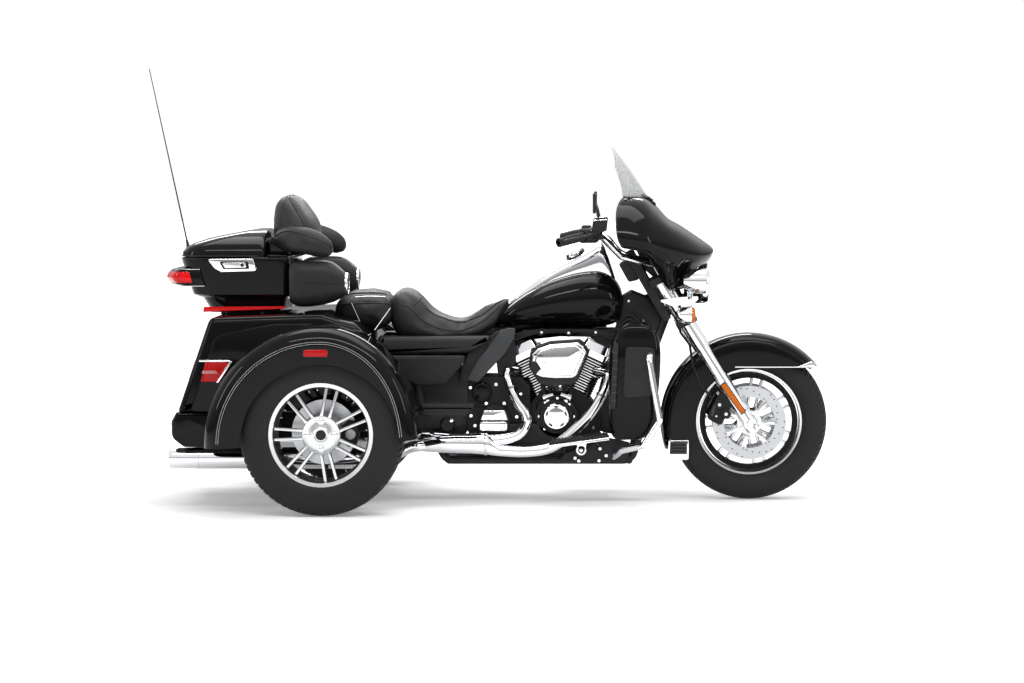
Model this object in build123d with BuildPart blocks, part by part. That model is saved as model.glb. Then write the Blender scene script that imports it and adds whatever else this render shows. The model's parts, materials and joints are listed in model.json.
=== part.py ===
"""A three-wheeled touring motorcycle: one steered wheel in front, two driven wheels behind.

Frame: +X forward, +Y to the rider's left, +Z up, in millimetres. The origin is on the ground, under the
middle of the bounding box, so a place to the front of it is positive and the right-hand side is negative Y.
"""

import os
from math import cos, radians, sin, tan

from build123d import *

# ---------------------------------------------------------------- overall sizes
OVERALL_LENGTH = 2806.0  # front tyre to the tip of the antenna
WHEELBASE = 1695.0
FENDER_HALF = 695.0  # half of the overall width
RUN = 0.05  # radial clearance of a shaft in its bearing
SWING = 6.0  # clearance between pieces that move past each other

# ---------------------------------------------------------------- wheels and tyres
FRONT_TYRE_R = 320.0
FRONT_TYRE_W = 130.0
FRONT_SHOULDER = 56.0  # from the tread in to where the tyre is widest
FRONT_CROWN = 0.62  # the tread's share of the tyre's width
FRONT_SEAT_R = 206.0  # the rim's bead seat
FRONT_RIM_W = 76.0
REAR_TYRE_R = 320.0
REAR_TYRE_W = 205.0
REAR_CROWN = 0.94
REAR_SEAT_R = 193.0
REAR_RIM_W = 170.0
RIM_LIP = 12.0  # how far a rim flange stands above the bead seat
RIM_WALL = 9.0
SPOKE_PAIRS = 7
SPOKE_W = 13.0
SPOKE_T = 16.0
FRONT_HUB_R = 48.0
REAR_HUB_R = 70.0
DISC_T = 6.0
FRONT_DISC_R = 150.0
FRONT_DISC_Y = 80.0
REAR_DISC_R = 128.0
REAR_DISC_IN = 60.0  # the rear disc's distance inboard of the wheel's middle
REAR_SPOKE_OUT = 62.0  # the rear spokes' distance outboard of it
AXLE_R = 12.5
REAR_AXLE_R = 20.0

FRONT_AXLE_X = 1083.0  # ahead of the datum from which the body's outlines are drawn
REAR_AXLE_X = FRONT_AXLE_X - WHEELBASE
CENTRE_SHIFT = OVERALL_LENGTH / 2 - FRONT_TYRE_R - FRONT_AXLE_X  # puts the origin under the middle
TYRE_OUT_GAP = 34.5  # from a rear tyre's wall to the fender's outer face
TYRE_IN_GAP = 15.5  # from it to the trunk's side wall
REAR_WHEEL_Y = FENDER_HALF - TYRE_OUT_GAP - REAR_TYRE_W / 2

# ---------------------------------------------------------------- steering
RAKE = 26.0
TRAIL = 100.0
FORK_ANGLE = 32.3
FORK_Y = 123.0
SLIDER_R = 29.0
FORK_COVER_R = 34.0
SLIDER_TOP = 365.0  # distances along a leg from the axle
LOWER_TREE_Z = 735.0
UPPER_TREE_Z = 915.0
COVER_TOP = (UPPER_TREE_Z - 3.3 - FRONT_TYRE_R) / cos(radians(FORK_ANGLE))
TUBE_TOP = COVER_TOP + 45.0
TREE_T = 28.0
STEM_R = 19.0
NECK_R = 33.0
BAR_R = 14.0
GRIP_R = 17.0

LAMP_R = 87.0
LAMP_Z = 886.0

# ---------------------------------------------------------------- body
PANEL = 4.0  # wall of a painted shell
FENDER_IN = REAR_WHEEL_Y - REAR_TYRE_W / 2 - TYRE_IN_GAP  # the trunk's side wall, where a fender starts
FENDER_ROUND = 70.0
TRUNK_FLOOR_Z = 392.0
TRUNK_FRONT_X = -385.0
TRUNK_WALL = 5.0
DOOR_HALF = FENDER_IN - 110.0
BOX_HALF = 285.0
BOX_WALL = 4.0
LID_SEAM_Z = 1000.0
LID_GAP = 5.0
TANK_HALF = 150.0
SEAT_HALF = 190.0
FRONT_FENDER_R = FRONT_TYRE_R + 44.0
FRONT_FENDER_HALF = 82.0
FRONT_FENDER_WALL = 3.0
FRAME_TUBE_R = 16.5
RAIL_Y = 150.0
RAIL_Z = 173.5
AXLE_HOUSING_R = 48.0
MUFFLER_Y = FENDER_IN - 60.0
MUFFLER_R = 43.0
MUFFLER_Z = 205.0
PIPE_R = 24.0
ENGINE_HALF = 105.0
CRANK = (309.0, 0.0, 305.0)
CYLINDER_LEAN = 25.0
FIN_PITCH = 11.0
FIN_T = 4.0
FINS = 15

STEER_DIR = (-sin(radians(RAKE)), 0, cos(radians(RAKE)))
FORK_DIR = (-sin(radians(FORK_ANGLE)), 0, cos(radians(FORK_ANGLE)))


def steer_x(z):
    """X of the steering axis at height z."""
    return FRONT_AXLE_X + TRAIL - z * tan(radians(RAKE))


def fork_x(z):
    """X of the fork legs' centre line at height z."""
    return FRONT_AXLE_X - (z - FRONT_TYRE_R) * tan(radians(FORK_ANGLE))


def leg_point(along, side):
    """A point on a fork leg, at a distance from the axle along the leg."""
    return (FRONT_AXLE_X + along * FORK_DIR[0], side * FORK_Y, FRONT_TYRE_R + along * FORK_DIR[2])


def side_plane(y):
    """A plane facing -Y at the given y, whose sketch axes are the model's X and Z."""
    return Plane(origin=(0, y, 0), x_dir=(1, 0, 0), z_dir=(0, -1, 0))


def cross_plane(x, y=0, z=0):
    """The upright plane across the vehicle through a point, drawn in (y, z)."""
    return Plane(origin=(x, y, z), x_dir=(0, 1, 0), z_dir=(1, 0, 0))


def steer_plane(z):
    """The plane square to the steering axis where that axis is at a height."""
    ahead = (cos(radians(RAKE)), 0, sin(radians(RAKE)))
    return Plane(origin=(steer_x(z), 0, z), x_dir=ahead, z_dir=STEER_DIR)


def bar(start, end, radius, mode=Mode.ADD):
    """A straight round bar between two points."""
    axis = Vector(end) - Vector(start)
    with BuildSketch(Plane(origin=start, z_dir=axis)) as section:
        Circle(radius)
    extrude(section.sketch, amount=axis.length, mode=mode)


def pipe(points, radius, bend):
    """A round tube along straight runs joined by arcs of one bend radius."""
    with BuildLine() as path:
        FilletPolyline(*points, radius=bend)
    with BuildSketch(Plane(origin=path.line @ 0, z_dir=path.line % 0)) as section:
        Circle(radius)
    sweep(section.sketch, path=path.line)


def slab(outline, y_from, y_to, soften=0.0, mode=Mode.ADD):
    """A closed outline of (x, z) points stood between two y planes, its crosswise edges rounded."""
    with BuildSketch(side_plane(max(y_from, y_to))) as face:
        with BuildLine():
            Polyline(*outline, close=True)
        make_face()
        if soften:
            fillet(face.vertices(), soften)
    extrude(face.sketch, amount=abs(y_to - y_from), mode=mode)


def inset_slab(outline, grow, y_from, y_to, soften, mode):
    """A slab whose outline is grown, or shrunk when grow is negative, by an even distance."""
    with BuildSketch(side_plane(max(y_from, y_to))) as face:
        with BuildLine():
            Polyline(*outline, close=True)
        make_face()
        if soften:
            fillet(face.vertices(), soften)
        offset(amount=grow, kind=Kind.INTERSECTION, mode=Mode.REPLACE)
    extrude(face.sketch, amount=abs(y_to - y_from), mode=mode)


def plan_keep(outline, z_from, z_to, soften=0.0):
    """Keep only what lies inside an outline of (x, y) points seen from above."""
    with BuildSketch(Plane.XY.offset(z_from)) as face:
        with BuildLine():
            Polyline(*outline, close=True)
        make_face()
        if soften:
            fillet(face.vertices(), soften)
    extrude(face.sketch, amount=z_to - z_from, mode=Mode.INTERSECT)


def front_keep(outline, x_from, x_to, soften=0.0):
    """Keep only what lies inside an outline of (y, z) points seen from the front."""
    with BuildSketch(cross_plane(x_from)) as face:
        with BuildLine():
            Polyline(*outline, close=True)
        make_face()
        if soften:
            fillet(face.vertices(), soften)
    extrude(face.sketch, amount=x_to - x_from, mode=Mode.INTERSECT)


def finish(name, piece):
    """Move a piece so that the origin is under the middle, name it and write it to its own file."""
    placed = piece.moved(Location((CENTRE_SHIFT, 0, 0)))
    placed.label = name
    export_step(placed, f"parts/{name}.step")


# ================================================================ wheels
def tyre_section(seat_r, rim_w, corners):
    """A tyre's section in straight runs: its seat on the rim, and walls that pass the flanges' tips on the
    way to its (half width, radius) corners, the last of which are the tread's."""
    bead, lip_r = rim_w / 2, seat_r + RIM_LIP
    wall_y, wall_r = corners[0]
    heel = bead - (wall_y - bead) * RIM_LIP / (wall_r - lip_r)
    side = [(heel, seat_r), *corners]
    with BuildLine() as outline:
        Polyline(*side, *[(-y, r) for y, r in reversed(side)], close=True)
    make_face(outline.edges())


def wheel_disc(x, face_y, z, radius, thickness):
    """A flat round plate of a wheel, facing along Y, from face_y towards +Y."""
    with BuildSketch(Plane(origin=(x, face_y, z), x_dir=(-1, 0, 0), z_dir=(0, 1, 0))) as plate:
        Circle(radius)
    extrude(plate.sketch, amount=thickness)


def wheel(x, y, z, seat_r, rim_w, hub_r, hub_from, hub_to, spoke_y, disc_ys, disc_r, bore_r):
    """A cast wheel: barrel with two lips, paired spokes, hub, brake discs and the bore for its axle."""
    bead = rim_w / 2
    inner = seat_r - RIM_WALL
    with BuildSketch(cross_plane(x, y, z)) as section:
        with BuildLine():
            Polyline(
                (-bead, seat_r), (-bead, seat_r + RIM_LIP), (-bead - 4, seat_r + RIM_LIP),
                (-bead - 4, inner), (bead + 4, inner), (bead + 4, seat_r + RIM_LIP),
                (bead, seat_r + RIM_LIP), (bead, seat_r), close=True,
            )
        make_face()
    revolve(section.sketch, axis=Axis((x, y, z), (0, 1, 0)))
    wheel_disc(x, y + hub_from, z, hub_r, hub_to - hub_from)
    spoke_plane = Plane(origin=(x, y + spoke_y - SPOKE_T / 2, z), x_dir=(-1, 0, 0), z_dir=(0, 1, 0))
    with BuildSketch(spoke_plane) as spokes:
        with PolarLocations(0, SPOKE_PAIRS, start_angle=103):
            for side in (-1, 1):
                near, far = side * 14.0, side * 21.0
                Polygon(
                    (hub_r * 0.7, near - SPOKE_W / 2), (inner + 1, far - SPOKE_W / 2),
                    (inner + 1, far + SPOKE_W / 2), (hub_r * 0.7, near + SPOKE_W / 2), align=None,
                )
    extrude(spokes.sketch, amount=SPOKE_T)
    for disc_y in disc_ys:
        wheel_disc(x, y + disc_y - DISC_T / 2, z, disc_r, DISC_T)
    bar((x, y - 200, z), (x, y + 200, z), bore_r, Mode.SUBTRACT)


with BuildPart() as front_tyre:
    with BuildSketch(cross_plane(FRONT_AXLE_X, 0, FRONT_TYRE_R)):
        tyre_section(
            FRONT_SEAT_R, FRONT_RIM_W,
            [
                (FRONT_TYRE_W / 2, FRONT_TYRE_R - FRONT_SHOULDER),
                (FRONT_TYRE_W / 2 * FRONT_CROWN, FRONT_TYRE_R),
            ],
        )
    revolve(axis=Axis((FRONT_AXLE_X, 0, FRONT_TYRE_R), (0, 1, 0)))

with BuildPart() as front_rim:
    wheel(
        FRONT_AXLE_X, 0, FRONT_TYRE_R, FRONT_SEAT_R, FRONT_RIM_W, FRONT_HUB_R,
        -FRONT_DISC_Y, FRONT_DISC_Y, 0, (-FRONT_DISC_Y, FRONT_DISC_Y), FRONT_DISC_R, AXLE_R + RUN,
    )

with BuildPart() as rear_tyre_left:
    with BuildSketch(cross_plane(REAR_AXLE_X, REAR_WHEEL_Y, REAR_TYRE_R)):
        tyre_section(REAR_SEAT_R, REAR_RIM_W, [(REAR_TYRE_W / 2 * REAR_CROWN, REAR_TYRE_R)])
    revolve(axis=Axis((REAR_AXLE_X, REAR_WHEEL_Y, REAR_TYRE_R), (0, 1, 0)))

with BuildPart() as rear_rim_left:
    wheel(
        REAR_AXLE_X, REAR_WHEEL_Y, REAR_TYRE_R, REAR_SEAT_R, REAR_RIM_W, REAR_HUB_R,
        -REAR_DISC_IN, REAR_SPOKE_OUT + SPOKE_T, REAR_SPOKE_OUT, (-REAR_DISC_IN,), REAR_DISC_R,
        REAR_AXLE_R + RUN,
    )

with BuildPart() as rear_tyre_right:
    mirror(rear_tyre_left.part, about=Plane.XZ)
with BuildPart() as rear_rim_right:
    mirror(rear_rim_left.part, about=Plane.XZ)

# ================================================================ frame and drive
NECK_LOW = LOWER_TREE_Z + TREE_T / 2 + 4
NECK_HIGH = UPPER_TREE_Z - TREE_T / 2 - 4
RAIL_FRONT_X = 600.0
RAIL_REAR_X = -150.0
SEAT_RAIL_Z = 600.0

with BuildPart() as frame:
    for side in (-1, 1):
        pipe(
            [
                (steer_x(830) - 5, side * 18, 830), (700, side * 60, 640), (640, side * RAIL_Y, 300),
                (RAIL_FRONT_X, side * RAIL_Y, RAIL_Z), (RAIL_REAR_X, side * RAIL_Y, RAIL_Z),
                (-240, side * RAIL_Y, 330), (-290, side * RAIL_Y, SEAT_RAIL_Z),
                (TRUNK_FRONT_X, side * RAIL_Y, SEAT_RAIL_Z + 20),
            ],
            FRAME_TUBE_R, 45.0,
        )
        bar((-240, side * RAIL_Y, 330), (REAR_AXLE_X + 30, side * RAIL_Y, REAR_TYRE_R), FRAME_TUBE_R)
        bar((-285, side * RAIL_Y, 570), (30, side * 40, 690), FRAME_TUBE_R)
    bar((steer_x(845), 0, 845), (420, 0, 752), 24.0)
    bar((420, 0, 752), (20, 0, 690), 24.0)
    for x, z in ((RAIL_FRONT_X - 10, RAIL_Z), (RAIL_REAR_X + 10, RAIL_Z), (-290, SEAT_RAIL_Z - 20)):
        bar((x, -RAIL_Y, z), (x, RAIL_Y, z), FRAME_TUBE_R)
    bar((30, -60, 692), (30, 60, 692), FRAME_TUBE_R)
    neck_foot = (steer_x(NECK_LOW), 0, NECK_LOW)
    neck_head = (steer_x(NECK_HIGH), 0, NECK_HIGH)
    bar(neck_foot, neck_head, NECK_R)
    bar((steer_x(600), 0, 600), (steer_x(1000), 0, 1000), STEM_R + RUN, Mode.SUBTRACT)

with BuildPart() as rear_axle:
    hub_face = REAR_WHEEL_Y - REAR_DISC_IN - DISC_T / 2 - SWING
    bar((REAR_AXLE_X, -hub_face, REAR_TYRE_R), (REAR_AXLE_X, hub_face, REAR_TYRE_R), AXLE_HOUSING_R)
    axle_end = REAR_WHEEL_Y + REAR_SPOKE_OUT + SPOKE_T - 4
    bar((REAR_AXLE_X, -axle_end, REAR_TYRE_R), (REAR_AXLE_X, axle_end, REAR_TYRE_R), REAR_AXLE_R)
    bar((REAR_AXLE_X, -70, REAR_TYRE_R), (REAR_AXLE_X, 70, REAR_TYRE_R), 66.0)
    for side in (-1, 1):
        bar((REAR_AXLE_X - 70, side * 260, 300), (REAR_AXLE_X - 70, side * 260, TRUNK_FLOOR_Z), 26.0)
        slab(
            [(REAR_AXLE_X - 100, 285), (REAR_AXLE_X, 285), (REAR_AXLE_X, 320), (REAR_AXLE_X - 100, 320)],
            side * 235, side * 285,
        )
        slab(
            [
                (REAR_AXLE_X - 20, MUFFLER_Z + MUFFLER_R - 6), (REAR_AXLE_X + 20, MUFFLER_Z + MUFFLER_R - 6),
                (REAR_AXLE_X + 20, REAR_TYRE_R), (REAR_AXLE_X - 20, REAR_TYRE_R),
            ],
            side * (MUFFLER_Y - 8), side * (MUFFLER_Y + 8),
        )
    for side in (-1, 1):
        bar(
            (REAR_AXLE_X, side * MUFFLER_Y, MUFFLER_Z), (REAR_AXLE_X + 80, side * MUFFLER_Y, MUFFLER_Z),
            MUFFLER_R, Mode.SUBTRACT,
        )
        bar(
            (REAR_AXLE_X - 80, side * MUFFLER_Y, MUFFLER_Z), (REAR_AXLE_X, side * MUFFLER_Y, MUFFLER_Z),
            MUFFLER_R, Mode.SUBTRACT,
        )
    add(frame.part, mode=Mode.SUBTRACT)

# ================================================================ engine
with BuildPart() as crankcase:
    slab(
        [
            (188, 300), (215, 205), (300, 192), (450, 192), (473, 230), (473, 360), (430, 420), (380, 452),
            (235, 452), (188, 400),
        ],
        -ENGINE_HALF, ENGINE_HALF, 12.0,
    )
    slab([(190, RAIL_Z - 12), (470, RAIL_Z - 12), (470, 200), (190, 200)], -RAIL_Y, RAIL_Y)
    bar((296, -ENGINE_HALF, 351), (296, -ENGINE_HALF - 45, 351), 84.0)
    add(frame.part, mode=Mode.SUBTRACT)

HEAD_ALONG = 140.0  # where a barrel leaves the crankcase, along its own axis
ROCKER_ALONG = HEAD_ALONG + FINS * FIN_PITCH + 6.0


def cylinder_plane(lean, along):
    """A plane across a cylinder, at a distance along its axis from the crankshaft."""
    direction = Vector(sin(radians(lean)), 0, cos(radians(lean)))
    return Plane(
        origin=Vector(*CRANK) + direction * along, x_dir=(cos(radians(lean)), 0, -sin(radians(lean))),
        z_dir=direction,
    )


with BuildPart() as cylinders:
    for lean in (-CYLINDER_LEAN, CYLINDER_LEAN):
        with BuildSketch(cylinder_plane(lean, HEAD_ALONG - 20)) as barrel:
            Circle(52)
        extrude(barrel.sketch, amount=ROCKER_ALONG - HEAD_ALONG + 20)
        for row in range(FINS):
            head = row >= 9
            with BuildSketch(cylinder_plane(lean, HEAD_ALONG + 4 + row * FIN_PITCH)) as fin:
                if head:
                    RectangleRounded(136, 172, 24)
                else:
                    RectangleRounded(128, 140, 40)
            extrude(fin.sketch, amount=FIN_T)
        with BuildSketch(cylinder_plane(lean, HEAD_ALONG + 9 * FIN_PITCH)) as head_block:
            RectangleRounded(112, 140, 16)
        extrude(head_block.sketch, amount=ROCKER_ALONG - HEAD_ALONG - 9 * FIN_PITCH)
    add(crankcase.part, mode=Mode.SUBTRACT)

with BuildPart() as rocker_covers:
    for lean in (-CYLINDER_LEAN, CYLINDER_LEAN):
        with BuildSketch(cylinder_plane(lean, ROCKER_ALONG)) as low:
            RectangleRounded(140, 178, 26)
        extrude(low.sketch, amount=26)
        with BuildSketch(cylinder_plane(lean, ROCKER_ALONG + 26)) as top:
            RectangleRounded(116, 150, 22)
        extrude(top.sketch, amount=34, taper=12)

with BuildPart() as cam_cover:
    bar((296, -ENGINE_HALF - 45, 351), (296, -ENGINE_HALF - 62, 351), 70.0)
    bar((296, -ENGINE_HALF - 62, 351), (296, -ENGINE_HALF - 70, 351), 50.0)
    fillet(cam_cover.edges().filter_by(GeomType.CIRCLE).sort_by(Axis.Y)[0], 3)

with BuildPart() as pushrod_tubes:
    for lean, foot_x in ((-CYLINDER_LEAN, 262.0), (CYLINDER_LEAN, 334.0)):
        for shift in (-14.0, 14.0):
            foot = (foot_x + shift, -ENGINE_HALF - 22, 405)
            top_plane = cylinder_plane(lean, HEAD_ALONG + 9 * FIN_PITCH + 10)
            head_point = top_plane.from_local_coords((shift * 1.4, -70, 0))
            bar(foot, (head_point.X, -ENGINE_HALF - 22, head_point.Z), 10.0)
        bar((foot_x, -ENGINE_HALF - 22, 400), (foot_x, -ENGINE_HALF - 22, 424), 24.0)
    for piece in (crankcase, cylinders, cam_cover):
        add(piece.part, mode=Mode.SUBTRACT)

AIR_Y = -225.0
COVER_OUT = [
    (205, 575), (205, 612), (240, 648), (380, 648), (421, 618), (405, 540), (385, 522), (235, 518),
    (218, 545),
]
with BuildPart() as air_cleaner_base:
    slab(
        [
            (212, 570), (216, 606), (243, 636), (378, 636), (408, 612), (398, 530), (372, 488), (245, 488),
            (222, 530),
        ],
        AIR_Y, AIR_Y + 36, 10.0,
    )
    bar((309, AIR_Y + 36, 570), (309, -40, 570), 40.0)
    add(cylinders.part, mode=Mode.SUBTRACT)
    add(rocker_covers.part, mode=Mode.SUBTRACT)
with BuildPart() as air_cleaner_cover:
    slab(COVER_OUT, AIR_Y - 30, AIR_Y, 12.0)
    fillet(air_cleaner_cover.faces().sort_by(Axis.Y)[0].edges(), 9)

with BuildPart() as gearbox_case:
    slab(
        [(-73, 300), (-60, 278), (188, 278), (188, 470), (150, 509), (-40, 509), (-73, 470)], -120, 120, 10.0,
    )
    slab([(-60, RAIL_Z - 10), (120, RAIL_Z - 10), (120, 290), (-60, 290)], -RAIL_Y, RAIL_Y)
    bar((46, -120, 335), (46, -150, 335), 62.0)
    add(frame.part, mode=Mode.SUBTRACT)
    add(crankcase.part, mode=Mode.SUBTRACT)
    add(cylinders.part, mode=Mode.SUBTRACT)

with BuildPart() as gearbox_cover:
    slab(
        [(-18, 291), (111, 291), (111, 352), (84, 360), (70, 379), (22, 379), (10, 360), (-18, 352)], -172,
        -150, 6.0,
    )
    fillet(gearbox_cover.faces().sort_by(Axis.Y)[0].edges(), 4)

with BuildPart() as primary_cover:
    slab(
        [
            (-70, 300), (-30, 240), (360, 225), (430, 270), (440, 350), (390, 430), (230, 440), (20, 400),
            (-60, 370),
        ],
        ENGINE_HALF, 205, 30.0,
    )
    fillet(primary_cover.faces().sort_by(Axis.Y)[-1].edges(), 12)
    for piece in (frame, crankcase, gearbox_case, cylinders):
        add(piece.part, mode=Mode.SUBTRACT)

with BuildPart() as exhaust_headers:
    pipe(
        [(455, -110, 520), (470, -165, 500), (405, -200, 345), (365, -205, 232), (20, -205, 232)], PIPE_R,
        22.0,
    )
    pipe(
        [(140, -110, 530), (120, -165, 525), (170, -200, 380), (110, -200, 282), (20, -205, 270)], PIPE_R,
        22.0,
    )
    bar((30, -205, 246), (-180, -205, 246), 40.0)
    pipe(
        [(-170, -205, 234), (-260, -230, 234), (-380, -MUFFLER_Y, MUFFLER_Z), (-430, -MUFFLER_Y, MUFFLER_Z)],
        PIPE_R, 40.0,
    )
    pipe(
        [
            (-160, -205, 262), (-300, -190, 262), (-370, -60, 240), (-370, 200, 240),
            (-380, MUFFLER_Y, MUFFLER_Z), (-430, MUFFLER_Y, MUFFLER_Z),
        ],
        PIPE_R - 2, 50.0,
    )
    for piece in (
        frame, cylinders, pushrod_tubes, crankcase, gearbox_case, gearbox_cover, primary_cover, cam_cover,
    ):
        add(piece.part, mode=Mode.SUBTRACT)

with BuildPart() as mufflers:
    for side in (-1, 1):
        tip = (-1240, side * MUFFLER_Y, MUFFLER_Z)
        bar((-430, side * MUFFLER_Y, MUFFLER_Z), tip, MUFFLER_R)
        bar(tip, (-1180, side * MUFFLER_Y, MUFFLER_Z), MUFFLER_R - 5, Mode.SUBTRACT)
    add(rear_axle.part, mode=Mode.SUBTRACT)


# ================================================================ painted body
TANK_SIDE = [
    (47, 707), (144, 717), (376, 706), (524, 713), (568, 780), (566, 848), (530, 911), (465, 942),
    (376, 936), (259, 900), (111, 812), (56, 758), (44, 731),
]
with BuildPart() as fuel_tank:
    slab(TANK_SIDE, -TANK_HALF, TANK_HALF, 6.0)
    plan_keep(
        [
            (30, -45), (90, -95), (200, -135), (340, -TANK_HALF), (480, -TANK_HALF), (575, -110),
            (575, 110), (480, TANK_HALF), (340, TANK_HALF), (200, 135), (90, 95), (30, 45),
        ],
        600, 1000, 30.0,
    )
    front_keep(
        [
            (-128, 690), (-TANK_HALF, 740), (-TANK_HALF, 800), (-132, 870), (-80, 925), (-40, 945),
            (40, 945), (80, 925), (132, 870), (TANK_HALF, 800), (TANK_HALF, 740), (128, 690),
        ],
        0, 700, 14.0,
    )
    slab([(0, 640), (700, 640), (700, 860), (420, 785), (0, 722)], -30, 30, mode=Mode.SUBTRACT)

with BuildPart() as tank_console:
    slab(
        [
            (104, 798), (116, 830), (280, 950), (385, 985), (402, 1014), (432, 1034), (473, 1055),
            (492, 1020),
            (538, 907), (520, 890), (465, 925), (380, 920), (260, 880),
        ],
        -50, 50, 5.0,
    )
    add(fuel_tank.part, mode=Mode.SUBTRACT)

with BuildPart() as rider_seat:
    slab(
        [
            (-370, 700), (-368, 850), (-335, 874), (-298, 868), (-265, 828), (-224, 786), (-183, 757),
            (-122, 737), (-81, 737), (-19, 766), (30, 800), (96, 832), (90, 790), (60, 762), (30, 712),
            (30, 661), (-171, 640), (-333, 640),
        ],
        -SEAT_HALF, SEAT_HALF, 4.0,
    )
    plan_keep(
        [
            (-375, -SEAT_HALF), (-110, -SEAT_HALF), (0, -120), (110, -80), (110, 80), (0, 120),
            (-110, SEAT_HALF), (-375, SEAT_HALF),
        ],
        500, 1000, 30.0,
    )
    for piece in (frame, fuel_tank, tank_console):
        add(piece.part, mode=Mode.SUBTRACT)

with BuildPart() as passenger_seat:
    slab(
        [(-560, 790), (-560, 850), (-540, 862), (-372, 862), (-372, 702), (-441, 702), (-500, 760)], -200,
        200, 6.0,
    )
    add(rider_seat.part, mode=Mode.SUBTRACT)

TRUNK_SIDE = [
    (-1201, TRUNK_FLOOR_Z), (-1071, 767), (-803, 776), (-627, 781), (-575, 762), (-498, 745), (-441, 690),
    (TRUNK_FRONT_X, 640), (TRUNK_FRONT_X, TRUNK_FLOOR_Z),
]


def rear_x(z):
    """X of the trunk's sloping rear face at height z."""
    (low_x, low_z), (top_x, top_z) = TRUNK_SIDE[0], TRUNK_SIDE[1]
    return low_x + (z - low_z) * (top_x - low_x) / (top_z - low_z)


DOOR_LOW = 430.0
DOOR_HIGH = 715.0
DOOR_HINGE_Y = 220.0
DOOR_PIVOT_Z = DOOR_LOW + 3
DOOR_PIVOT_X = rear_x(DOOR_PIVOT_Z) - 10
PIN_R = 4.0
KNUCKLE_R = 8.0
with BuildPart() as trunk_shell:
    slab(TRUNK_SIDE, -FENDER_IN, FENDER_IN)
    inset_slab(TRUNK_SIDE, -TRUNK_WALL, -FENDER_IN + TRUNK_WALL, FENDER_IN - TRUNK_WALL, 0, Mode.SUBTRACT)
    slab(
        [
            (rear_x(DOOR_LOW) - 60, DOOR_LOW), (rear_x(DOOR_LOW) + 60, DOOR_LOW),
            (rear_x(DOOR_HIGH) + 60, DOOR_HIGH), (rear_x(DOOR_HIGH) - 60, DOOR_HIGH),
        ],
        -DOOR_HALF, DOOR_HALF, mode=Mode.SUBTRACT,
    )
    for piece in (frame, passenger_seat, rider_seat, rear_axle):
        add(piece.part, mode=Mode.SUBTRACT)
    for side in (-1, 1):
        hinge_y = side * DOOR_HINGE_Y
        bar((DOOR_PIVOT_X, hinge_y - 30, DOOR_PIVOT_Z), (DOOR_PIVOT_X, hinge_y + 30, DOOR_PIVOT_Z), PIN_R)
        for ear_y in (hinge_y - 30, hinge_y + 22):
            slab(
                [
                    (DOOR_PIVOT_X - 5, DOOR_PIVOT_Z + 4), (DOOR_PIVOT_X + 5, DOOR_PIVOT_Z + 4),
                    (rear_x(DOOR_LOW - 5) + 2, DOOR_LOW - 5), (rear_x(405) + 2, 405), (rear_x(405) - 3, 405),
                ],
                ear_y, ear_y + 8,
            )

with BuildPart() as trunk_door:
    gap = SWING
    slab(
        [
            (rear_x(DOOR_LOW + gap) - 5, DOOR_LOW + gap), (rear_x(DOOR_LOW + gap) + 7, DOOR_LOW + gap),
            (rear_x(DOOR_HIGH - gap) + 7, DOOR_HIGH - gap), (rear_x(DOOR_HIGH - gap) - 5, DOOR_HIGH - gap),
        ],
        -DOOR_HALF + gap, DOOR_HALF - gap,
    )
    for side in (-1, 1):
        hinge_y = side * DOOR_HINGE_Y
        bar((DOOR_PIVOT_X, hinge_y - 20, DOOR_PIVOT_Z), (DOOR_PIVOT_X, hinge_y + 20, DOOR_PIVOT_Z), KNUCKLE_R)
        bar(
            (DOOR_PIVOT_X, hinge_y - 20, DOOR_PIVOT_Z), (DOOR_PIVOT_X, hinge_y + 20, DOOR_PIVOT_Z),
            PIN_R + RUN, Mode.SUBTRACT,
        )

FENDER_SIDE = [(-1082, 268), (-1001, 562), (-733, 752), (-515, 746), (-348, 622), (-222, 300)]
FENDER_SIDE_OPEN = [(-1107, 178), (-1001, 562), (-733, 752), (-515, 746), (-348, 622), (-175, 180)]
FENDER_CURVES = [150.0, 250.0, 250.0, 250.0]
ARCH_R = REAR_TYRE_R - 8.0
ARCH_Z = 285.0


def fender_block(outline, shrink, depth, round_r, mode):
    """One rear fender's outer form, or with a shrink its hollow, from the trunk's side wall outwards."""
    with BuildSketch(side_plane(-FENDER_IN)) as profile:
        with BuildLine():
            FilletPolyline(*outline, radius=FENDER_CURVES)
            Line(outline[-1], outline[0])
        make_face()
        if shrink:
            offset(amount=-shrink, mode=Mode.REPLACE)
    block = extrude(profile.sketch, amount=depth, mode=Mode.PRIVATE)
    outer_edges = block.faces().sort_by(Axis.Y)[0].edges().sort_by(Axis.Z)[1:]
    add(block.fillet(round_r, outer_edges), mode=mode)


with BuildPart() as fender_right:
    fender_block(FENDER_SIDE, 0.0, FENDER_HALF - FENDER_IN, FENDER_ROUND, Mode.ADD)
    fender_block(
        FENDER_SIDE_OPEN, PANEL, FENDER_HALF - FENDER_IN - PANEL, FENDER_ROUND - PANEL, Mode.SUBTRACT,
    )
    bar(
        (REAR_AXLE_X, -FENDER_HALF + 40, ARCH_Z), (REAR_AXLE_X, -FENDER_HALF - 10, ARCH_Z), ARCH_R,
        Mode.SUBTRACT,
    )
    add(trunk_shell.part, mode=Mode.SUBTRACT)
with BuildPart() as fender_left:
    mirror(fender_right.part, about=Plane.XZ)

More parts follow.
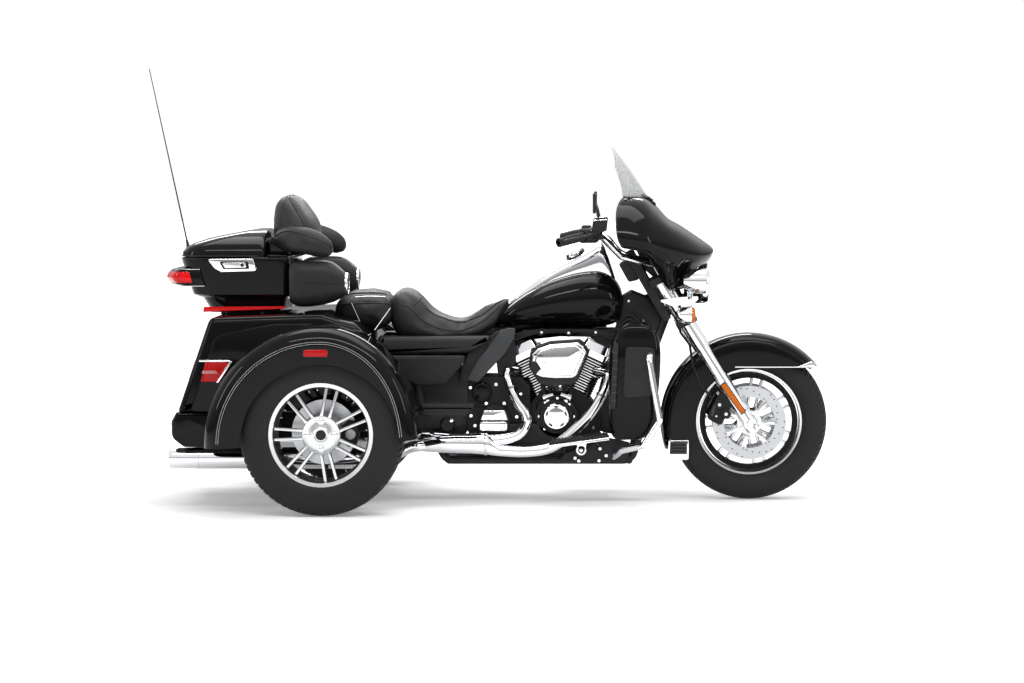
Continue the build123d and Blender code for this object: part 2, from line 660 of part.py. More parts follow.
BUMPER_TOP = TRUNK_FLOOR_Z
with BuildPart() as rear_bumper:
    slab(
        [(-1201, BUMPER_TOP), (-1224, 345), (-1210, 315), (-1165, 252), (-927, 252), (-927, BUMPER_TOP)],
        -FENDER_IN, FENDER_IN,
    )
    slab(
        [
            (-1193, BUMPER_TOP + 1), (-1214, 345), (-1200, 318), (-1160, 260), (-900, 260),
            (-900, BUMPER_TOP + 1),
        ],
        -FENDER_IN + 5, FENDER_IN - 5, mode=Mode.SUBTRACT,
    )
    for piece in (trunk_shell, fender_right, fender_left, mufflers):
        add(piece.part, mode=Mode.SUBTRACT)

with BuildPart() as tail_lamps:
    for side in (-1, 1):
        slab(
            [(rear_x(600) - 16, 600), (-978, 600), (-1035, 515), (rear_x(515) - 16, 515)],
            side * (FENDER_IN - 95), side * (FENDER_IN + 60), 4.0,
        )
    slab(TRUNK_SIDE, -FENDER_IN, FENDER_IN, mode=Mode.SUBTRACT)
    for piece in (fender_right, fender_left):
        add(piece.part, mode=Mode.SUBTRACT)

with BuildPart() as side_covers:
    for side in (-1, 1):
        slab(
            [(-384, 640), (-70, 640), (-100, 560), (-190, 530), (-290, 530), (-384, 570)], side * 168,
            side * 205, 8.0,
        )
        slab([(-300, 560), (-260, 560), (-260, 600), (-300, 600)], side * 120, side * 168)
    for piece in (frame, trunk_shell, rider_seat):
        add(piece.part, mode=Mode.SUBTRACT)

with BuildPart() as deflectors:
    for side in (-1, 1):
        slab([(115, 735), (58, 706), (-68, 532), (0, 528), (100, 660)], side * 165, side * 178, 6.0)
        slab([(20, 640), (50, 640), (50, 690), (20, 690)], side * 60, side * 165)
    for piece in (frame, fuel_tank, rider_seat, cylinders, rocker_covers):
        add(piece.part, mode=Mode.SUBTRACT)

# ================================================================ guards and boards
GUARD_R = 14.0
GUARD_Y = 350.0
with BuildPart() as leg_shields:
    for side in (-1, 1):
        slab(
            [
                (570, 742), (674, 728), (712, 658), (716, 550), (700, 470), (692, 315), (634, 268),
                (530, 274), (508, 400), (512, 530), (518, 670),
            ],
            side * 190, side * 330, 14.0,
        )
        slab([(600, 400), (690, 400), (690, 520), (600, 520)], side * 120, side * 190)
        slab([(640, 580), (740, 580), (740, 676), (640, 676)], side * 180, side * 340, mode=Mode.SUBTRACT)
        slab([(654, 670), (760, 670), (760, 760), (654, 760)], side * 180, side * 244, mode=Mode.SUBTRACT)
    for side in (-1, 1):
        outer = leg_shields.faces().sort_by(Axis.Y)[0 if side < 0 else -1]
        fillet(outer.edges(), 24)
    add(frame.part, mode=Mode.SUBTRACT)

GUARD_RUN = [
    (520, RAIL_Y, 178), (560, 255, 222), (650, 340, 252), (712, GUARD_Y, 350), (668, GUARD_Y, 600),
    (690, 250, 645),
]
with BuildPart() as engine_guard:
    pipe(GUARD_RUN + [(x, -y, z) for x, y, z in reversed(GUARD_RUN)], GUARD_R, 24.0)
    add(frame.part, mode=Mode.SUBTRACT)

with BuildPart() as rider_footboards:
    for side in (-1, 1):
        slab([(270, 252), (280, 224), (512, 262), (506, 292)], side * 215, side * 340, 5.0)
        for x in (330, 460):
            bar((x, side * (RAIL_Y - 2), 236), (x, side * 220, 252), 11.0)
            bar((x, side * RAIL_Y, RAIL_Z), (x, side * RAIL_Y, 242), 12.0)
    for piece in (frame, crankcase, gearbox_case, primary_cover, exhaust_headers, engine_guard, leg_shields):
        add(piece.part, mode=Mode.SUBTRACT)

with BuildPart() as passenger_footboards:
    for side in (-1, 1):
        slab([(-236, 372), (-232, 408), (-36, 412), (-32, 390), (-60, 368)], side * 235, side * 330, 5.0)
        bar((-251, side * RAIL_Y, 390), (-205, side * 250, 390), 13.0)
    for piece in (frame, gearbox_case):
        add(piece.part, mode=Mode.SUBTRACT)

# ================================================================ top box
BOX_FLOOR_Z = 790.0
BOX_SIDE = [
    (-1213, LID_SEAM_Z - 3), (-1165, 842), (-1116, 790), (-800, BOX_FLOOR_Z), (-771, 840),
    (-771, LID_SEAM_Z - 3),
]
LID_FRONT_X = -866.0
LID_KNUCKLE_R = 6.0
LID_PIVOT_Y = BOX_HALF + 7.5
LID_PIVOT_Z = LID_SEAM_Z - 0.5
with BuildPart() as topbox_base:
    slab(BOX_SIDE, -BOX_HALF, BOX_HALF, 8.0)
    inset_slab(BOX_SIDE, -BOX_WALL, -BOX_HALF + BOX_WALL, BOX_HALF - BOX_WALL, 8.0, Mode.SUBTRACT)
    slab(
        [
            (-1190, LID_SEAM_Z - 10), (LID_FRONT_X - 6, LID_SEAM_Z - 10), (LID_FRONT_X - 6, 1100),
            (-1190, 1100),
        ],
        -BOX_HALF + 16, BOX_HALF - 16, mode=Mode.SUBTRACT,
    )
    for hinge_x in (-1130.0, -950.0):
        bar((hinge_x - 30, LID_PIVOT_Y, LID_PIVOT_Z), (hinge_x + 30, LID_PIVOT_Y, LID_PIVOT_Z), PIN_R)
        for ear_x in (hinge_x - 30, hinge_x + 22):
            bar((ear_x, LID_PIVOT_Y, LID_PIVOT_Z), (ear_x + 8, LID_PIVOT_Y, LID_PIVOT_Z), LID_KNUCKLE_R)
            with Locations((ear_x + 4, LID_PIVOT_Y - 2, LID_PIVOT_Z - 11)):
                Box(8, 2 * LID_KNUCKLE_R + 4, 16)
    slab(
        [
            (LID_FRONT_X + SWING, LID_SEAM_Z - 4), (-775, LID_SEAM_Z - 4), (-775, 1012),
            (LID_FRONT_X + SWING, 1012),
        ],
        -BOX_HALF + 20, BOX_HALF - 20,
    )

with BuildPart() as topbox_rack:
    for side in (-1, 1):
        slab([(-1060, 766), (-860, 773), (-860, BOX_FLOOR_Z), (-1060, BOX_FLOOR_Z)], side * 80, side * 200)
    for piece in (trunk_shell, topbox_base):
        add(piece.part, mode=Mode.SUBTRACT)

LID_SIDE = [
    (-1209, LID_SEAM_Z + LID_GAP - 3), (-1205, 1028), (-1187, 1048), (-1093, 1080), (-960, 1104),
    (-889, 1112),
    (LID_FRONT_X, 1100), (LID_FRONT_X, LID_SEAM_Z + LID_GAP - 3),
]
with BuildPart() as topbox_lid:
    slab(LID_SIDE, -BOX_HALF, BOX_HALF, 6.0)
    front_keep(
        [
            (-BOX_HALF, 990), (-BOX_HALF, 1040), (-240, 1085), (-120, 1112), (120, 1112), (240, 1085),
            (BOX_HALF, 1040), (BOX_HALF, 990),
        ],
        -1300, -700, 12.0,
    )
    inset_slab(
        [
            (-1205, 900), (-1200, 1022), (-1184, 1042), (-1091, 1074), (-960, 1098), (-889, 1105),
            (LID_FRONT_X - 4, 1094), (LID_FRONT_X - 4, 900),
        ],
        -1, -BOX_HALF + 30, BOX_HALF - 30, 6.0, Mode.SUBTRACT,
    )
    for hinge_x in (-1130.0, -950.0):
        with Locations((hinge_x, LID_PIVOT_Y - 5, LID_SEAM_Z + 7)):
            Box(40, 12, 8)
        bar((hinge_x - 20, LID_PIVOT_Y, LID_PIVOT_Z), (hinge_x + 20, LID_PIVOT_Y, LID_PIVOT_Z), LID_KNUCKLE_R)
        bar(
            (hinge_x - 20, LID_PIVOT_Y, LID_PIVOT_Z), (hinge_x + 20, LID_PIVOT_Y, LID_PIVOT_Z),
            PIN_R + RUN, Mode.SUBTRACT,
        )

with BuildPart() as topbox_lamps:
    slab(
        [(-1278, 915), (-1262, 955), (-1120, 958), (-1110, 890), (-1240, 884)], -BOX_HALF - 6, BOX_HALF + 6,
        6.0,
    )
    add(topbox_base.part, mode=Mode.SUBTRACT)
    slab(
        [(-1190, 880), (-1100, 880), (-1100, 960), (-1210, 960)], -BOX_HALF + BOX_WALL, BOX_HALF - BOX_WALL,
        mode=Mode.SUBTRACT,
    )

with BuildPart() as backrest_pad:
    slab(
        [
            (-815, 1014), (-855, 1120), (-848, 1190), (-835, 1245), (-805, 1267), (-771, 1258), (-733, 1207),
            (-690, 1110), (-735, 1014),
        ],
        -215, 215, 8.0,
    )
    for side in (-1, 1):
        slab(
            [
                (-850, 1105), (-800, 1014), (-735, 1003), (-580, 1003), (-569, 1031), (-605, 1071),
                (-685, 1103), (-765, 1111),
            ],
            side * 215, side * 325, 8.0,
        )
    add(topbox_base.part, mode=Mode.SUBTRACT)

with BuildPart() as speaker_pods:
    for side in (-1, 1):
        slab(
            [
                (-771, 990), (-599, 987), (-550, 940), (-530, 888), (-550, 848), (-599, 819), (-698, 802),
                (-771, 812),
            ],
            side * 225, side * 330, 10.0,
        )
    for piece in (topbox_base, backrest_pad):
        add(piece.part, mode=Mode.SUBTRACT)

ANTENNA_Y = 200.0
ANTENNA_FOOT = (-1238.0, ANTENNA_Y, 1000.0)
ANTENNA_TIP_X = FRONT_AXLE_X + FRONT_TYRE_R - OVERALL_LENGTH + 3
with BuildPart() as antenna:
    bar(ANTENNA_FOOT, (ANTENNA_TIP_X, ANTENNA_Y, 1770), 3.0)
    bar((-1236, ANTENNA_Y, 985), (-1247, ANTENNA_Y, 1040), 9.0)
    slab([(-1245, 970), (-1200, 970), (-1205, 990), (-1245, 990)], ANTENNA_Y - 20, ANTENNA_Y + 20)
    add(topbox_base.part, mode=Mode.SUBTRACT)

# ================================================================ steering
with BuildPart() as triple_trees:
    for z in (LOWER_TREE_Z, UPPER_TREE_Z):
        with BuildSketch(steer_plane(z)) as yoke:
            with BuildLine():
                back = (fork_x(z) - steer_x(z)) / cos(radians(RAKE))
                Polyline(
                    (-30, -40), (back - 42, -FORK_Y - 30), (back + 42, -FORK_Y - 42), (45, -50), (45, 50),
                    (back + 42, FORK_Y + 42), (back - 42, FORK_Y + 30), (-30, 40), close=True,
                )
            make_face()
            fillet(yoke.vertices(), 8.0)
        extrude(yoke.sketch, amount=TREE_T / 2, both=True)
    bar((steer_x(LOWER_TREE_Z), 0, LOWER_TREE_Z), (steer_x(UPPER_TREE_Z), 0, UPPER_TREE_Z), STEM_R)
    for side in (-1, 1):
        bar(leg_point(400, side), leg_point(TUBE_TOP, side), FORK_COVER_R, Mode.SUBTRACT)

with BuildPart() as fork_legs:
    for side in (-1, 1):
        bar(leg_point(-30, side), leg_point(SLIDER_TOP, side), SLIDER_R)
        bar(leg_point(SLIDER_TOP, side), leg_point(COVER_TOP, side), FORK_COVER_R)
        bar(
            (FRONT_AXLE_X, side * (FRONT_DISC_Y + DISC_T / 2 + SWING), FRONT_TYRE_R),
            (FRONT_AXLE_X, side * 150, FRONT_TYRE_R), 24.0,
        )
    bar((FRONT_AXLE_X, -155, FRONT_TYRE_R), (FRONT_AXLE_X, 155, FRONT_TYRE_R), AXLE_R)

with BuildPart() as front_fender:
    with BuildSketch(cross_plane(FRONT_AXLE_X, 0, FRONT_TYRE_R)) as crown:
        for shrink in (0.0, FRONT_FENDER_WALL):
            half, top = FRONT_FENDER_HALF - shrink, FRONT_FENDER_R - shrink
            with BuildLine() as arch:
                Polyline((-half, 228), (-half, top - 44))
                ThreePointArc((-half, top - 44), (0, top), (half, top - 44))
                Polyline((half, top - 44), (half, 228), (-half, 228))
            make_face(arch.edges(), mode=Mode.ADD if shrink == 0.0 else Mode.SUBTRACT)
    revolve(crown.sketch, axis=Axis((FRONT_AXLE_X, 0, FRONT_TYRE_R), (0, 1, 0)))
    slab(
        [(FRONT_AXLE_X - 60, -200), (1600, -200), (1600, 548), (FRONT_AXLE_X - 60, 548)], -100, 100,
        mode=Mode.SUBTRACT,
    )
    slab([(600, -200), (1200, -200), (1023, 180), (690, 180)], -100, 100, mode=Mode.SUBTRACT)
    for side in (-1, 1):
        bar(leg_point(200, side), leg_point(400, side), SLIDER_R, Mode.SUBTRACT)
        bar(
            (leg_point(265, side)[0], side * 70, leg_point(265, side)[2]),
            (leg_point(265, side)[0], side * 98, leg_point(265, side)[2]), 22.0,
        )
    add(fork_legs.part, mode=Mode.SUBTRACT)

with BuildPart() as front_calipers:
    for side in (-1, 1):
        with BuildSketch(side_plane(side * 121 + 21)) as body:
            with Locations(Location((FRONT_AXLE_X - 118, FRONT_TYRE_R + 62, 0), 62)):
                RectangleRounded(126, 66, 14)
        extrude(body.sketch, amount=42)
        bar(
            (FRONT_AXLE_X - 118, side * (FRONT_DISC_Y - 25), FRONT_TYRE_R + 62),
            (FRONT_AXLE_X - 118, side * 110, FRONT_TYRE_R + 62), 5.0,
        )
    slab([(800, 200), (1083, 200), (1083, 560), (800, 560)], -100, 100, mode=Mode.SUBTRACT)
    for side in (-1, 1):
        bar(
            (FRONT_AXLE_X - 60, side * 112, FRONT_TYRE_R + 96),
            (FRONT_AXLE_X - 20, side * 112, FRONT_TYRE_R + 72), 12.0,
        )
    add(fork_legs.part, mode=Mode.SUBTRACT)

FAIRING_TOP_Z = 1236.0
FAIRING_SIDE = [
    (545, 1100), (540, 1166), (560, FAIRING_TOP_Z), (680, FAIRING_TOP_Z), (728, 1162), (791, 1131),
    (854, 1092), (906, 1055), (938, 1018),
    (911, 963), (880, 900), (846, 858), (760, 850), (722, 916), (692, 1001), (657, 1028), (585, 1045),
]
FAIRING_PLAN = [
    (500, -392), (640, -392), (760, -340), (850, -240), (915, -110), (945, 0),
    (915, 110), (850, 240), (760, 340), (640, 392), (500, 392),
]
FAIRING_FRONT = [
    (-210, 845), (-250, 960), (-392, 1035), (-392, 1110), (-340, 1190), (-250, 1238),
    (250, 1238), (340, 1190), (392, 1110), (392, 1035), (250, 960), (210, 845),
]
with BuildPart() as fairing_outer:
    slab(FAIRING_SIDE, -392, 392, 4.0)
    plan_keep(FAIRING_PLAN, 800, 1300, 20.0)
    front_keep(FAIRING_FRONT, 400, 1000, 16.0)
    with BuildSketch(side_plane(400)) as room:
        Polygon(
            (500, 1105), (500, 1160), (548, 1230), (676, 1230), (722, 1158), (789, 1124), (851, 1085),
            (900, 1050),
            (928, 1016), (903, 963), (872, 903), (838, 800), (700, 800), (600, 900), align=None,
        )
    with BuildSketch(Plane.XY.offset(790)) as plan_room:
        Polygon(
            (400, -386), (637, -386), (757, -335), (846, -237), (910, -109), (938, 0),
            (910, 109), (846, 237), (757, 335), (637, 386), (400, 386), align=None,
        )
    with BuildSketch(cross_plane(400)) as front_room:
        Polygon(
            (-200, 780), (-242, 958), (-386, 1030), (-386, 1108), (-337, 1186), (-249, 1232),
            (249, 1232), (337, 1186), (386, 1108), (386, 1030), (242, 958), (200, 780), align=None,
        )
    from_side = extrude(room.sketch, amount=800, mode=Mode.PRIVATE)
    from_above = extrude(plan_room.sketch, amount=500, mode=Mode.PRIVATE)
    from_front = extrude(front_room.sketch, amount=600, mode=Mode.PRIVATE)
    add(from_side & from_above & from_front, mode=Mode.SUBTRACT)
    bar((800, 0, LAMP_Z), (1000, 0, LAMP_Z), LAMP_R, Mode.SUBTRACT)

with BuildPart() as fairing_inner:
    slab([(560, 1060), (548, 1160), (575, 1228), (600, 1228), (600, 1060)], -376, 376)
    front_keep(
        [
            (-376, 1055), (-376, 1104), (-332, 1180), (-246, 1226), (246, 1226), (332, 1180), (376, 1104),
            (376, 1055),
        ],
        400, 700, 10.0,
    )
    slab([(585, 1042), (640, 1036), (640, 1062), (585, 1062)], -330, 330)
    for side in (-1, 1):
        slab(
            [(600, 1062), (640, 1062), (690, 960), (720, 930), (700, 905), (660, 940), (600, 1040)],
            side * 64, side * 76,
        )
        slab([(690, 925), (880, 925), (880, 905), (690, 905)], side * 64, side * 76)
    for piece in (triple_trees, fork_legs, fairing_outer):
        add(piece.part, mode=Mode.SUBTRACT)

SHIELD_HALF = 245.0
with BuildPart() as windshield:
    with BuildSketch(Plane.XY.offset(FAIRING_TOP_Z)) as sheet:
        with BuildLine() as edge:
            ThreePointArc((566, -SHIELD_HALF), (676, 0), (566, SHIELD_HALF))
            Line((566, SHIELD_HALF), (562, SHIELD_HALF))
            ThreePointArc((562, SHIELD_HALF), (671.5, 0), (562, -SHIELD_HALF))
            Line((562, -SHIELD_HALF), (566, -SHIELD_HALF))
        make_face()
    extrude(sheet.sketch, amount=330, dir=(518 - 672, 0, 1448 - FAIRING_TOP_Z))
    front_keep([
            (-260, FAIRING_TOP_Z - 60), (-245, 1330), (-170, 1448), (170, 1448), (245, 1330),
            (260, FAIRING_TOP_Z - 60),
        ], 200, 800, 40.0)

with BuildPart() as headlamp:
    bar((872, 0, LAMP_Z), (912, 0, LAMP_Z), LAMP_R)
    with BuildSketch(Plane(origin=(872, 0, LAMP_Z), z_dir=(-1, 0, 0))) as shell:
        Circle(LAMP_R)
    extrude(shell.sketch, amount=36, taper=30)
    bar((904, 0, LAMP_Z), (920, 0, LAMP_Z), LAMP_R - 8, Mode.SUBTRACT)
    for piece in (fork_legs, triple_trees, fairing_inner):
        add(piece.part, mode=Mode.SUBTRACT)
LENS_BACK_X = 904.0
LENS_SEAT_X = 912.0
LENS_BULGE = 18.0
LENS_R = LAMP_R - 8
with BuildPart() as headlamp_lens:
    bar((LENS_BACK_X, 0, LAMP_Z), (LENS_SEAT_X, 0, LAMP_Z), LENS_R)
    with BuildSketch(Plane(origin=(LENS_SEAT_X, 0, LAMP_Z), z_dir=(1, 0, 0))) as dome:
        Circle(LENS_R)
    extrude(dome.sketch, amount=LENS_BULGE, taper=62)

PASSING_Y = 200.0
with BuildPart() as passing_lamps:
    for side in (-1, 1):
        bar((850, side * PASSING_Y, 903), (900, side * PASSING_Y, 903), 56.0)
        with BuildSketch(Plane(origin=(850, side * PASSING_Y, 903), z_dir=(-1, 0, 0))) as bowl:
            Circle(56)
        extrude(bowl.sketch, amount=55, taper=30)
    for piece in (headlamp, fairing_outer):
        add(piece.part, mode=Mode.SUBTRACT)

SIGNAL_Y = 232.0
with BuildPart() as turn_signals:
    for side in (-1, 1):
        bar((818, side * SIGNAL_Y, 767), (858, side * SIGNAL_Y, 767), 35.0)
        with BuildSketch(Plane(origin=(818, side * SIGNAL_Y, 767), z_dir=(-1, 0, 0))) as bullet:
            Circle(35)
        extrude(bullet.sketch, amount=40, taper=28)

with BuildPart() as lamp_bracket:
    for side in (-1, 1):
        slab(
            [(704, 823), (800, 836), (870, 840), (870, 826), (812, 774), (790, 790)], side * 158, side * 164,
            5.0,
        )
        bar((836, side * 160, 836), (836, side * PASSING_Y, 860), 12.0)
        bar((828, side * 160, 788), (828, side * SIGNAL_Y, 770), 11.0)
        slab([(768, 805), (792, 805), (792, 832), (768, 832)], side * 130, side * 160)
    for piece in (passing_lamps, turn_signals, fork_legs, fairing_outer):
        add(piece.part, mode=Mode.SUBTRACT)

with BuildPart() as handlebar:
    for side in (-1, 1):
        pipe(
            [
                (712, 0, 952), (690, side * 90, 965), (560, side * 170, 1000), (480, side * 270, 1082),
                (405, side * 375, 1086), (318, side * 452, 1066),
            ],
            BAR_R, 26.0,
        )
        bar((steer_x(UPPER_TREE_Z) - 8, side * 50, UPPER_TREE_Z), (700, side * 50, 962), 13.0)
        pipe([(405, side * 375, 1086), (360, side * 415, 1078), (312, side * 457, 1064)], GRIP_R, 30.0)
    for piece in (triple_trees, fork_legs, fairing_outer, fairing_inner):
        add(piece.part, mode=Mode.SUBTRACT)

with BuildPart() as hand_controls:
    for side in (-1, 1):
        bar((405, side * 375, 1086), (452, side * 310, 1085), 26.0)
        slab([(440, 1100), (500, 1108), (505, 1150), (445, 1146)], side * 290, side * 345, 5.0)
        slab([(455, 1078), (485, 1078), (485, 1110), (455, 1110)], side * 300, side * 335, 5.0)
        pipe([(480, side * 330, 1098), (430, side * 430, 1092), (330, side * 500, 1070)], 6.0, 40.0)
    add(handlebar.part, mode=Mode.SUBTRACT)

with BuildPart() as mirrors:
    for side in (-1, 1):
        pipe([(470, side * 318, 1148), (462, side * 330, 1185), (452, side * 400, 1215)], 5.0, 14.0)
        slab([(446, 1180), (458, 1180), (458, 1258), (446, 1258)], side * 385, side * 520, 4.0)
    for piece in (hand_controls, handlebar):
        add(piece.part, mode=Mode.SUBTRACT)

with BuildPart() as brake_hose:
    pipe(
        [
            (790, -95, 742), (800, -102, 690), (838, -104, 640), (850, -110, 560), (880, -118, 480),
            (930, -121, 420),
        ],
        5.0, 24.0,
    )
    for piece in (triple_trees, fork_legs, front_calipers, front_fender):
        add(piece.part, mode=Mode.SUBTRACT)

PIECES = {
    "front_tyre": front_tyre, "front_rim": front_rim,
    "rear_tyre_left": rear_tyre_left, "rear_rim_left": rear_rim_left,
    "rear_tyre_right": rear_tyre_right, "rear_rim_right": rear_rim_right,
    "frame": frame, "rear_axle": rear_axle, "crankcase": crankcase, "cylinders": cylinders,
    "rocker_covers": rocker_covers, "cam_cover": cam_cover, "pushrod_tubes": pushrod_tubes,
    "air_cleaner_base": air_cleaner_base, "air_cleaner_cover": air_cleaner_cover,
    "gearbox_case": gearbox_case, "gearbox_cover": gearbox_cover, "primary_cover": primary_cover,
    "exhaust_headers": exhaust_headers, "mufflers": mufflers,
    "fuel_tank": fuel_tank, "tank_console": tank_console, "rider_seat": rider_seat,
    "passenger_seat": passenger_seat, "trunk_shell": trunk_shell, "trunk_door": trunk_door,
    "fender_right": fender_right, "fender_left": fender_left, "rear_bumper": rear_bumper,
    "tail_lamps": tail_lamps, "side_covers": side_covers, "deflectors": deflectors,
    "leg_shields": leg_shields, "engine_guard": engine_guard, "rider_footboards": rider_footboards,
    "passenger_footboards": passenger_footboards, "topbox_base": topbox_base, "topbox_rack": topbox_rack,
    "topbox_lid": topbox_lid, "topbox_lamps": topbox_lamps,
    "backrest_pad": backrest_pad, "speaker_pods": speaker_pods, "antenna": antenna,
    "triple_trees": triple_trees, "fork_legs": fork_legs, "front_fender": front_fender,
    "front_calipers": front_calipers, "fairing_outer": fairing_outer, "fairing_inner": fairing_inner,
    "windshield": windshield, "headlamp": headlamp,
    "headlamp_lens": headlamp_lens, "passing_lamps": passing_lamps, "turn_signals": turn_signals,
    "lamp_bracket": lamp_bracket, "handlebar": handlebar, "hand_controls": hand_controls,
    "mirrors": mirrors, "brake_hose": brake_hose,
}

os.makedirs("parts", exist_ok=True)
for name, builder in PIECES.items():
    finish(name, builder.part)
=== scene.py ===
"""Dress the motorized trike: meshes, finishes, lights and camera, in the frame of its solids.

Everything is in metres: +X forward, +Y to the rider's left, +Z up, ground at z = 0. Each sub-assembly is a
class that holds its sizes, builds its meshes and dresses them; each finish is a frozen dataclass.
"""

from __future__ import annotations

import json
import logging
import math
from dataclasses import dataclass
from enum import Enum
from typing import Any, Callable, Sequence

import bmesh
import bpy
from mathutils import Matrix, Vector

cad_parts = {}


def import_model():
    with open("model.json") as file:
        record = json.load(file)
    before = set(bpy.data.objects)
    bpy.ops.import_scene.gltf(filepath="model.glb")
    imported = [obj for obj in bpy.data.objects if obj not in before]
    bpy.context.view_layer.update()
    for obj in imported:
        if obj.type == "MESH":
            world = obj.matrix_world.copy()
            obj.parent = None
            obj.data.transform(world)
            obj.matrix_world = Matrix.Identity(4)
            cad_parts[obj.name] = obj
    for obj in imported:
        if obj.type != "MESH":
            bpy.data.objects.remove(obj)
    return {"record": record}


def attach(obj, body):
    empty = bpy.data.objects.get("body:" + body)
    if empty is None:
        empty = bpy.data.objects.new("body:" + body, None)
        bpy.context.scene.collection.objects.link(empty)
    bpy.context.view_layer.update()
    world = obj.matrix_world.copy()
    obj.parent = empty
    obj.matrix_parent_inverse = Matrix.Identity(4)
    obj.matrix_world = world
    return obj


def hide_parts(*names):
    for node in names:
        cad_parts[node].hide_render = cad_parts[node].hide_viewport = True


LOG = logging.getLogger("trike")

Point = tuple[float, float, float]
Pair = tuple[float, float]

FRONT_AXLE: Point = (1.083, 0.0, 0.32)
REAR_AXLE: Point = (-0.612, 0.558, 0.32)
FORK_LEAN = math.radians(32.3)

# Metres within which vertices become one, on copies of solids and on own meshes.
SOLID_MERGE = 2e-5
OWN_MERGE = 4e-6
# Faces of a solid that turn less than this from each other become one.
FLAT_ANGLE = math.radians(0.6)
CLOTH_FRAMES = 20

AHEAD, BACK = (1, 0, 0), (-1, 0, 0)
LEFT, RIGHT = (0, 1, 0), (0, -1, 0)
UP = (0, 0, 1)
NO_MOVE = (0, 0, 0)

# Degrees past which an edge is drawn sharp, from the hardest shapes to the softest.
CRISP = 28.0
TRIM = 30.0
LATHED = 32.0
PANEL = 33.0
COVER = 34.0
SKIN = 35.0
PRESSED = 40.0
BENT = 45.0
MOULDED = 50.0
SWEPT = 60.0
SEWN = 80.0
SMOOTH = 180.0

WHITE = (1.0, 1.0, 1.0, 1.0)


class Body(str, Enum):
    """The rigid bodies that pieces ride on."""

    CHASSIS = "chassis"
    STEERING = "steering"
    FRONT_WHEEL = "front_wheel"
    REAR_LEFT = "rear_wheel_left"
    REAR_RIGHT = "rear_wheel_right"
    LID = "topbox_lid"
    DOOR = "trunk_door"


class Slot(str, Enum):
    """The record's material slots."""

    PAINT = "gloss_black"
    SATIN = "satin_black"
    PLASTIC = "black_plastic"
    CHROME = "chrome"
    ALUMINIUM = "aluminium"
    TYRE = "tyre"
    RUBBER = "rubber"
    LEATHER = "seat_leather"
    RED = "red_lens"
    GLASS = "clear_glass"


# ---------------------------------------------------------------- shader graphs
class Sock:
    """A node socket on which Python operators add Math nodes."""

    def __init__(self, graph: "Graph", socket: bpy.types.NodeSocket) -> None:
        """Wrap a socket of a graph."""
        self.graph = graph
        self.socket = socket

    def _math(self, operation: str, first: Any, second: Any = None) -> "Sock":
        """Add one Math node.

        Args:
            operation: The Math node's operation.
            first: Its first value or socket.
            second: Its second value or socket, if it has one.

        Returns:
            The node's result.
        """
        values = {0: first} if second is None else {0: first, 1: second}
        return self.graph.node("ShaderNodeMath", {"operation": operation}, values, 0)

    def __add__(self, other: Any) -> "Sock":
        """Add."""
        return self._math("ADD", self, other)

    __radd__ = __add__

    def __sub__(self, other: Any) -> "Sock":
        """Subtract."""
        return self._math("SUBTRACT", self, other)

    def __rsub__(self, other: Any) -> "Sock":
        """Subtract from a number."""
        return self._math("SUBTRACT", other, self)

    def __mul__(self, other: Any) -> "Sock":
        """Multiply."""
        return self._math("MULTIPLY", self, other)

    __rmul__ = __mul__

    def __truediv__(self, other: Any) -> "Sock":
        """Divide."""
        return self._math("DIVIDE", self, other)

    def __pow__(self, other: Any) -> "Sock":
        """Raise to a power."""
        return self._math("POWER", self, other)

    def __abs__(self) -> "Sock":
        """Drop the sign."""
        return self._math("ABSOLUTE", self)

    def sine(self) -> "Sock":
        """Take the sine."""
        return self._math("SINE", self)

    def larger(self, other: Any) -> "Sock":
        """Give the larger of this and another value."""
        return self._math("MAXIMUM", self, other)


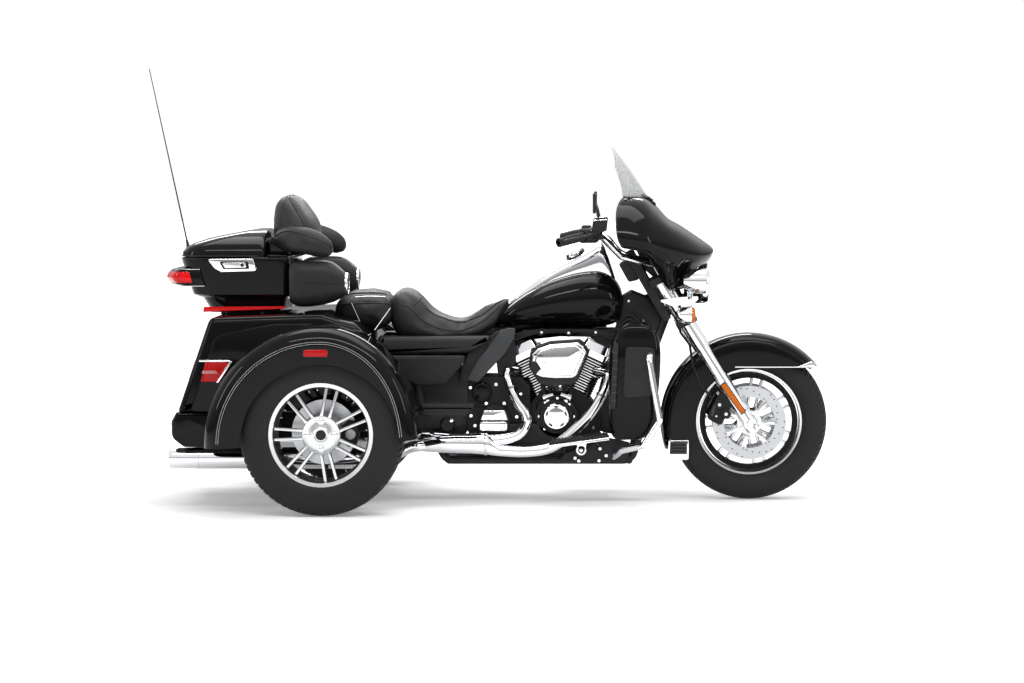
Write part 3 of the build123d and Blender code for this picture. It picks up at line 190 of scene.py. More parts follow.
class Graph:
    """A node tree and the nodes that are added to it."""

    def __init__(self, tree: bpy.types.NodeTree) -> None:
        """Empty a tree and work on it."""
        self.tree = tree
        tree.nodes.clear()

    def _put(self, socket: bpy.types.NodeSocket, value: Any) -> None:
        """Link a wrapped socket to a socket, or set a plain value on it.

        Args:
            socket: The socket that is fed.
            value: A wrapped socket or a plain value.
        """
        value = value.socket if isinstance(value, Sock) else value
        if isinstance(value, bpy.types.NodeSocket):
            self.tree.links.new(value, socket)
        else:
            socket.default_value = value

    def make(self, kind: str, settings: dict[str, Any], values: dict[Any, Any]) -> bpy.types.Node:
        """Add any node.

        Args:
            kind: The node's type.
            settings: Its properties, set first; "stops" sets a colour ramp's (place, grey) pairs.
            values: Its sockets' values or links, by name or number.

        Returns:
            The node.
        """
        made = self.tree.nodes.new(kind)
        for key, value in settings.items():
            if key == "stops":
                while len(made.color_ramp.elements) < len(value):
                    made.color_ramp.elements.new(0.5)
                for element, (place, grey) in zip(made.color_ramp.elements, value):
                    element.position = place
                    element.color = (grey, grey, grey, 1.0)
            else:
                setattr(made, key, value)
        for key, value in values.items():
            self._put(made.inputs[key], value)
        return made

    def node(self, kind: str, settings: dict[str, Any], values: dict[Any, Any], out: Any = 0) -> Sock:
        """Add any node and wrap one of its outputs, by name or number."""
        return Sock(self, self.make(kind, settings, values).outputs[out])

    def outputs(self, kind: str, values: dict[Any, Any], *names: str) -> list[Sock]:
        """Add a node without settings and wrap several of its outputs."""
        made = self.make(kind, {}, values)
        return [Sock(self, made.outputs[name]) for name in names]

    def rays(self) -> list[Sock]:
        """Give 1 for camera rays, mirror rays and rays through glass, in this order."""
        return self.outputs("ShaderNodeLightPath", {}, "Is Camera Ray", "Is Glossy Ray", "Is Transmission Ray")

    def between(self, value: Sock, low: float, high: float, start: float, end: float) -> Sock:
        """Map a value from one range to another, and clamp it."""
        values = {"Value": value, "From Min": low, "From Max": high, "To Min": start, "To Max": end}
        return self.node("ShaderNodeMapRange", {}, values)

    def place(self) -> Sock:
        """Give the place on the object, in metres."""
        return self.node("ShaderNodeTexCoord", {}, {}, "Object")

    def axes(self) -> list[Sock]:
        """Give the place's x, y and z."""
        return self.outputs("ShaderNodeSeparateXYZ", {"Vector": self.place()}, "X", "Y", "Z")

    def noise(self, scale: float, detail: float = 3.0, rough: float = 0.5, stretch: Point = (1, 1, 1)) -> Sock:
        """Give noise from 0 to 1, at a scale per metre that may be stretched.

        Args:
            scale: Its grains per metre.
            detail: Its octaves.
            rough: How rough its octaves are.
            stretch: How much it is stretched along each axis.

        Returns:
            The noise.
        """
        vector = self.node("ShaderNodeMapping", {}, {"Vector": self.place(), "Scale": stretch}, 0)
        values = {"Vector": vector, "Scale": scale, "Detail": detail, "Roughness": rough}
        return self.node("ShaderNodeTexNoise", {"normalize": True}, values, 0)

    def cells(self, scale: float, feature: str = "F1") -> Sock:
        """Give the distance in a pattern of cells."""
        values = {"Vector": self.place(), "Scale": scale}
        return self.node("ShaderNodeTexVoronoi", {"feature": feature}, values)

    def mix(self, mask: Any, first: Sequence[float], second: Sequence[float]) -> Sock:
        """Mix two colours by a mask.

        Args:
            mask: The share of the second colour.
            first: The first colour.
            second: The second colour.

        Returns:
            The mixed colour.
        """
        settings = {"data_type": "RGBA", "clamp_factor": True}
        values = {0: mask, 6: (*first, 1.0), 7: (*second, 1.0)}
        return self.node("ShaderNodeMix", settings, values, 2)


class Surface(Graph):
    """A material's node tree with one Principled shader."""

    def __init__(self, name: str) -> None:
        """Make an empty material with a shader and an output.

        Args:
            name: Its name.
        """
        self.material = bpy.data.materials.new(name)
        self.material.use_nodes = True
        super().__init__(self.material.node_tree)
        self.shader = self.make("ShaderNodeBsdfPrincipled", {}, {})
        self.make("ShaderNodeOutputMaterial", {}, {"Surface": self.shader.outputs[0]})

    def set(self, **values: Any) -> None:
        """Set the shader's sockets, written with _ for a space."""
        for key, value in values.items():
            self._put(self.shader.inputs[key.replace("_", " ")], value)

    def bump(self, height: Sock, strength: float, depth: float) -> None:
        """Drive the shader's normal with a height, in metres of depth."""
        values = {"Height": height, "Strength": strength, "Distance": depth}
        self.set(Normal=self.node("ShaderNodeBump", {}, values))


# ---------------------------------------------------------------- finishes
@dataclass(frozen=True)
class Finish:
    """A named surface finish."""

    name: str = "finish"

    def build(self) -> bpy.types.Material:
        """Build the finish once and give its material.

        Returns:
            The material.
        """
        known = bpy.data.materials.get(self.name)
        if known is not None:
            return known
        graph = Surface(self.name)
        self.paint(graph)
        return graph.material

    def paint(self, graph: Surface) -> None:
        """Set up the graph of this finish."""
        raise NotImplementedError


@dataclass(frozen=True)
class GlossPaint(Finish):
    """Deep black paint under clear lacquer, with faint orange peel."""

    color: Point = (0.003, 0.003, 0.0034)
    ior: float = 1.24

    def paint(self, graph: Surface) -> None:
        """Set up the graph of this finish.

        Args:
            graph: The finish's shader graph.
        """
        peel = graph.noise(420.0, 2.0)
        haze = graph.noise(9.0, 3.0)
        lighter = tuple(c * 1.8 for c in self.color)
        graph.set(Base_Color=graph.mix(haze, self.color, lighter), Roughness=haze * 0.05 + 0.05, IOR=self.ior)
        graph.bump(peel, 0.05, 0.0004)


@dataclass(frozen=True)
class Chrome(Finish):
    """Polished chrome with a trace of haze."""

    tint: Point = (0.83, 0.84, 0.86)
    rough: float = 0.035

    def paint(self, graph: Surface) -> None:
        """Set up the graph of this finish.

        Args:
            graph: The finish's shader graph.
        """
        haze = graph.noise(14.0, 4.0, 0.6)
        darker = tuple(c * 0.93 for c in self.tint)
        graph.set(Base_Color=graph.mix(haze, self.tint, darker), Metallic=1.0,
                  Roughness=haze * 0.05 + self.rough)
        graph.bump(graph.noise(60.0, 2.0), 0.04, 0.0006)


@dataclass(frozen=True)
class Metal(Finish):
    """Machined or cast bare metal, brushed along one direction."""

    tint: Point = (0.62, 0.63, 0.65)
    rough: float = 0.28
    brush: Point = (1.0, 1.0, 12.0)

    def paint(self, graph: Surface) -> None:
        """Set up the graph of this finish.

        Args:
            graph: The finish's shader graph.
        """
        lines = graph.noise(160.0, 4.0, 0.6, self.brush)
        darker = tuple(c * 0.78 for c in self.tint)
        graph.set(Base_Color=graph.mix(lines, darker, self.tint), Metallic=1.0,
                  Roughness=lines * 0.16 + self.rough - 0.08)
        graph.bump(lines, 0.12, 0.0004)


@dataclass(frozen=True)
class Coating(Finish):
    """Powder-coated or wrinkle-coated black metal."""

    color: Point = (0.011, 0.011, 0.012)
    rough: float = 0.42
    grain: float = 900.0
    depth: float = 0.0003

    def paint(self, graph: Surface) -> None:
        """Set up the graph of this finish.

        Args:
            graph: The finish's shader graph.
        """
        speck = graph.noise(self.grain, 3.0, 0.6)
        wear = graph.noise(22.0, 4.0, 0.65)
        lighter = tuple(c * 1.9 + 0.002 for c in self.color)
        graph.set(Base_Color=graph.mix(wear, self.color, lighter),
                  Roughness=speck * 0.12 + wear * 0.1 + self.rough - 0.1, IOR=1.3)
        graph.bump(speck, 0.35, self.depth)


@dataclass(frozen=True)
class Moulded(Finish):
    """Moulded plastic or rubber with a fine pebble grain."""

    color: Point = (0.014, 0.014, 0.015)
    rough: float = 0.5
    grain: float = 700.0

    def paint(self, graph: Surface) -> None:
        """Set up the graph of this finish.

        Args:
            graph: The finish's shader graph.
        """
        pebble = graph.cells(self.grain)
        cloud = graph.noise(16.0, 3.0)
        lighter = tuple(c * 1.6 + 0.002 for c in self.color)
        graph.set(Base_Color=graph.mix(cloud, self.color, lighter),
                  Roughness=pebble * 0.12 + cloud * 0.08 + self.rough - 0.1, IOR=1.32)
        graph.bump(pebble, 0.3, 0.0003)


@dataclass(frozen=True)
class Leather(Finish):
    """Black upholstery leather with a pebbled grain and soft creases."""

    color: Point = (0.01, 0.01, 0.0105)

    def paint(self, graph: Surface) -> None:
        """Set up the graph of this finish.

        Args:
            graph: The finish's shader graph.
        """
        grain = graph.cells(520.0)
        fine = graph.cells(1150.0)
        crease = graph.noise(34.0, 5.0, 0.62, (1.0, 1.6, 1.0))
        cloud = graph.noise(7.0, 3.0)
        height = grain * 0.6 + fine * 0.3 + crease * 0.9
        graph.set(Base_Color=graph.mix(cloud * 0.6 + grain * 0.4, self.color, (0.021, 0.021, 0.022)),
                  Roughness=grain * 0.14 + cloud * 0.12 + 0.3, IOR=1.33)
        graph.bump(height, 0.4, 0.0007)


@dataclass(frozen=True)
class Lens(Finish):
    """A coloured lamp lens with moulded flutes, painted darker in their troughs as shade."""

    color: Point = (0.8, 0.002, 0.004)
    flutes: float = 0.006
    along: int = 1

    def paint(self, graph: Surface) -> None:
        """Set up the graph of this finish.

        Args:
            graph: The finish's shader graph.
        """
        axis = graph.axes()[self.along]
        flute = (axis * (2 * math.pi / self.flutes)).sine() * 0.5 + 0.5
        # The flutes' troughs are painted darker: shade that follows the bump.
        trough_shade = tuple(c * 0.55 for c in self.color)
        graph.set(Base_Color=graph.mix(flute, trough_shade, self.color), Roughness=flute * 0.06 + 0.06, IOR=1.32)
        graph.bump(flute, 0.15, 0.001)


@dataclass(frozen=True)
class ClearSheet(Finish):
    """Clear moulded sheet, darker and less see-through towards its lower edge."""

    tint: Point = (0.42, 0.43, 0.44)
    low: float = 1.23
    high: float = 1.45

    def paint(self, graph: Surface) -> None:
        """Set up the graph of this finish.

        Args:
            graph: The finish's shader graph.
        """
        height = (graph.axes()[2] - self.low) * (1.0 / (self.high - self.low))
        cloud = graph.noise(5.0, 2.0)
        alpha = (1.0 - height) * 0.06 + cloud * 0.03 + 0.24
        graph.set(Base_Color=graph.mix(height, (0.36, 0.37, 0.38), self.tint), Roughness=cloud * 0.03 + 0.02,
                  Alpha=alpha)
        graph.set(IOR=1.45)


@dataclass(frozen=True)
class Glass(Finish):
    """Clear lamp glass."""

    alpha: float = 0.22

    def paint(self, graph: Surface) -> None:
        """Set up the graph of this finish."""
        cloud = graph.noise(30.0, 2.0)
        graph.set(Base_Color=(0.9, 0.93, 0.95, 1.0), Roughness=cloud * 0.02 + 0.01,
                  Alpha=cloud * 0.05 + self.alpha, IOR=1.5)


@dataclass(frozen=True)
class TyreRubber(Finish):
    """Tyre rubber, dusted and lightly scuffed."""

    color: Point = (0.0075, 0.0075, 0.0078)

    def paint(self, graph: Surface) -> None:
        """Set up the graph of this finish.

        Args:
            graph: The finish's shader graph.
        """
        dust = graph.noise(28.0, 5.0, 0.6)
        fine = graph.noise(600.0, 3.0)
        graph.set(Base_Color=graph.mix(dust, self.color, (0.013, 0.013, 0.0135)),
                  Roughness=dust * 0.2 + fine * 0.1 + 0.48, IOR=1.34)
        graph.bump(fine, 0.25, 0.0004)


PAINT = GlossPaint("black lacquer")
STRIPE = Moulded("pinstripe grey", (0.3, 0.3, 0.31), 0.35)
CHROME = Chrome("polished chrome")
# A darker copy of polished chrome: painted shade on the headers' rings at the heads.
CHROME_PAINTED_SHADE = Chrome("chrome with painted shade", (0.35, 0.35, 0.36), 0.08)
MACHINED = Metal("machined alloy", (0.74, 0.75, 0.76), 0.22)
CAST = Metal("cast alloy", (0.45, 0.46, 0.47), 0.42, (1.0, 1.0, 1.0))
DISC = Metal("disc steel", (0.6, 0.61, 0.63), 0.3, (6.0, 1.0, 1.0))
SATIN = Coating("satin black coat")
WRINKLE = Coating("wrinkle black coat", (0.008, 0.008, 0.0085), 0.55, 1400.0, 0.0005)
PLASTIC = Moulded("grained black plastic")
GREY_PLASTIC = Moulded("dark grey plastic", (0.035, 0.036, 0.038), 0.45)
RUBBER = Moulded("black rubber", (0.01, 0.01, 0.01), 0.62, 500.0)
LEATHER = Leather("black leather")
TYRE = TyreRubber("tyre rubber")
RED = Lens("red lens")
AMBER = Lens("amber lens", (0.74, 0.17, 0.004), 0.006, 2)
SHIELD = ClearSheet("windshield sheet")
GLASS = Glass("lamp glass")
# Near-black coat: the real black of gauge faces, speaker faces and the antenna's whip, and painted shade in
# drilled holes, slots, gaps, a recess, the fairing's vent and the mufflers' mouths; also a few small dark lines
# and spots.
BLACK_AND_SHADE = Coating("black trim and painted shade", (0.004, 0.004, 0.004), 0.8)


# ---------------------------------------------------------------- meshes
def spline(points: Sequence[Sequence[float]], steps: int = 8, closed: bool = False) -> list[Vector]:
    """Run a smooth curve through points.

    Args:
        points: The points to pass through, two or three numbers each.
        steps: How many parts each span is divided into.
        closed: Whether the curve closes on itself.

    Returns:
        Points along the curve.
    """
    pts = [Vector((*p, 0.0)) if len(p) == 2 else Vector(p) for p in points]
    count = len(pts)
    spans = count if closed else count - 1
    out: list[Vector] = []
    for i in range(spans):
        p1, p2 = pts[i], pts[(i + 1) % count]
        p0 = pts[(i - 1) % count] if closed or i > 0 else p1 + (p1 - p2)
        p3 = pts[(i + 2) % count] if closed or i + 2 < count else p2 + (p2 - p1)
        d1 = max((p1 - p0).length, 1e-9) ** 0.5
        d2 = max((p2 - p1).length, 1e-9) ** 0.5
        d3 = max((p3 - p2).length, 1e-9) ** 0.5
        m1 = (p1 - p0) / d1 - (p2 - p0) / (d1 + d2) + (p2 - p1) / d2
        m2 = (p2 - p1) / d2 - (p3 - p1) / (d2 + d3) + (p3 - p2) / d3
        for k in range(steps):
            t = k / steps
            a, b = t * t, t * t * t
            out.append(
                p1 * (2 * b - 3 * a + 1) + m1 * d2 * (b - 2 * a + t) + p2 * (3 * a - 2 * b) + m2 * d2 * (b - a))
    if not closed:
        out.append(pts[-1])
    return out


def rounded(outline: Sequence[Pair], radius: float | Sequence[float], steps: int = 5) -> list[Pair]:
    """Round the corners of a closed outline.

    Args:
        outline: The corners in order.
        radius: One radius, or one for each corner.
        steps: How many parts each rounded corner is divided into.

    Returns:
        The rounded outline.
    """
    count = len(outline)
    out: list[Pair] = []
    for i in range(count):
        size = radius if isinstance(radius, (int, float)) else radius[i]
        here = Vector(outline[i])
        back, ahead = Vector(outline[i - 1]) - here, Vector(outline[(i + 1) % count]) - here
        half = back.angle(ahead, math.pi) / 2
        if size <= 0 or half > math.radians(89):
            out.append(tuple(here))
            continue
        reach = min(size / math.tan(half), 0.48 * back.length, 0.48 * ahead.length)
        start, end = here + back.normalized() * reach, here + ahead.normalized() * reach
        for k in range(steps + 1):
            t = k / steps
            out.append(tuple(start * (1 - t) ** 2 + here * 2 * t * (1 - t) + end * t * t))
    return out


def button(radius: float, edge: float, top: float, height: float) -> list[Pair]:
    """Give the lathe profile of a round button with a chamfered rim.

    Args:
        radius: The button's radius.
        edge: The height at which its chamfer starts.
        top: The radius of its flat top.
        height: Its height.

    Returns:
        Pairs of a radius and a height.
    """
    return [(0.0, 0.0), (radius, 0.0), (radius, edge), (top, height), (0.0, height)]


def even(path: Sequence[Sequence[float]], gap: float) -> list[Vector]:
    """Place points at even steps along a path of straight runs.

    Args:
        path: The path's corners.
        gap: The wanted step.

    Returns:
        Points along the path.
    """
    pts = [Vector(p) for p in path]
    runs = [(b - a).length for a, b in zip(pts, pts[1:])]
    total = sum(runs)
    count = max(2, round(total / gap))
    out, done, index = [], 0.0, 0
    for k in range(count + 1):
        goal = total * k / count
        while index < len(runs) - 1 and done + runs[index] < goal:
            done += runs[index]
            index += 1
        share = (goal - done) / max(runs[index], 1e-9)
        out.append(pts[index].lerp(pts[index + 1], min(max(share, 0.0), 1.0)))
    return out


def repeat_tree() -> bpy.types.NodeTree:
    """Build, once, the Geometry Nodes tree that repeats one piece in a row or about an axis.

    Returns:
        The node tree.
    """
    known = bpy.data.node_groups.get("Repeat piece")
    if known is not None:
        return known
    tree = bpy.data.node_groups.new("Repeat piece", "GeometryNodeTree")
    kinds = {"Piece": "Object", "Count": "Int", "Step": "Vector", "Axis": "Vector", "Turn": "Float",
             "Origin": "Vector", "Finish": "Material"}
    for name, kind in kinds.items():
        tree.interface.new_socket(name, in_out="INPUT", socket_type="NodeSocket" + kind)
    tree.interface.new_socket("Geometry", in_out="OUTPUT", socket_type="NodeSocketGeometry")

    graph = Graph(tree)
    given = graph.make("NodeGroupInput", {}, {}).outputs
    index = graph.node("GeometryNodeInputIndex", {}, {})
    along = graph.node("ShaderNodeVectorMath", {"operation": "SCALE"}, {0: given["Step"], "Scale": index})
    place = graph.node("ShaderNodeVectorMath", {"operation": "ADD"}, {0: along, 1: given["Origin"]})
    angle = index * given["Turn"]
    turned = graph.node("FunctionNodeAxisAngleToRotation", {}, {"Axis": given["Axis"], "Angle": angle})
    points = graph.node("GeometryNodePoints", {}, {"Count": given["Count"], "Position": place})
    piece = graph.node("GeometryNodeObjectInfo", {}, {"Object": given["Piece"]}, "Geometry")
    copies = graph.node("GeometryNodeInstanceOnPoints", {},
                        {"Points": points, "Instance": piece, "Rotation": turned})
    real = graph.node("GeometryNodeRealizeInstances", {}, {"Geometry": copies})
    dressed = graph.node("GeometryNodeSetMaterial", {}, {"Geometry": real, "Material": given["Finish"]})
    graph.make("NodeGroupOutput", {}, {"Geometry": dressed})
    return tree


class Mesh:
    """A mesh under construction, made of added parts."""

    def __init__(self, name: str) -> None:
        """Start an empty mesh.

        Args:
            name: Its name.
        """
        self.name = name
        self.bm = bmesh.new()
        self.materials: list[bpy.types.Material] = []
        self.current = 0

    def use(self, finish: Finish) -> "Mesh":
        """Give the parts that follow a finish.

        Args:
            finish: The finish.

        Returns:
            This mesh.
        """
        material = finish.build()
        if material not in self.materials:
            self.materials.append(material)
        self.current = self.materials.index(material)
        return self

    def face(self, corners: Sequence[bmesh.types.BMVert]) -> None:
        """Add a face with the current finish, unless it has collapsed.

        Args:
            corners: The corners in order.
        """
        unique = list(dict.fromkeys(corners))
        if len(unique) < 3:
            return
        try:
            face = self.bm.faces.new(unique)
        except ValueError:
            return
        face.material_index = self.current
        face.smooth = True

    def rings(self, rings: Sequence[Sequence[Sequence[float]]], closed: bool = False,
              caps: bool = True) -> "Mesh":
        """Skin a row of rings that have as many points each.

        Args:
            rings: The rings, each closed on itself.
            closed: Whether the last ring joins the first.
            caps: Whether open ends are closed.

        Returns:
            This mesh.
        """
        rows = [[self.bm.verts.new(p) for p in ring] for ring in rings]
        count = len(rows[0])
        pairs = zip(rows, rows[1:] + rows[:1]) if closed else zip(rows, rows[1:])
        for one, two in pairs:
            for i in range(count):
                self.face([one[i], one[(i + 1) % count], two[(i + 1) % count], two[i]])
        if caps and not closed:
            self.face(list(reversed(rows[0])))
            self.face(rows[-1])
        return self

    def grid(self, rows: Sequence[Sequence[Sequence[float]]], around: bool = False) -> "Mesh":
        """Skin an open grid of points, closed around its columns if asked.

        Args:
            rows: The rows of points.
            around: Whether each row is a closed loop.

        Returns:
            This mesh.
        """
        made = [[self.bm.verts.new(p) for p in row] for row in rows]
        count = len(made[0])
        for one, two in zip(made, made[1:]):
            for i in range(count if around else count - 1):
                self.face([one[i], one[(i + 1) % count], two[(i + 1) % count], two[i]])
        return self

    def lathe(self, profile: Sequence[Pair], centre: Point, axis: Sequence[float], parts: int = 64) -> "Mesh":
        """Turn a closed outline of (radius, along) pairs about an axis.

        Args:
            profile: The outline; points at radius 0 become poles.
            centre: The axis' start, where along is 0.
            axis: The axis' direction.
            parts: How many parts the turn has.

        Returns:
            This mesh.
        """
        ahead = Vector(axis).normalized()
        side = ahead.orthogonal().normalized()
        up = ahead.cross(side)
        origin = Vector(centre)
        columns = []
        for k in range(parts):
            turn = 2 * math.pi * k / parts
            out = side * math.cos(turn) + up * math.sin(turn)
            columns.append([origin + ahead * along + out * radius for radius, along in profile])
        rows = []
        for index, (radius, along) in enumerate(profile):
            if radius < 1e-6:
                pole = self.bm.verts.new(origin + ahead * along)
                rows.append([pole] * parts)
            else:
                rows.append([self.bm.verts.new(column[index]) for column in columns])
        for one, two in zip(rows, rows[1:] + rows[:1]):
            for k in range(parts):
                nxt = (k + 1) % parts
                self.face([one[k], two[k], two[nxt], one[nxt]])
        return self

    def loft(self, rows: Sequence[Sequence[float]], power: float = 2.4, sides: int = 40, y: float = 0.0,
             axis: str = "X", steps: int = 5) -> "Mesh":
        """Skin rounded sections that follow one another smoothly.

        Args:
            rows: One section each: its place along the axis, its low and high limits, and its half width.
            power: How square the sections are; 2 is an ellipse.
            sides: How many points a section has.
            y: The middle plane's place.
            axis: X for upright sections, whose limits are heights, or Z for level ones, whose limits are in X.
            steps: How many parts lie between two given sections.

        Returns:
            This mesh.
        """
        ends = [Vector((a, b, c)) for a, b, c, _ in rows]
        widths = [Vector((a, d, 0.0)) for a, _, _, d in rows]
        rings = []
        for one, two in zip(spline(ends, steps), spline(widths, steps)):
            middle, half = (one.y + one.z) / 2, (one.z - one.y) / 2
            ring = []
            for k in range(sides):
                turn = 2 * math.pi * k / sides
                across = math.copysign(abs(math.cos(turn)) ** (2 / power), math.cos(turn)) * max(two.y, 0.001)
                along = math.copysign(abs(math.sin(turn)) ** (2 / power), math.sin(turn)) * max(half, 0.001)
                if axis == "X":
                    ring.append((one.x, y + across, middle + along))
                else:
                    ring.append((middle + along, y + across, one.x))
            rings.append(ring)
        return self.rings(rings)

    def tube(self, points: Sequence[Sequence[float]], radius: float | Sequence[float], sides: int = 16,
             smooth: int = 6, closed: bool = False, flat: float = 1.0) -> "Mesh":
        """Run a round tube along a smooth curve.

        Args:
            points: The points that the curve passes through.
            radius: One radius, or one for each point.
            sides: How many sides the tube has.
            smooth: How many parts each span has; 1 keeps straight runs.
            closed: Whether the tube closes on itself.
            flat: The section's second width over its first.

        Returns:
            This mesh.
        """
        path = spline(points, smooth, closed)
        radii = [radius] * len(points) if isinstance(radius, (int, float)) else list(radius)
        if closed:
            radii.append(radii[0])
        rings = []
        tangent = (path[1] - path[0]).normalized()
        side = Vector(UP).cross(tangent)
        side = side.normalized() if side.length > 1e-3 else Vector(AHEAD).cross(tangent).normalized()
        last = len(path) - 1
        for i, here in enumerate(path):
            if closed:
                new = (path[(i + 1) % len(path)] - path[i - 1]).normalized()
            else:
                new = (path[min(i + 1, last)] - path[max(i - 1, 0)]).normalized()
            side = (side - new * side.dot(new)).normalized()
            up = new.cross(side)
            place = i / smooth
            low = min(int(place), len(radii) - 2) if len(radii) > 1 else 0
            share = place - low
            size = radii[low] * (1 - share) + radii[min(low + 1, len(radii) - 1)] * share
            rings.append(
                [here + side * (size * math.cos(a)) + up * (size * flat * math.sin(a))
                 for a in (2 * math.pi * k / sides for k in range(sides))])
        return self.rings(rings, closed)

    def prism(self, outline: Sequence[Pair], low: float, high: float, plane: str = "XZ", bevel: float = 0.0,
              steps: int = 3) -> "Mesh":
        """Stand a flat outline between two planes, with rounded rims.

        Args:
            outline: The outline's corners, in the plane's two axes.
            low: The first plane's place along the third axis.
            high: The second plane's place.
            plane: XZ, XY or YZ.
            bevel: The rims' rounding.
            steps: How many parts the rounding has.

        Returns:
            This mesh.
        """
        count = len(outline)
        area = sum(outline[i][0] * outline[(i + 1) % count][1] - outline[(i + 1) % count][0] * outline[i][1]
                   for i in range(count))
        turn = 1.0 if area > 0 else -1.0
        inward = []
        for i in range(count):
            here = Vector(outline[i])
            back = (here - Vector(outline[i - 1])).normalized()
            ahead = (Vector(outline[(i + 1) % count]) - here).normalized()
            normal = Vector((-(back.y + ahead.y), back.x + ahead.x)) * turn
            length = max(normal.length, 0.3)
            inward.append(normal.normalized() * min(2.0 / length, 2.0) if normal.length > 1e-6
                          else Vector((0, 0)))
        levels = [(low, 0.0), (high, 0.0)]
        if bevel > 0:
            arcs = [math.pi / 2 * k / steps for k in range(steps + 1)]
            levels = [(low + bevel * (1 - math.cos(a)), bevel * (1 - math.sin(a))) for a in arcs]
            levels += [(high - (z - low), inset) for z, inset in reversed(levels)]
        rings = []
        for level, inset in levels:
            ring = []
            for i in range(count):
                u = outline[i][0] + inward[i].x * inset
                v = outline[i][1] + inward[i].y * inset
                ring.append({"XZ": (u, level, v), "XY": (u, v, level), "YZ": (level, u, v)}[plane])
            rings.append(ring)
        return self.rings(rings)

    def plate(self, outline: Sequence[Pair], corner: float | Sequence[float], low: float, high: float,
              bevel: float) -> "Mesh":
        """Add a plate seen from the side, with rounded corners and bevelled edges.

        Args:
            outline: Its corners in X and Z.
            corner: Their radius, or one for each.
            low: Its right-hand face's y.
            high: Its left-hand face's y.
            bevel: Its edges' rounding.

        Returns:
            This mesh.
        """
        return self.prism(rounded(outline, corner), low, high, "XZ", bevel)

    def plates(self, outline: Sequence[Pair], corner: float | Sequence[float], near: float, far: float,
               bevel: float) -> "Mesh":
        """Add one plate on each side, as plate does, between two distances from the middle plane.

        Args:
            outline: Their corners in X and Z.
            corner: Their radius, or one for each.
            near: Their inner faces' distance.
            far: Their outer faces' distance.
            bevel: Their edges' rounding.

        Returns:
            This mesh.
        """
        return self.plate(outline, corner, -far, -near, bevel).plate(outline, corner, near, far, bevel)

    def block(self, centre: Sequence[float], size: Sequence[float], bevel: float = 0.002,
              turn: Matrix | None = None, steps: int = 2) -> "Mesh":
        """Add a box with rounded edges, turned about its centre if asked.

        Args:
            centre: Its middle.
            size: Its length, width and height.
            bevel: Its edges' rounding.
            turn: Its turn about its middle.
            steps: How many parts each rounding has.

        Returns:
            This mesh.
        """
        made = bmesh.new()
        bmesh.ops.create_cube(made, size=1.0)
        bmesh.ops.scale(made, vec=Vector(size), verts=made.verts)
        if bevel > 0:
            bmesh.ops.bevel(made, geom=list(made.edges), offset=bevel, segments=steps, profile=0.5,
                            affect="EDGES")
        move = Matrix.Translation(Vector(centre)) @ (turn.to_4x4() if turn is not None else Matrix.Identity(4))
        bmesh.ops.transform(made, matrix=move, verts=made.verts)
        return self.absorb(made)

    def absorb(self, other: bmesh.types.BMesh) -> "Mesh":
        """Copy another mesh into this one, with the current finish.

        Args:
            other: The mesh that is copied.

        Returns:
            This mesh.
        """
        copies = {vert: self.bm.verts.new(vert.co) for vert in other.verts}
        for face in other.faces:
            self.face([copies[vert] for vert in face.verts])
        other.free()
        return self

    def repeat(self, source: "Mesh", count: int, step: Point = NO_MOVE, axis: Point = LEFT, turn: float = 0.0,
               origin: Point = NO_MOVE) -> "Mesh":
        """Add copies of another mesh in a row, or turned about an axis, by Geometry Nodes.

        Args:
            source: The mesh to copy, built about the origin.
            count: How many copies.
            step: The move from one copy to the next.
            axis: The axis that the copies turn about.
            turn: The turn from one copy to the next, in radians.
            origin: Where the first copy's origin goes.

        Returns:
            This mesh.
        """
        piece = source.use_current(self.materials[self.current]).object()
        host = bpy.data.objects.new("repeat_host", bpy.data.meshes.new("repeat_host"))
        bpy.context.scene.collection.objects.link(host)
        modifier = host.modifiers.new("Repeat", "NODES")
        tree = repeat_tree()
        values = {"Piece": piece, "Count": count, "Step": step, "Axis": axis, "Turn": turn, "Origin": origin,
                  "Finish": self.materials[self.current]}
        modifier.node_group = tree
        for item in tree.interface.items_tree:
            if item.item_type == "SOCKET" and item.in_out == "INPUT" and item.name in values:
                modifier[item.identifier] = values[item.name]
        bpy.context.view_layer.update()
        graph = bpy.context.evaluated_depsgraph_get()
        baked = bpy.data.meshes.new_from_object(host.evaluated_get(graph), depsgraph=graph)
        made = bmesh.new()
        made.from_mesh(baked)
        host.modifiers.remove(modifier)
        for spare in (host, piece):
            bpy.data.objects.remove(spare)
        bpy.data.meshes.remove(baked)
        return self.absorb(made)

    def use_current(self, material: bpy.types.Material) -> "Mesh":
        """Keep only one material on this mesh.

        Args:
            material: The material.

        Returns:
            This mesh.
        """
        self.materials = [material]
        for face in self.bm.faces:
            face.material_index = 0
        return self

    def carve(self, cutter: "Mesh") -> "Mesh":
        """Take another closed mesh out of this one.

        Args:
            cutter: The mesh to take away.

        Returns:
            This mesh.
        """
        body, tool = self.object(SMOOTH), cutter.object(SMOOTH)
        modifier = body.modifiers.new("Carve", "BOOLEAN")
        modifier.operation = "DIFFERENCE"
        modifier.object = tool
        modifier.solver = "EXACT"
        modifier.material_mode = "INDEX"
        bpy.context.view_layer.update()
        graph = bpy.context.evaluated_depsgraph_get()
        baked = bpy.data.meshes.new_from_object(body.evaluated_get(graph), depsgraph=graph)
        self.bm = bmesh.new()
        self.bm.from_mesh(baked)
        for face in self.bm.faces:
            face.smooth = True
            face.material_index = min(face.material_index, len(self.materials) - 1)
        for spare in (body, tool):
            bpy.data.objects.remove(spare)
        bpy.data.meshes.remove(baked)
        return self

    def mirrored(self) -> "Mesh":
        """Add the mirror image of everything in the middle plane.

        Returns:
            This mesh.
        """
        copies = {vert: self.bm.verts.new((vert.co.x, -vert.co.y, vert.co.z)) for vert in list(self.bm.verts)}
        for face in list(self.bm.faces):
            new = self.bm.faces.new([copies[vert] for vert in reversed(face.verts)])
            new.material_index = face.material_index
            new.smooth = True
        return self

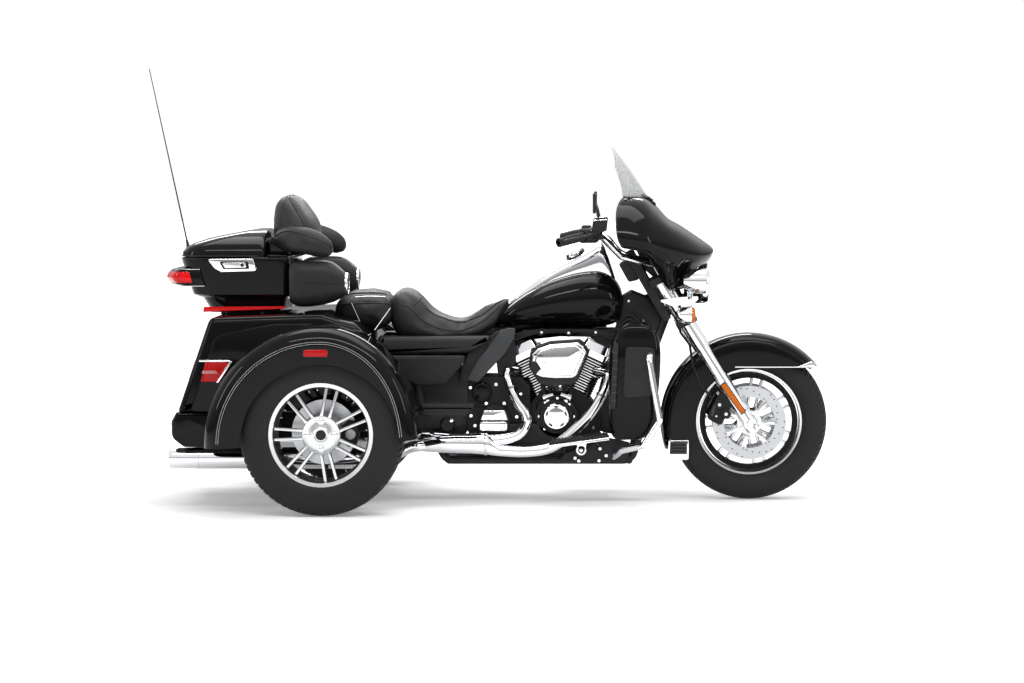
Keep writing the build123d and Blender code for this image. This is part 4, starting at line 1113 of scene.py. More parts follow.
    def object(self, sharp: float = LATHED, smooth_levels: int = 0) -> bpy.types.Object:
        """Close the mesh and make its object at the origin.

        Args:
            sharp: The angle in degrees past which an edge is sharp.
            smooth_levels: Levels of subdivision.

        Returns:
            The new object.
        """
        bmesh.ops.remove_doubles(self.bm, verts=list(self.bm.verts), dist=OWN_MERGE)
        bmesh.ops.recalc_face_normals(self.bm, faces=list(self.bm.faces))
        mesh = bpy.data.meshes.new(self.name)
        limit = math.radians(sharp)
        for edge in self.bm.edges:
            edge.smooth = len(edge.link_faces) == 2 and edge.calc_face_angle(0.0) < limit
        self.bm.to_mesh(mesh)
        self.bm.free()
        obj = bpy.data.objects.new(self.name, mesh)
        bpy.context.scene.collection.objects.link(obj)
        for material in self.materials:
            mesh.materials.append(material)
        if smooth_levels:
            modifier = obj.modifiers.new("Subdivision", "SUBSURF")
            modifier.levels = smooth_levels
            modifier.render_levels = smooth_levels
        return obj


def mount(obj: bpy.types.Object, body: Body, slot: Slot, *nodes: str) -> bpy.types.Object:
    """Make a piece ride on a body, in place of solids.

    Args:
        obj: The piece.
        body: The body that carries it.
        slot: Not used.
        nodes: The solids that it stands for.

    Returns:
        The piece.
    """
    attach(obj, body.value)
    if nodes:
        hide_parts(*nodes)
    LOG.info("made %s on %s", obj.name, body.value)
    return obj


def solid_copy(node: str) -> bmesh.types.BMesh:
    """Copy a solid's mesh with its doubles merged and its flat faces joined.

    Args:
        node: The solid's name.

    Returns:
        The copy.
    """
    made = bmesh.new()
    made.from_mesh(bpy.data.objects[node].data)
    bmesh.ops.remove_doubles(made, verts=list(made.verts), dist=SOLID_MERGE)
    bmesh.ops.dissolve_limit(made, angle_limit=FLAT_ANGLE, verts=list(made.verts), edges=list(made.edges))
    return made


def carry_over(node: str, finish: Finish, body: Body, slot: Slot) -> bpy.types.Object:
    """Stand in for a solid with a merged, smoothly shaded copy of it.

    Args:
        node: The solid's name.
        finish: The copy's finish.
        body: The body that carries it.
        slot: The record's slot.

    Returns:
        The copy.
    """
    mesh = Mesh(node + "_skin").use(finish).absorb(solid_copy(node))
    return mount(mesh.object(CRISP), body, slot, node)


def two_tone(node: str, body: Body, slot: Slot, pick: Callable[[Vector, Vector], Finish], sharp: float = CRISP,
             extra: Callable[[Mesh], None] | None = None) -> bpy.types.Object:
    """Stand in for a solid with a copy whose faces take their finish from where they are.

    Args:
        node: The solid's name.
        body: The body that carries it.
        slot: The record's slot.
        pick: Gives a face's finish from its middle and its normal.
        sharp: The angle in degrees past which an edge stays sharp.
        extra: Adds small parts to the copy.

    Returns:
        The copy.
    """
    made = solid_copy(node)
    mesh = Mesh(node + "_dressed")
    copies = {vert: mesh.bm.verts.new(vert.co) for vert in made.verts}
    for face in made.faces:
        mesh.use(pick(face.calc_center_median(), face.normal))
        mesh.face([copies[vert] for vert in face.verts])
    made.free()
    if extra is not None:
        extra(mesh)
    return mount(mesh.object(sharp), body, slot, node)


def bolt(radius: float, height: float) -> Mesh:
    """Build one domed cap screw about the origin, standing along -Y.

    Args:
        radius: Its radius.
        height: Its height.

    Returns:
        The screw's mesh.
    """
    mesh = Mesh("bolt")
    sides = [(0.0, 0.0), (radius, 0.0), (radius, height * 0.7), (radius * 0.8, height), (radius * 0.45, height),
             (radius * 0.4, height * 0.5), (0.0, height * 0.5)]
    return mesh.lathe(sides, (0.0, 0.0, 0.0), RIGHT, 12)


def plump(mesh: Mesh, finish: Finish, cap: float, voxel: float = 0.0055,
          pressure: float = 4.0) -> bpy.types.Object:
    """Swell a closed form as stuffed upholstery: an even mesh, a cloth under pressure, and one subdivision.

    Args:
        mesh: The slightly small closed form.
        finish: Its cover.
        cap: How far a point may move.
        voxel: The even mesh's grain.
        pressure: The cloth's inner pressure.

    Returns:
        The swollen object.
    """
    mesh.use(finish)
    obj = mesh.object(SEWN)
    remesh = obj.modifiers.new("Even", "REMESH")
    remesh.mode = "VOXEL"
    remesh.voxel_size = voxel
    bake(obj)
    rest = [vert.co.copy() for vert in obj.data.vertices]
    cloth = obj.modifiers.new("Cloth", "CLOTH")
    cloth.settings.use_pressure = True
    cloth.settings.uniform_pressure_force = pressure
    cloth.settings.effector_weights.gravity = 0.0
    scene = bpy.context.scene
    for number in range(1, CLOTH_FRAMES + 1):
        scene.frame_set(number)
    bake(obj)
    scene.frame_set(1)
    for vert, home in zip(obj.data.vertices, rest):
        move = vert.co - home
        if move.length > cap:
            vert.co = home + move * (cap / move.length)
    smooth = obj.modifiers.new("Smooth", "SMOOTH")
    smooth.iterations = 6
    finer = obj.modifiers.new("Subdivision", "SUBSURF")
    finer.levels = finer.render_levels = 1
    bake(obj)
    obj.data.polygons.foreach_set("use_smooth", [True] * len(obj.data.polygons))
    return obj


def bake(obj: bpy.types.Object) -> None:
    """Turn an object's modifiers into its mesh.

    Args:
        obj: The object.
    """
    bpy.context.view_layer.update()
    graph = bpy.context.evaluated_depsgraph_get()
    baked = bpy.data.meshes.new_from_object(obj.evaluated_get(graph), depsgraph=graph)
    old = obj.data
    obj.modifiers.clear()
    obj.data = baked
    bpy.data.meshes.remove(old)


def seam(mesh: Mesh, cover: bpy.types.Object, path: Sequence[Point], radius: float = 0.0028) -> None:
    """Sew piping along a line laid on a cover.

    Args:
        mesh: The mesh that takes the piping.
        cover: The object that it is sewn on.
        path: Points near the cover.
        radius: The piping's radius.
    """
    line = [cover.closest_point_on_mesh(p)[1:3] for p in even(spline(path, 6), 0.012)]
    mesh.tube([place + normal * (radius * 0.2) for place, normal in line], radius, 8, 1)


# ---------------------------------------------------------------- wheels
@dataclass
class Tyre:
    """A road tyre with circumferential grooves and slanted blocks."""

    name: str
    centre: Point
    body: Body
    profile: Sequence[Pair]
    tread_from: float
    grooves: Sequence[float]
    groove_half: float = 0.0028
    groove_depth: float = 0.005
    blocks: int = 72
    slant: float = 0.55
    stands_for: tuple[str, ...] = ()

    def columns(self) -> list[tuple[float, float, float]]:
        """Give the section's (across, radius, depth share) columns, from one bead to the other.

        Returns:
            The columns.
        """
        right = [(p.x, p.y) for p in spline(self.profile, 3)]
        whole = right + [(-y, r) for y, r in reversed(right[:-1])]
        out: list[tuple[float, float, float]] = []
        for (y0, r0), (y1, r1) in zip(whole, whole[1:]):
            out.append((y0, r0, 0.0))
            cuts = []
            for groove in self.grooves:
                for edge, share in ((groove + self.groove_half, 0.0), (groove + self.groove_half * 0.8, 1.0),
                                    (groove - self.groove_half * 0.8, 1.0), (groove - self.groove_half, 0.0)):
                    if min(y0, y1) < edge <= max(y0, y1):
                        cuts.append((edge, share))
            for edge, share in sorted(cuts, reverse=y1 < y0):
                t = (edge - y0) / (y1 - y0)
                out.append((edge, r0 + (r1 - r0) * t, share))
        out.append((*whole[-1], 0.0))
        near = self.groove_half * 0.9
        return [(y, r, 1.0 if any(abs(y - groove) < near for groove in self.grooves) else share) for y, r,
                share in out]

    def build(self) -> None:
        """Skin one block's slice of the section, repeat it about the axle and mount it."""
        turn = 2 * math.pi / self.blocks
        columns = self.columns()
        slots = [(0.0, 0.0), (0.3, 0.0), (0.34, 1.0), (0.56, 1.0), (0.6, 0.0), (1.0, 0.0)]
        rows = []
        for share, slot in slots:
            row = []
            for y, r, groove in columns:
                reach = abs(y)
                lean = math.copysign(reach, y) * self.slant / self.profile[0][0]
                angle = (share + lean) * turn
                cut = groove * self.groove_depth
                in_tread = r > self.tread_from and reach > self.grooves[0] + self.groove_half
                if slot and in_tread:
                    cut = max(cut, self.groove_depth * 0.8)
                row.append(((r - cut) * math.cos(angle), y, (r - cut) * math.sin(angle)))
            rows.append(row)
        piece = Mesh(self.name + "_slice").use(TYRE).grid(rows)
        mesh = Mesh(self.name + "_dressed").use(TYRE)
        mesh.repeat(piece, self.blocks, axis=RIGHT, turn=turn, origin=self.centre)
        bead_y, bead_r = self.profile[0]
        seat = [(bead_r, bead_y), (bead_r, -bead_y), (bead_r + 0.004, -bead_y), (bead_r + 0.004, bead_y)]
        mesh.lathe(seat, self.centre, LEFT, 96)
        mount(mesh.object(TRIM), self.body, Slot.TYRE, *self.stands_for)


@dataclass
class Rim:
    """A cast wheel: barrel, paired spokes with machined faces, hub and its fittings."""

    name: str
    centre: Point
    body: Body
    seat_r: float
    half_w: float
    drop_r: float
    hub_r: float
    spoke_y: float
    face: float = -1.0
    pairs: int = 7
    spoke_w: float = 0.013
    near: float = 0.0155
    far: float = 0.0215
    start_deg: float = 76.2
    flange_w: float = 0.019
    stands_for: tuple[str, ...] = ()

    def barrel(self, mesh: Mesh) -> None:
        """Add the black barrel and its two bright flanges.

        Args:
            mesh: The mesh that takes the parts.
        """
        lip, half = self.seat_r + 0.0125, self.half_w + 0.004
        wall = self.seat_r - 0.005
        mesh.use(SATIN).lathe(
            [(wall, -half + 0.012), (self.drop_r + 0.005, -half * 0.45), (self.drop_r + 0.005, half * 0.45),
             (wall, half - 0.012), (wall - 0.005, half - 0.012), (self.drop_r, half * 0.42),
             (self.drop_r, -half * 0.42), (wall - 0.005, -half + 0.012)], self.centre, LEFT, 96)
        for side in (-1, 1):
            inner = lip - self.flange_w
            ring = [(lip, side * (half - 0.004)), (lip, side * (half - 0.001)), (lip - 0.002, side * half),
                    (inner + 0.002, side * (half - 0.001)), (inner, side * (half - 0.004)),
                    (inner, side * (half - 0.016)), (lip - 0.007, side * (half - 0.016)),
                    (lip - 0.007, side * (half - 0.006))]
            mesh.use(MACHINED).lathe(ring, self.centre, LEFT, 128)

    def spokes(self, mesh: Mesh) -> None:
        """Add the spoke pairs: black sides and a machined face on each.

        Args:
            mesh: The mesh that takes the parts.
        """
        reach = self.drop_r + 0.002 if self.drop_r < self.seat_r - 0.012 else self.seat_r - 0.004
        for finish, grow, low, high in ((SATIN, 0.0, -0.01, 0.0065), (MACHINED, -0.0012, 0.0055, 0.0085)):
            pair = Mesh("spoke_pair").use(finish)
            for side in (-1, 1):
                w = self.spoke_w / 2 + grow
                start = self.hub_r * 0.8
                outline = [(start, side * self.near - w - 0.002), (start, side * self.near + w + 0.002),
                           (start + 0.03, side * (self.near + 0.001) + w), (reach, side * self.far + w),
                           (reach, side * self.far - w), (start + 0.03, side * (self.near + 0.001) - w)]
                faces = sorted((self.spoke_y + self.face * low, self.spoke_y + self.face * high))
                pair.prism([(a, b) for a, b in outline], faces[0], faces[1], "XZ", 0.0012, 2)
            turned = Matrix.Rotation(-math.radians(self.start_deg), 4, "Y")
            bmesh.ops.transform(pair.bm, matrix=turned, verts=pair.bm.verts)
            mesh.use(finish).repeat(
                pair, self.pairs, axis=LEFT, turn=2 * math.pi / self.pairs, origin=self.centre)

    def ticks(self, mesh: Mesh) -> None:
        """Add the short bright ribs inside the barrel, two between each spoke pair.

        Args:
            mesh: The mesh that takes the parts.
        """
        pair = Mesh("rib_pair").use(MACHINED)
        for lean in (-5.5, 5.5):
            a = math.radians(self.start_deg + 180.0 / self.pairs + lean)
            r = self.drop_r - 0.006
            y = self.spoke_y - self.face * 0.055
            pair.block((r * math.cos(a), y, r * math.sin(a)), (0.012, 0.006, 0.003), 0.0008,
                       Matrix.Rotation(-a, 3, "Y"))
        mesh.use(MACHINED).repeat(
            pair, self.pairs, axis=LEFT, turn=2 * math.pi / self.pairs, origin=self.centre)


@dataclass
class RearRim(Rim):
    """A rear wheel with its hub plate, four nuts, a cap and an inboard brake disc."""

    disc_y: float = 0.06
    disc_r: float = 0.128

    def build(self) -> None:
        """Build and mount the wheel."""
        mesh = Mesh(self.name + "_dressed")
        f = self.face
        self.barrel(mesh)
        self.spokes(mesh)
        self.ticks(mesh)
        face_y = self.spoke_y + f * 0.009
        plate = [(0.0, face_y - f * 0.02), (self.hub_r, face_y - f * 0.02), (self.hub_r, face_y - f * 0.001),
                 (self.hub_r - 0.002, face_y + f * 0.001), (self.hub_r - 0.005, face_y),
                 (0.04, face_y + f * 0.0005), (0.036, face_y + f * 0.002), (0.0, face_y + f * 0.002)]
        mesh.use(MACHINED).lathe(plate, self.centre, LEFT, 96)
        cap = [(0.0, 0.0), (0.031, 0.0), (0.031, 0.004), (0.027, 0.0065), (0.023, 0.0055), (0.0225, 0.0035),
               (0.0, 0.0035)]
        mesh.use(MACHINED).lathe([(r, face_y + f * (0.001 + a)) for r, a in cap], self.centre, LEFT, 64)
        dome = [(0.0, 0.003), (0.0215, 0.003), (0.02, 0.0048), (0.01, 0.0062), (0.0, 0.0066)]
        mesh.use(SATIN).lathe([(r, face_y + f * a) for r, a in dome], self.centre, LEFT, 48)
        nut = Mesh("nut").use(CHROME)
        nut.lathe(
            [(r, face_y + f * a) for r, a in (
                (0.0, 0.0), (0.0135, 0.0), (0.0135, 0.003), (0.0115, 0.0045), (0.0105, 0.0075), (0.006, 0.01),
                (0.0, 0.0108))], (0.0535, 0.0, 0.0), LEFT, 24)
        mesh.use(CHROME).repeat(nut, 4, axis=LEFT, turn=math.pi / 2, origin=self.centre)
        disc_y = -f * self.disc_y
        ring = [(0.078, disc_y - 0.003), (self.disc_r, disc_y - 0.003), (self.disc_r, disc_y + 0.003),
                (0.078, disc_y + 0.003)]
        mesh.use(DISC).lathe(ring, self.centre, LEFT, 96)
        bell = [(0.021, disc_y - f * 0.003), (0.08, disc_y - f * 0.003), (0.08, disc_y + f * 0.003),
                (0.06, disc_y + f * 0.012), (0.055, self.spoke_y - f * 0.012),
                (0.021, self.spoke_y - f * 0.012)]
        mesh.use(CAST).lathe(bell, self.centre, LEFT, 64)
        mount(mesh.object(TRIM), self.body, Slot.ALUMINIUM, *self.stands_for)


@dataclass
class FrontRim(Rim):
    """The front wheel with two drilled brake discs on seven-armed carriers."""

    disc_y: float = 0.08
    disc_r: float = 0.15

    def disc(self, mesh: Mesh, side: float) -> None:
        """Add one brake disc with its carrier, bobbins, drilled holes and bolts.

        Args:
            mesh: The mesh that takes the parts.
            side: 1 on the left or -1 on the right.
        """
        y = side * self.disc_y
        ring = [(0.104, y - 0.0027), (self.disc_r, y - 0.0027), (self.disc_r, y + 0.0027), (0.104, y + 0.0027)]
        mesh.use(DISC).lathe(ring, self.centre, LEFT, 96)
        plate = [(0.0135, y - 0.004), (0.05, y - 0.004), (0.05, y + 0.004), (0.0135, y + 0.004)]
        mesh.use(MACHINED).lathe(plate, self.centre, LEFT, 64)
        arm = Mesh("arm").use(MACHINED)
        arm.prism(
            [(0.046, -0.016), (0.072, -0.0085), (0.1, -0.011), (0.111, -0.008), (0.111, 0.008), (0.1, 0.011),
             (0.072, 0.0085), (0.046, 0.016)], y - 0.0035, y + 0.0035, "XZ", 0.0012, 2)
        mesh.use(MACHINED).repeat(arm, 7, axis=LEFT, turn=2 * math.pi / 7, origin=self.centre)
        face = y + side * 0.0028
        # The drilled holes are dark discs: painted shade in place of openings.
        hole = Mesh("hole").use(BLACK_AND_SHADE)
        for r, a in ((0.113, 7.0), (0.121, 19.0), (0.129, 31.0), (0.138, 43.0), (0.143, 1.0)):
            t = math.radians(a)
            hole.lathe(
                [(0.0, face - side * 0.001), (0.0031, face - side * 0.001), (0.0029, face + side * 0.0003),
                 (0.0, face + side * 0.0003)], (r * math.cos(t), 0.0, r * math.sin(t)), LEFT, 10)
        mesh.use(BLACK_AND_SHADE).repeat(hole, 7, axis=LEFT, turn=2 * math.pi / 7, origin=self.centre)
        bolt = Mesh("bolt").use(CHROME)
        bolt.lathe(
            [(r, y + side * (0.004 + a)) for r, a in (
                (0.0, 0.0), (0.0068, 0.0), (0.0068, 0.003), (0.005, 0.0045), (0.0, 0.0045))],
            (0.04, 0.0, 0.0), LEFT, 16)
        mesh.use(CHROME).repeat(bolt, 5, axis=LEFT, turn=2 * math.pi / 5, origin=self.centre)
        bobbin = Mesh("bobbin").use(CAST)
        bobbin.lathe(
            [(r, y + side * (0.0028 + a)) for r, a in (
                (0.0, 0.0), (0.0062, 0.0), (0.0062, 0.002), (0.0, 0.002))],
            (0.1085, 0.0, 0.0), LEFT, 14)
        mesh.use(CAST).repeat(bobbin, 7, axis=LEFT, turn=2 * math.pi / 7, origin=self.centre)

    def build(self) -> None:
        """Build and mount the wheel."""
        mesh = Mesh(self.name + "_dressed")
        self.barrel(mesh)
        self.spokes(mesh)
        hub = [(0.0132, -0.077), (0.04, -0.077), (0.034, -0.05), (0.038, -0.02), (0.046, -0.012),
               (0.046, 0.012), (0.038, 0.02), (0.034, 0.05), (0.04, 0.077), (0.0132, 0.077)]
        mesh.use(SATIN).lathe(hub, self.centre, LEFT, 64)
        for side in (-1, 1):
            self.disc(mesh, side)
        mount(mesh.object(TRIM), self.body, Slot.ALUMINIUM, *self.stands_for)


@dataclass
class Wheels:
    """All three wheels."""

    stands_for: tuple[str, ...] = (
        "front_tyre", "front_rim", "rear_tyre_left", "rear_tyre_right", "rear_rim_left", "rear_rim_right")
    front_profile: tuple[Pair, ...] = (
        (0.04, 0.2155), (0.0475, 0.224), (0.0575, 0.24), (0.0635, 0.26), (0.0648, 0.277), (0.062, 0.293),
        (0.0545, 0.305), (0.042, 0.313), (0.026, 0.318), (0.011, 0.3197), (0.0, 0.32))
    rear_profile: tuple[Pair, ...] = (
        (0.0895, 0.2035), (0.0955, 0.212), (0.101, 0.233), (0.1024, 0.256), (0.1016, 0.279), (0.0985, 0.296),
        (0.092, 0.308), (0.082, 0.3145), (0.064, 0.3182), (0.04, 0.3196), (0.0, 0.32))

    def build(self) -> None:
        """Build the front wheel and both rear wheels."""
        Tyre("front_tyre", FRONT_AXLE, Body.FRONT_WHEEL, self.front_profile, 0.299, (0.0145, -0.0145),
             blocks=76, slant=0.7, stands_for=("front_tyre",)).build()
        FrontRim("front_rim", FRONT_AXLE, Body.FRONT_WHEEL, 0.206, 0.038, 0.178, 0.048, 0.0, start_deg=79.0,
                 flange_w=0.012, stands_for=("front_rim",)).build()
        for side, body, word in ((1, Body.REAR_LEFT, "left"), (-1, Body.REAR_RIGHT, "right")):
            centre = (REAR_AXLE[0], side * REAR_AXLE[1], REAR_AXLE[2])
            Tyre("rear_tyre_" + word, centre, body, self.rear_profile, 0.306, (0.023, -0.023, 0.06, -0.06),
                 groove_half=0.004, groove_depth=0.006, blocks=68, slant=0.35,
                 stands_for=("rear_tyre_" + word,)).build()
            RearRim("rear_rim_" + word, centre, body, 0.193, 0.085, 0.18, 0.075, side * 0.068, face=float(side),
                    start_deg=76.2, stands_for=("rear_rim_" + word,)).build()


# ---------------------------------------------------------------- rear body
@dataclass
class RearFenders:
    """Both wide rear fenders, with a twin pinstripe and a side marker."""

    rear_r: float = 0.461
    front_r: float = 0.38
    degrees: Pair = (182.0, 3.0)
    inner_y: float = 0.4405
    outer_y: float = 0.695
    edge_r: float = 0.07
    wall: float = 0.004
    arch: Pair = (-0.612, 0.285)
    arch_r: float = 0.312
    stands_for: tuple[str, ...] = ("fender_right", "fender_left")

    def path(self) -> list[tuple[Vector, Vector]]:
        """Give points along the side outline, each with its inward direction.

        Returns:
            Each point with its inward direction.
        """
        centre = Vector(self.arch)
        line = []
        for k in range(73):
            turn = self.degrees[0] + (self.degrees[1] - self.degrees[0]) * k / 72
            share = min(max((turn - 5.0) / 85.0, 0.0), 1.0)
            reach = self.front_r + (self.rear_r - self.front_r) * share * share * (3 - 2 * share)
            line.append(centre + Vector((math.cos(math.radians(turn)), math.sin(math.radians(turn)))) * reach)
        out = []
        for i, here in enumerate(line):
            along = (line[min(i + 1, len(line) - 1)] - line[max(i - 1, 0)]).normalized()
            out.append((here, Vector((along.y, -along.x))))
        return out

    def section(self, here: Vector, inward: Vector) -> list[Point]:
        """Give the closed section at one point of the outline, on the right-hand side.

        Args:
            here: The point on the outline.
            inward: The direction into the fender there.

        Returns:
            The points of the section.
        """
        centre = Vector(self.arch)
        rim = centre + (here - centre).normalized() * self.arch_r
        points: list[Point] = []
        for grow in (0.0, self.wall):
            row: list[tuple[Vector, float]] = []
            flat_to = self.outer_y - self.edge_r
            for share in (0.0, 0.35, 0.7, 1.0):
                y = self.inner_y + (flat_to - self.inner_y) * share
                row.append((here + inward * (grow + 0.004 * share * share), y))
            for k in range(1, 9):
                a = math.pi / 2 * k / 8
                depth = self.edge_r * (1 - math.cos(a)) + 0.004
                row.append(
                    (here + inward * (grow + depth * 0.97), flat_to + (self.edge_r - grow) * math.sin(a)))
            start = row[-1][0]
            for share in (0.12, 0.35, 0.65, 0.9, 1.0):
                row.append((start.lerp(rim, share), self.outer_y - grow - 0.003 * share))
            if grow == 0.0:
                out = (rim - centre).normalized()
                row += [(rim - out * 0.003, self.outer_y - 0.006), (rim - out * 0.003, self.outer_y - 0.016),
                        (rim + out * 0.001, self.outer_y - 0.018)]
            else:
                row.reverse()
            points += [(flat.x, -y, flat.y) for flat, y in row]
        return points

    def stripe(self, mesh: Mesh, inset: float, width: float) -> None:
        """Lay one thin painted line on the outer face, a distance inside the outline.

        Args:
            mesh: The mesh that takes the parts.
            inset: Its distance inside the outline.
            width: Its width.
        """
        rows = []
        for here, inward in self.path()[1:-1]:
            a, b = here + inward * inset, here + inward * (inset + width)
            y = -self.outer_y - 0.0004
            rows.append([(a.x, y + 0.001, a.y), (a.x, y, a.y), (b.x, y, b.y), (b.x, y + 0.001, b.y)])
        mesh.use(STRIPE).grid(rows)

    def marker(self, mesh: Mesh) -> None:
        """Set the red marker lamp and its frame into the outer face.

        Args:
            mesh: The mesh that takes the parts.
        """
        outline = rounded([(-0.676, 0.626), (-0.574, 0.626), (-0.574, 0.66), (-0.676, 0.66)], 0.012, 5)
        mesh.use(SATIN).prism(outline, -self.outer_y - 0.004, -self.outer_y + 0.006, "XZ", 0.002)
        inner = rounded([(-0.671, 0.63), (-0.579, 0.63), (-0.579, 0.656), (-0.671, 0.656)], 0.01, 5)
        mesh.use(RED).prism(inner, -self.outer_y - 0.008, -self.outer_y, "XZ", 0.004)

    def build(self) -> None:
        """Build and mount both fenders."""
        mesh = Mesh("rear_fenders")
        mesh.use(PAINT).rings([self.section(here, inward) for here, inward in self.path()])
        self.stripe(mesh, 0.059, 0.0016)
        self.stripe(mesh, 0.067, 0.0016)
        self.marker(mesh)
        mesh.mirrored()
        mount(mesh.object(SKIN), Body.CHASSIS, Slot.PAINT, *self.stands_for)


@dataclass
class Trunk:
    """The trunk between the rear wheels, its door, bumper and tail lamps."""

    side: tuple[Pair, ...] = (
        (-1.201, 0.392), (-1.071, 0.767), (-0.803, 0.776), (-0.627, 0.781), (-0.575, 0.762), (-0.498, 0.745),
        (-0.441, 0.69), (-0.385, 0.64), (-0.385, 0.392))
    half: float = 0.44
    door_half: float = 0.33
    door_z: Pair = (0.43, 0.715)
    stands_for: tuple[str, ...] = ("trunk_shell", "trunk_door", "rear_bumper", "tail_lamps")

    def rear_x(self, z: float) -> float:
        """Give X of the sloping rear face at a height."""
        (x0, z0), (x1, z1) = self.side[0], self.side[1]
        return x0 + (z - z0) * (x1 - x0) / (z1 - z0)

    def slope(self, z_from: float, z_to: float, back: float, ahead: float) -> list[Pair]:
        """Give a slice of the rear face between two heights, in side view.

        Args:
            z_from: The lower height.
            z_to: The upper height.
            back: The outline's reach behind the face.
            ahead: The outline's reach ahead of the face.

        Returns:
            The slice's outline.
        """
        return [(self.rear_x(z_from) + back, z_from), (self.rear_x(z_from) + ahead, z_from),
                (self.rear_x(z_to) + ahead, z_to), (self.rear_x(z_to) + back, z_to)]

    def shell(self) -> None:
        """Build the painted shell, hollow, with its door opening and its character lines."""
        mesh = Mesh("trunk_body").use(PAINT)
        outline = rounded(self.side, [0.01, 0.035, 0.3, 0.05, 0.05, 0.06, 0.05, 0.02, 0.01], 6)
        mesh.prism(outline, -self.half, self.half, "XZ", 0.024, 5)
        room = Mesh("room")
        inner = [(-1.176, 0.399), (-1.06, 0.76), (-0.803, 0.769), (-0.629, 0.774), (-0.576, 0.755),
                 (-0.503, 0.738), (-0.446, 0.684), (-0.392, 0.634), (-0.392, 0.399)]
        room.prism(inner, -self.half + 0.006, self.half - 0.006)
        mesh.carve(room)
        hole = Mesh("hole")
        hole.prism(self.slope(*self.door_z, -0.08, 0.08), -self.door_half, self.door_half)
        mesh.carve(hole)
        for side in (-1, 1):
            mesh.use(PAINT)
            cheek = rounded(
                [(-1.15, 0.395), (-1.045, 0.7), (-0.82, 0.742), (-0.64, 0.745), (-0.52, 0.7), (-0.43, 0.6),
                 (-0.43, 0.395)], [0.02, 0.06, 0.2, 0.1, 0.1, 0.1, 0.02], 6)
            ys = sorted((side * (self.half - 0.003), side * (self.half + 0.0055)))
            mesh.prism(cheek, ys[0], ys[1], "XZ", 0.0045, 3)
        for side in (-1, 1):
            for y0 in (side * 0.22 - 0.03, side * 0.22 + 0.022):
                ear = [(-1.2018, 0.437), (-1.1918, 0.437), (-1.188, 0.425), (-1.194, 0.405), (-1.199, 0.405)]
                mesh.use(SATIN).prism(ear, y0, y0 + 0.008, "XZ", 0.001)
            mesh.use(CHROME).lathe(
                [(0.0, -0.03), (0.004, -0.03), (0.004, 0.03), (0.0, 0.03)], (-1.1968, side * 0.22, 0.433), LEFT,
                16)
        mount(mesh.object(PANEL), Body.CHASSIS, Slot.PAINT, "trunk_shell")

    def door(self) -> None:
        """Build the rear door with its handle and bare plate panel."""
        mesh = Mesh("trunk_door_dressed").use(PAINT)
        low, high = self.door_z[0] + 0.006, self.door_z[1] - 0.006
        half = self.door_half - 0.006
        rows = []
        for grow, offset in (
                (0.0, 0.007), (0.0, -0.002), (-0.004, -0.0065), (-0.02, -0.0085), (-0.05, -0.0095)):
            corners = rounded(
                [(-half - grow, low - grow), (half + grow, low - grow), (half + grow, high + grow),
                 (-half - grow, high + grow)], 0.03, 6)
            rows.append([(self.rear_x(z) + offset, y, z) for y, z in corners])
        mesh.rings(rows)
        plate = rounded([(-0.115, 0.47), (0.115, 0.47), (0.115, 0.64), (-0.115, 0.64)], 0.012, 4)
        for finish, grow, depth in ((SATIN, 0.006, 0.012), (GREY_PLASTIC, 0.0, 0.0135)):
            ring = [((y * (1 + grow * 8)), z + (z - 0.555) * grow * 8) for y, z in plate]
            mesh.use(finish).rings(
                [[(self.rear_x(z) - 0.005, y, z) for y, z in ring],
                 [(self.rear_x(z) - depth, y, z) for y, z in ring]])
        mesh.use(CHROME).tube(
            [(self.rear_x(0.675) - 0.008, -0.09, 0.675), (self.rear_x(0.678) - 0.024, -0.075, 0.678),
             (self.rear_x(0.678) - 0.024, 0.075, 0.678), (self.rear_x(0.675) - 0.008, 0.09, 0.675)], 0.0055, 12,
             6)
        for side in (-1, 1):
            mesh.use(SATIN).lathe(
                [(0.0042, -0.02), (0.008, -0.02), (0.008, 0.02), (0.0042, 0.02)], (-1.1968, side * 0.22, 0.433),
                LEFT, 20)
        mount(mesh.object(PANEL), Body.DOOR, Slot.PAINT, "trunk_door")

    def bumper(self) -> None:
        """Build the painted bumper below the trunk, with its step and satin strip."""
        mesh = Mesh("rear_bumper_dressed").use(PAINT)
        profile = [(-1.206, 0.391), (-1.225, 0.356), (-1.225, 0.29), (-1.176, 0.2525), (-0.928, 0.2525),
                   (-0.928, 0.391)]
        mesh.prism(rounded(profile, [0.004, 0.014, 0.045, 0.03, 0.01, 0.004], 6), -0.4395, 0.4395, "XZ", 0.012,
                   4)
        mesh.use(SATIN).tube(
            [(-1.2235, -0.436, 0.3455), (-1.2265, -0.4, 0.3455), (-1.2265, 0.4, 0.3455),
             (-1.2235, 0.436, 0.3455)], 0.0022, 8, 4)
        mount(mesh.object(SKIN), Body.CHASSIS, Slot.PAINT, "rear_bumper")

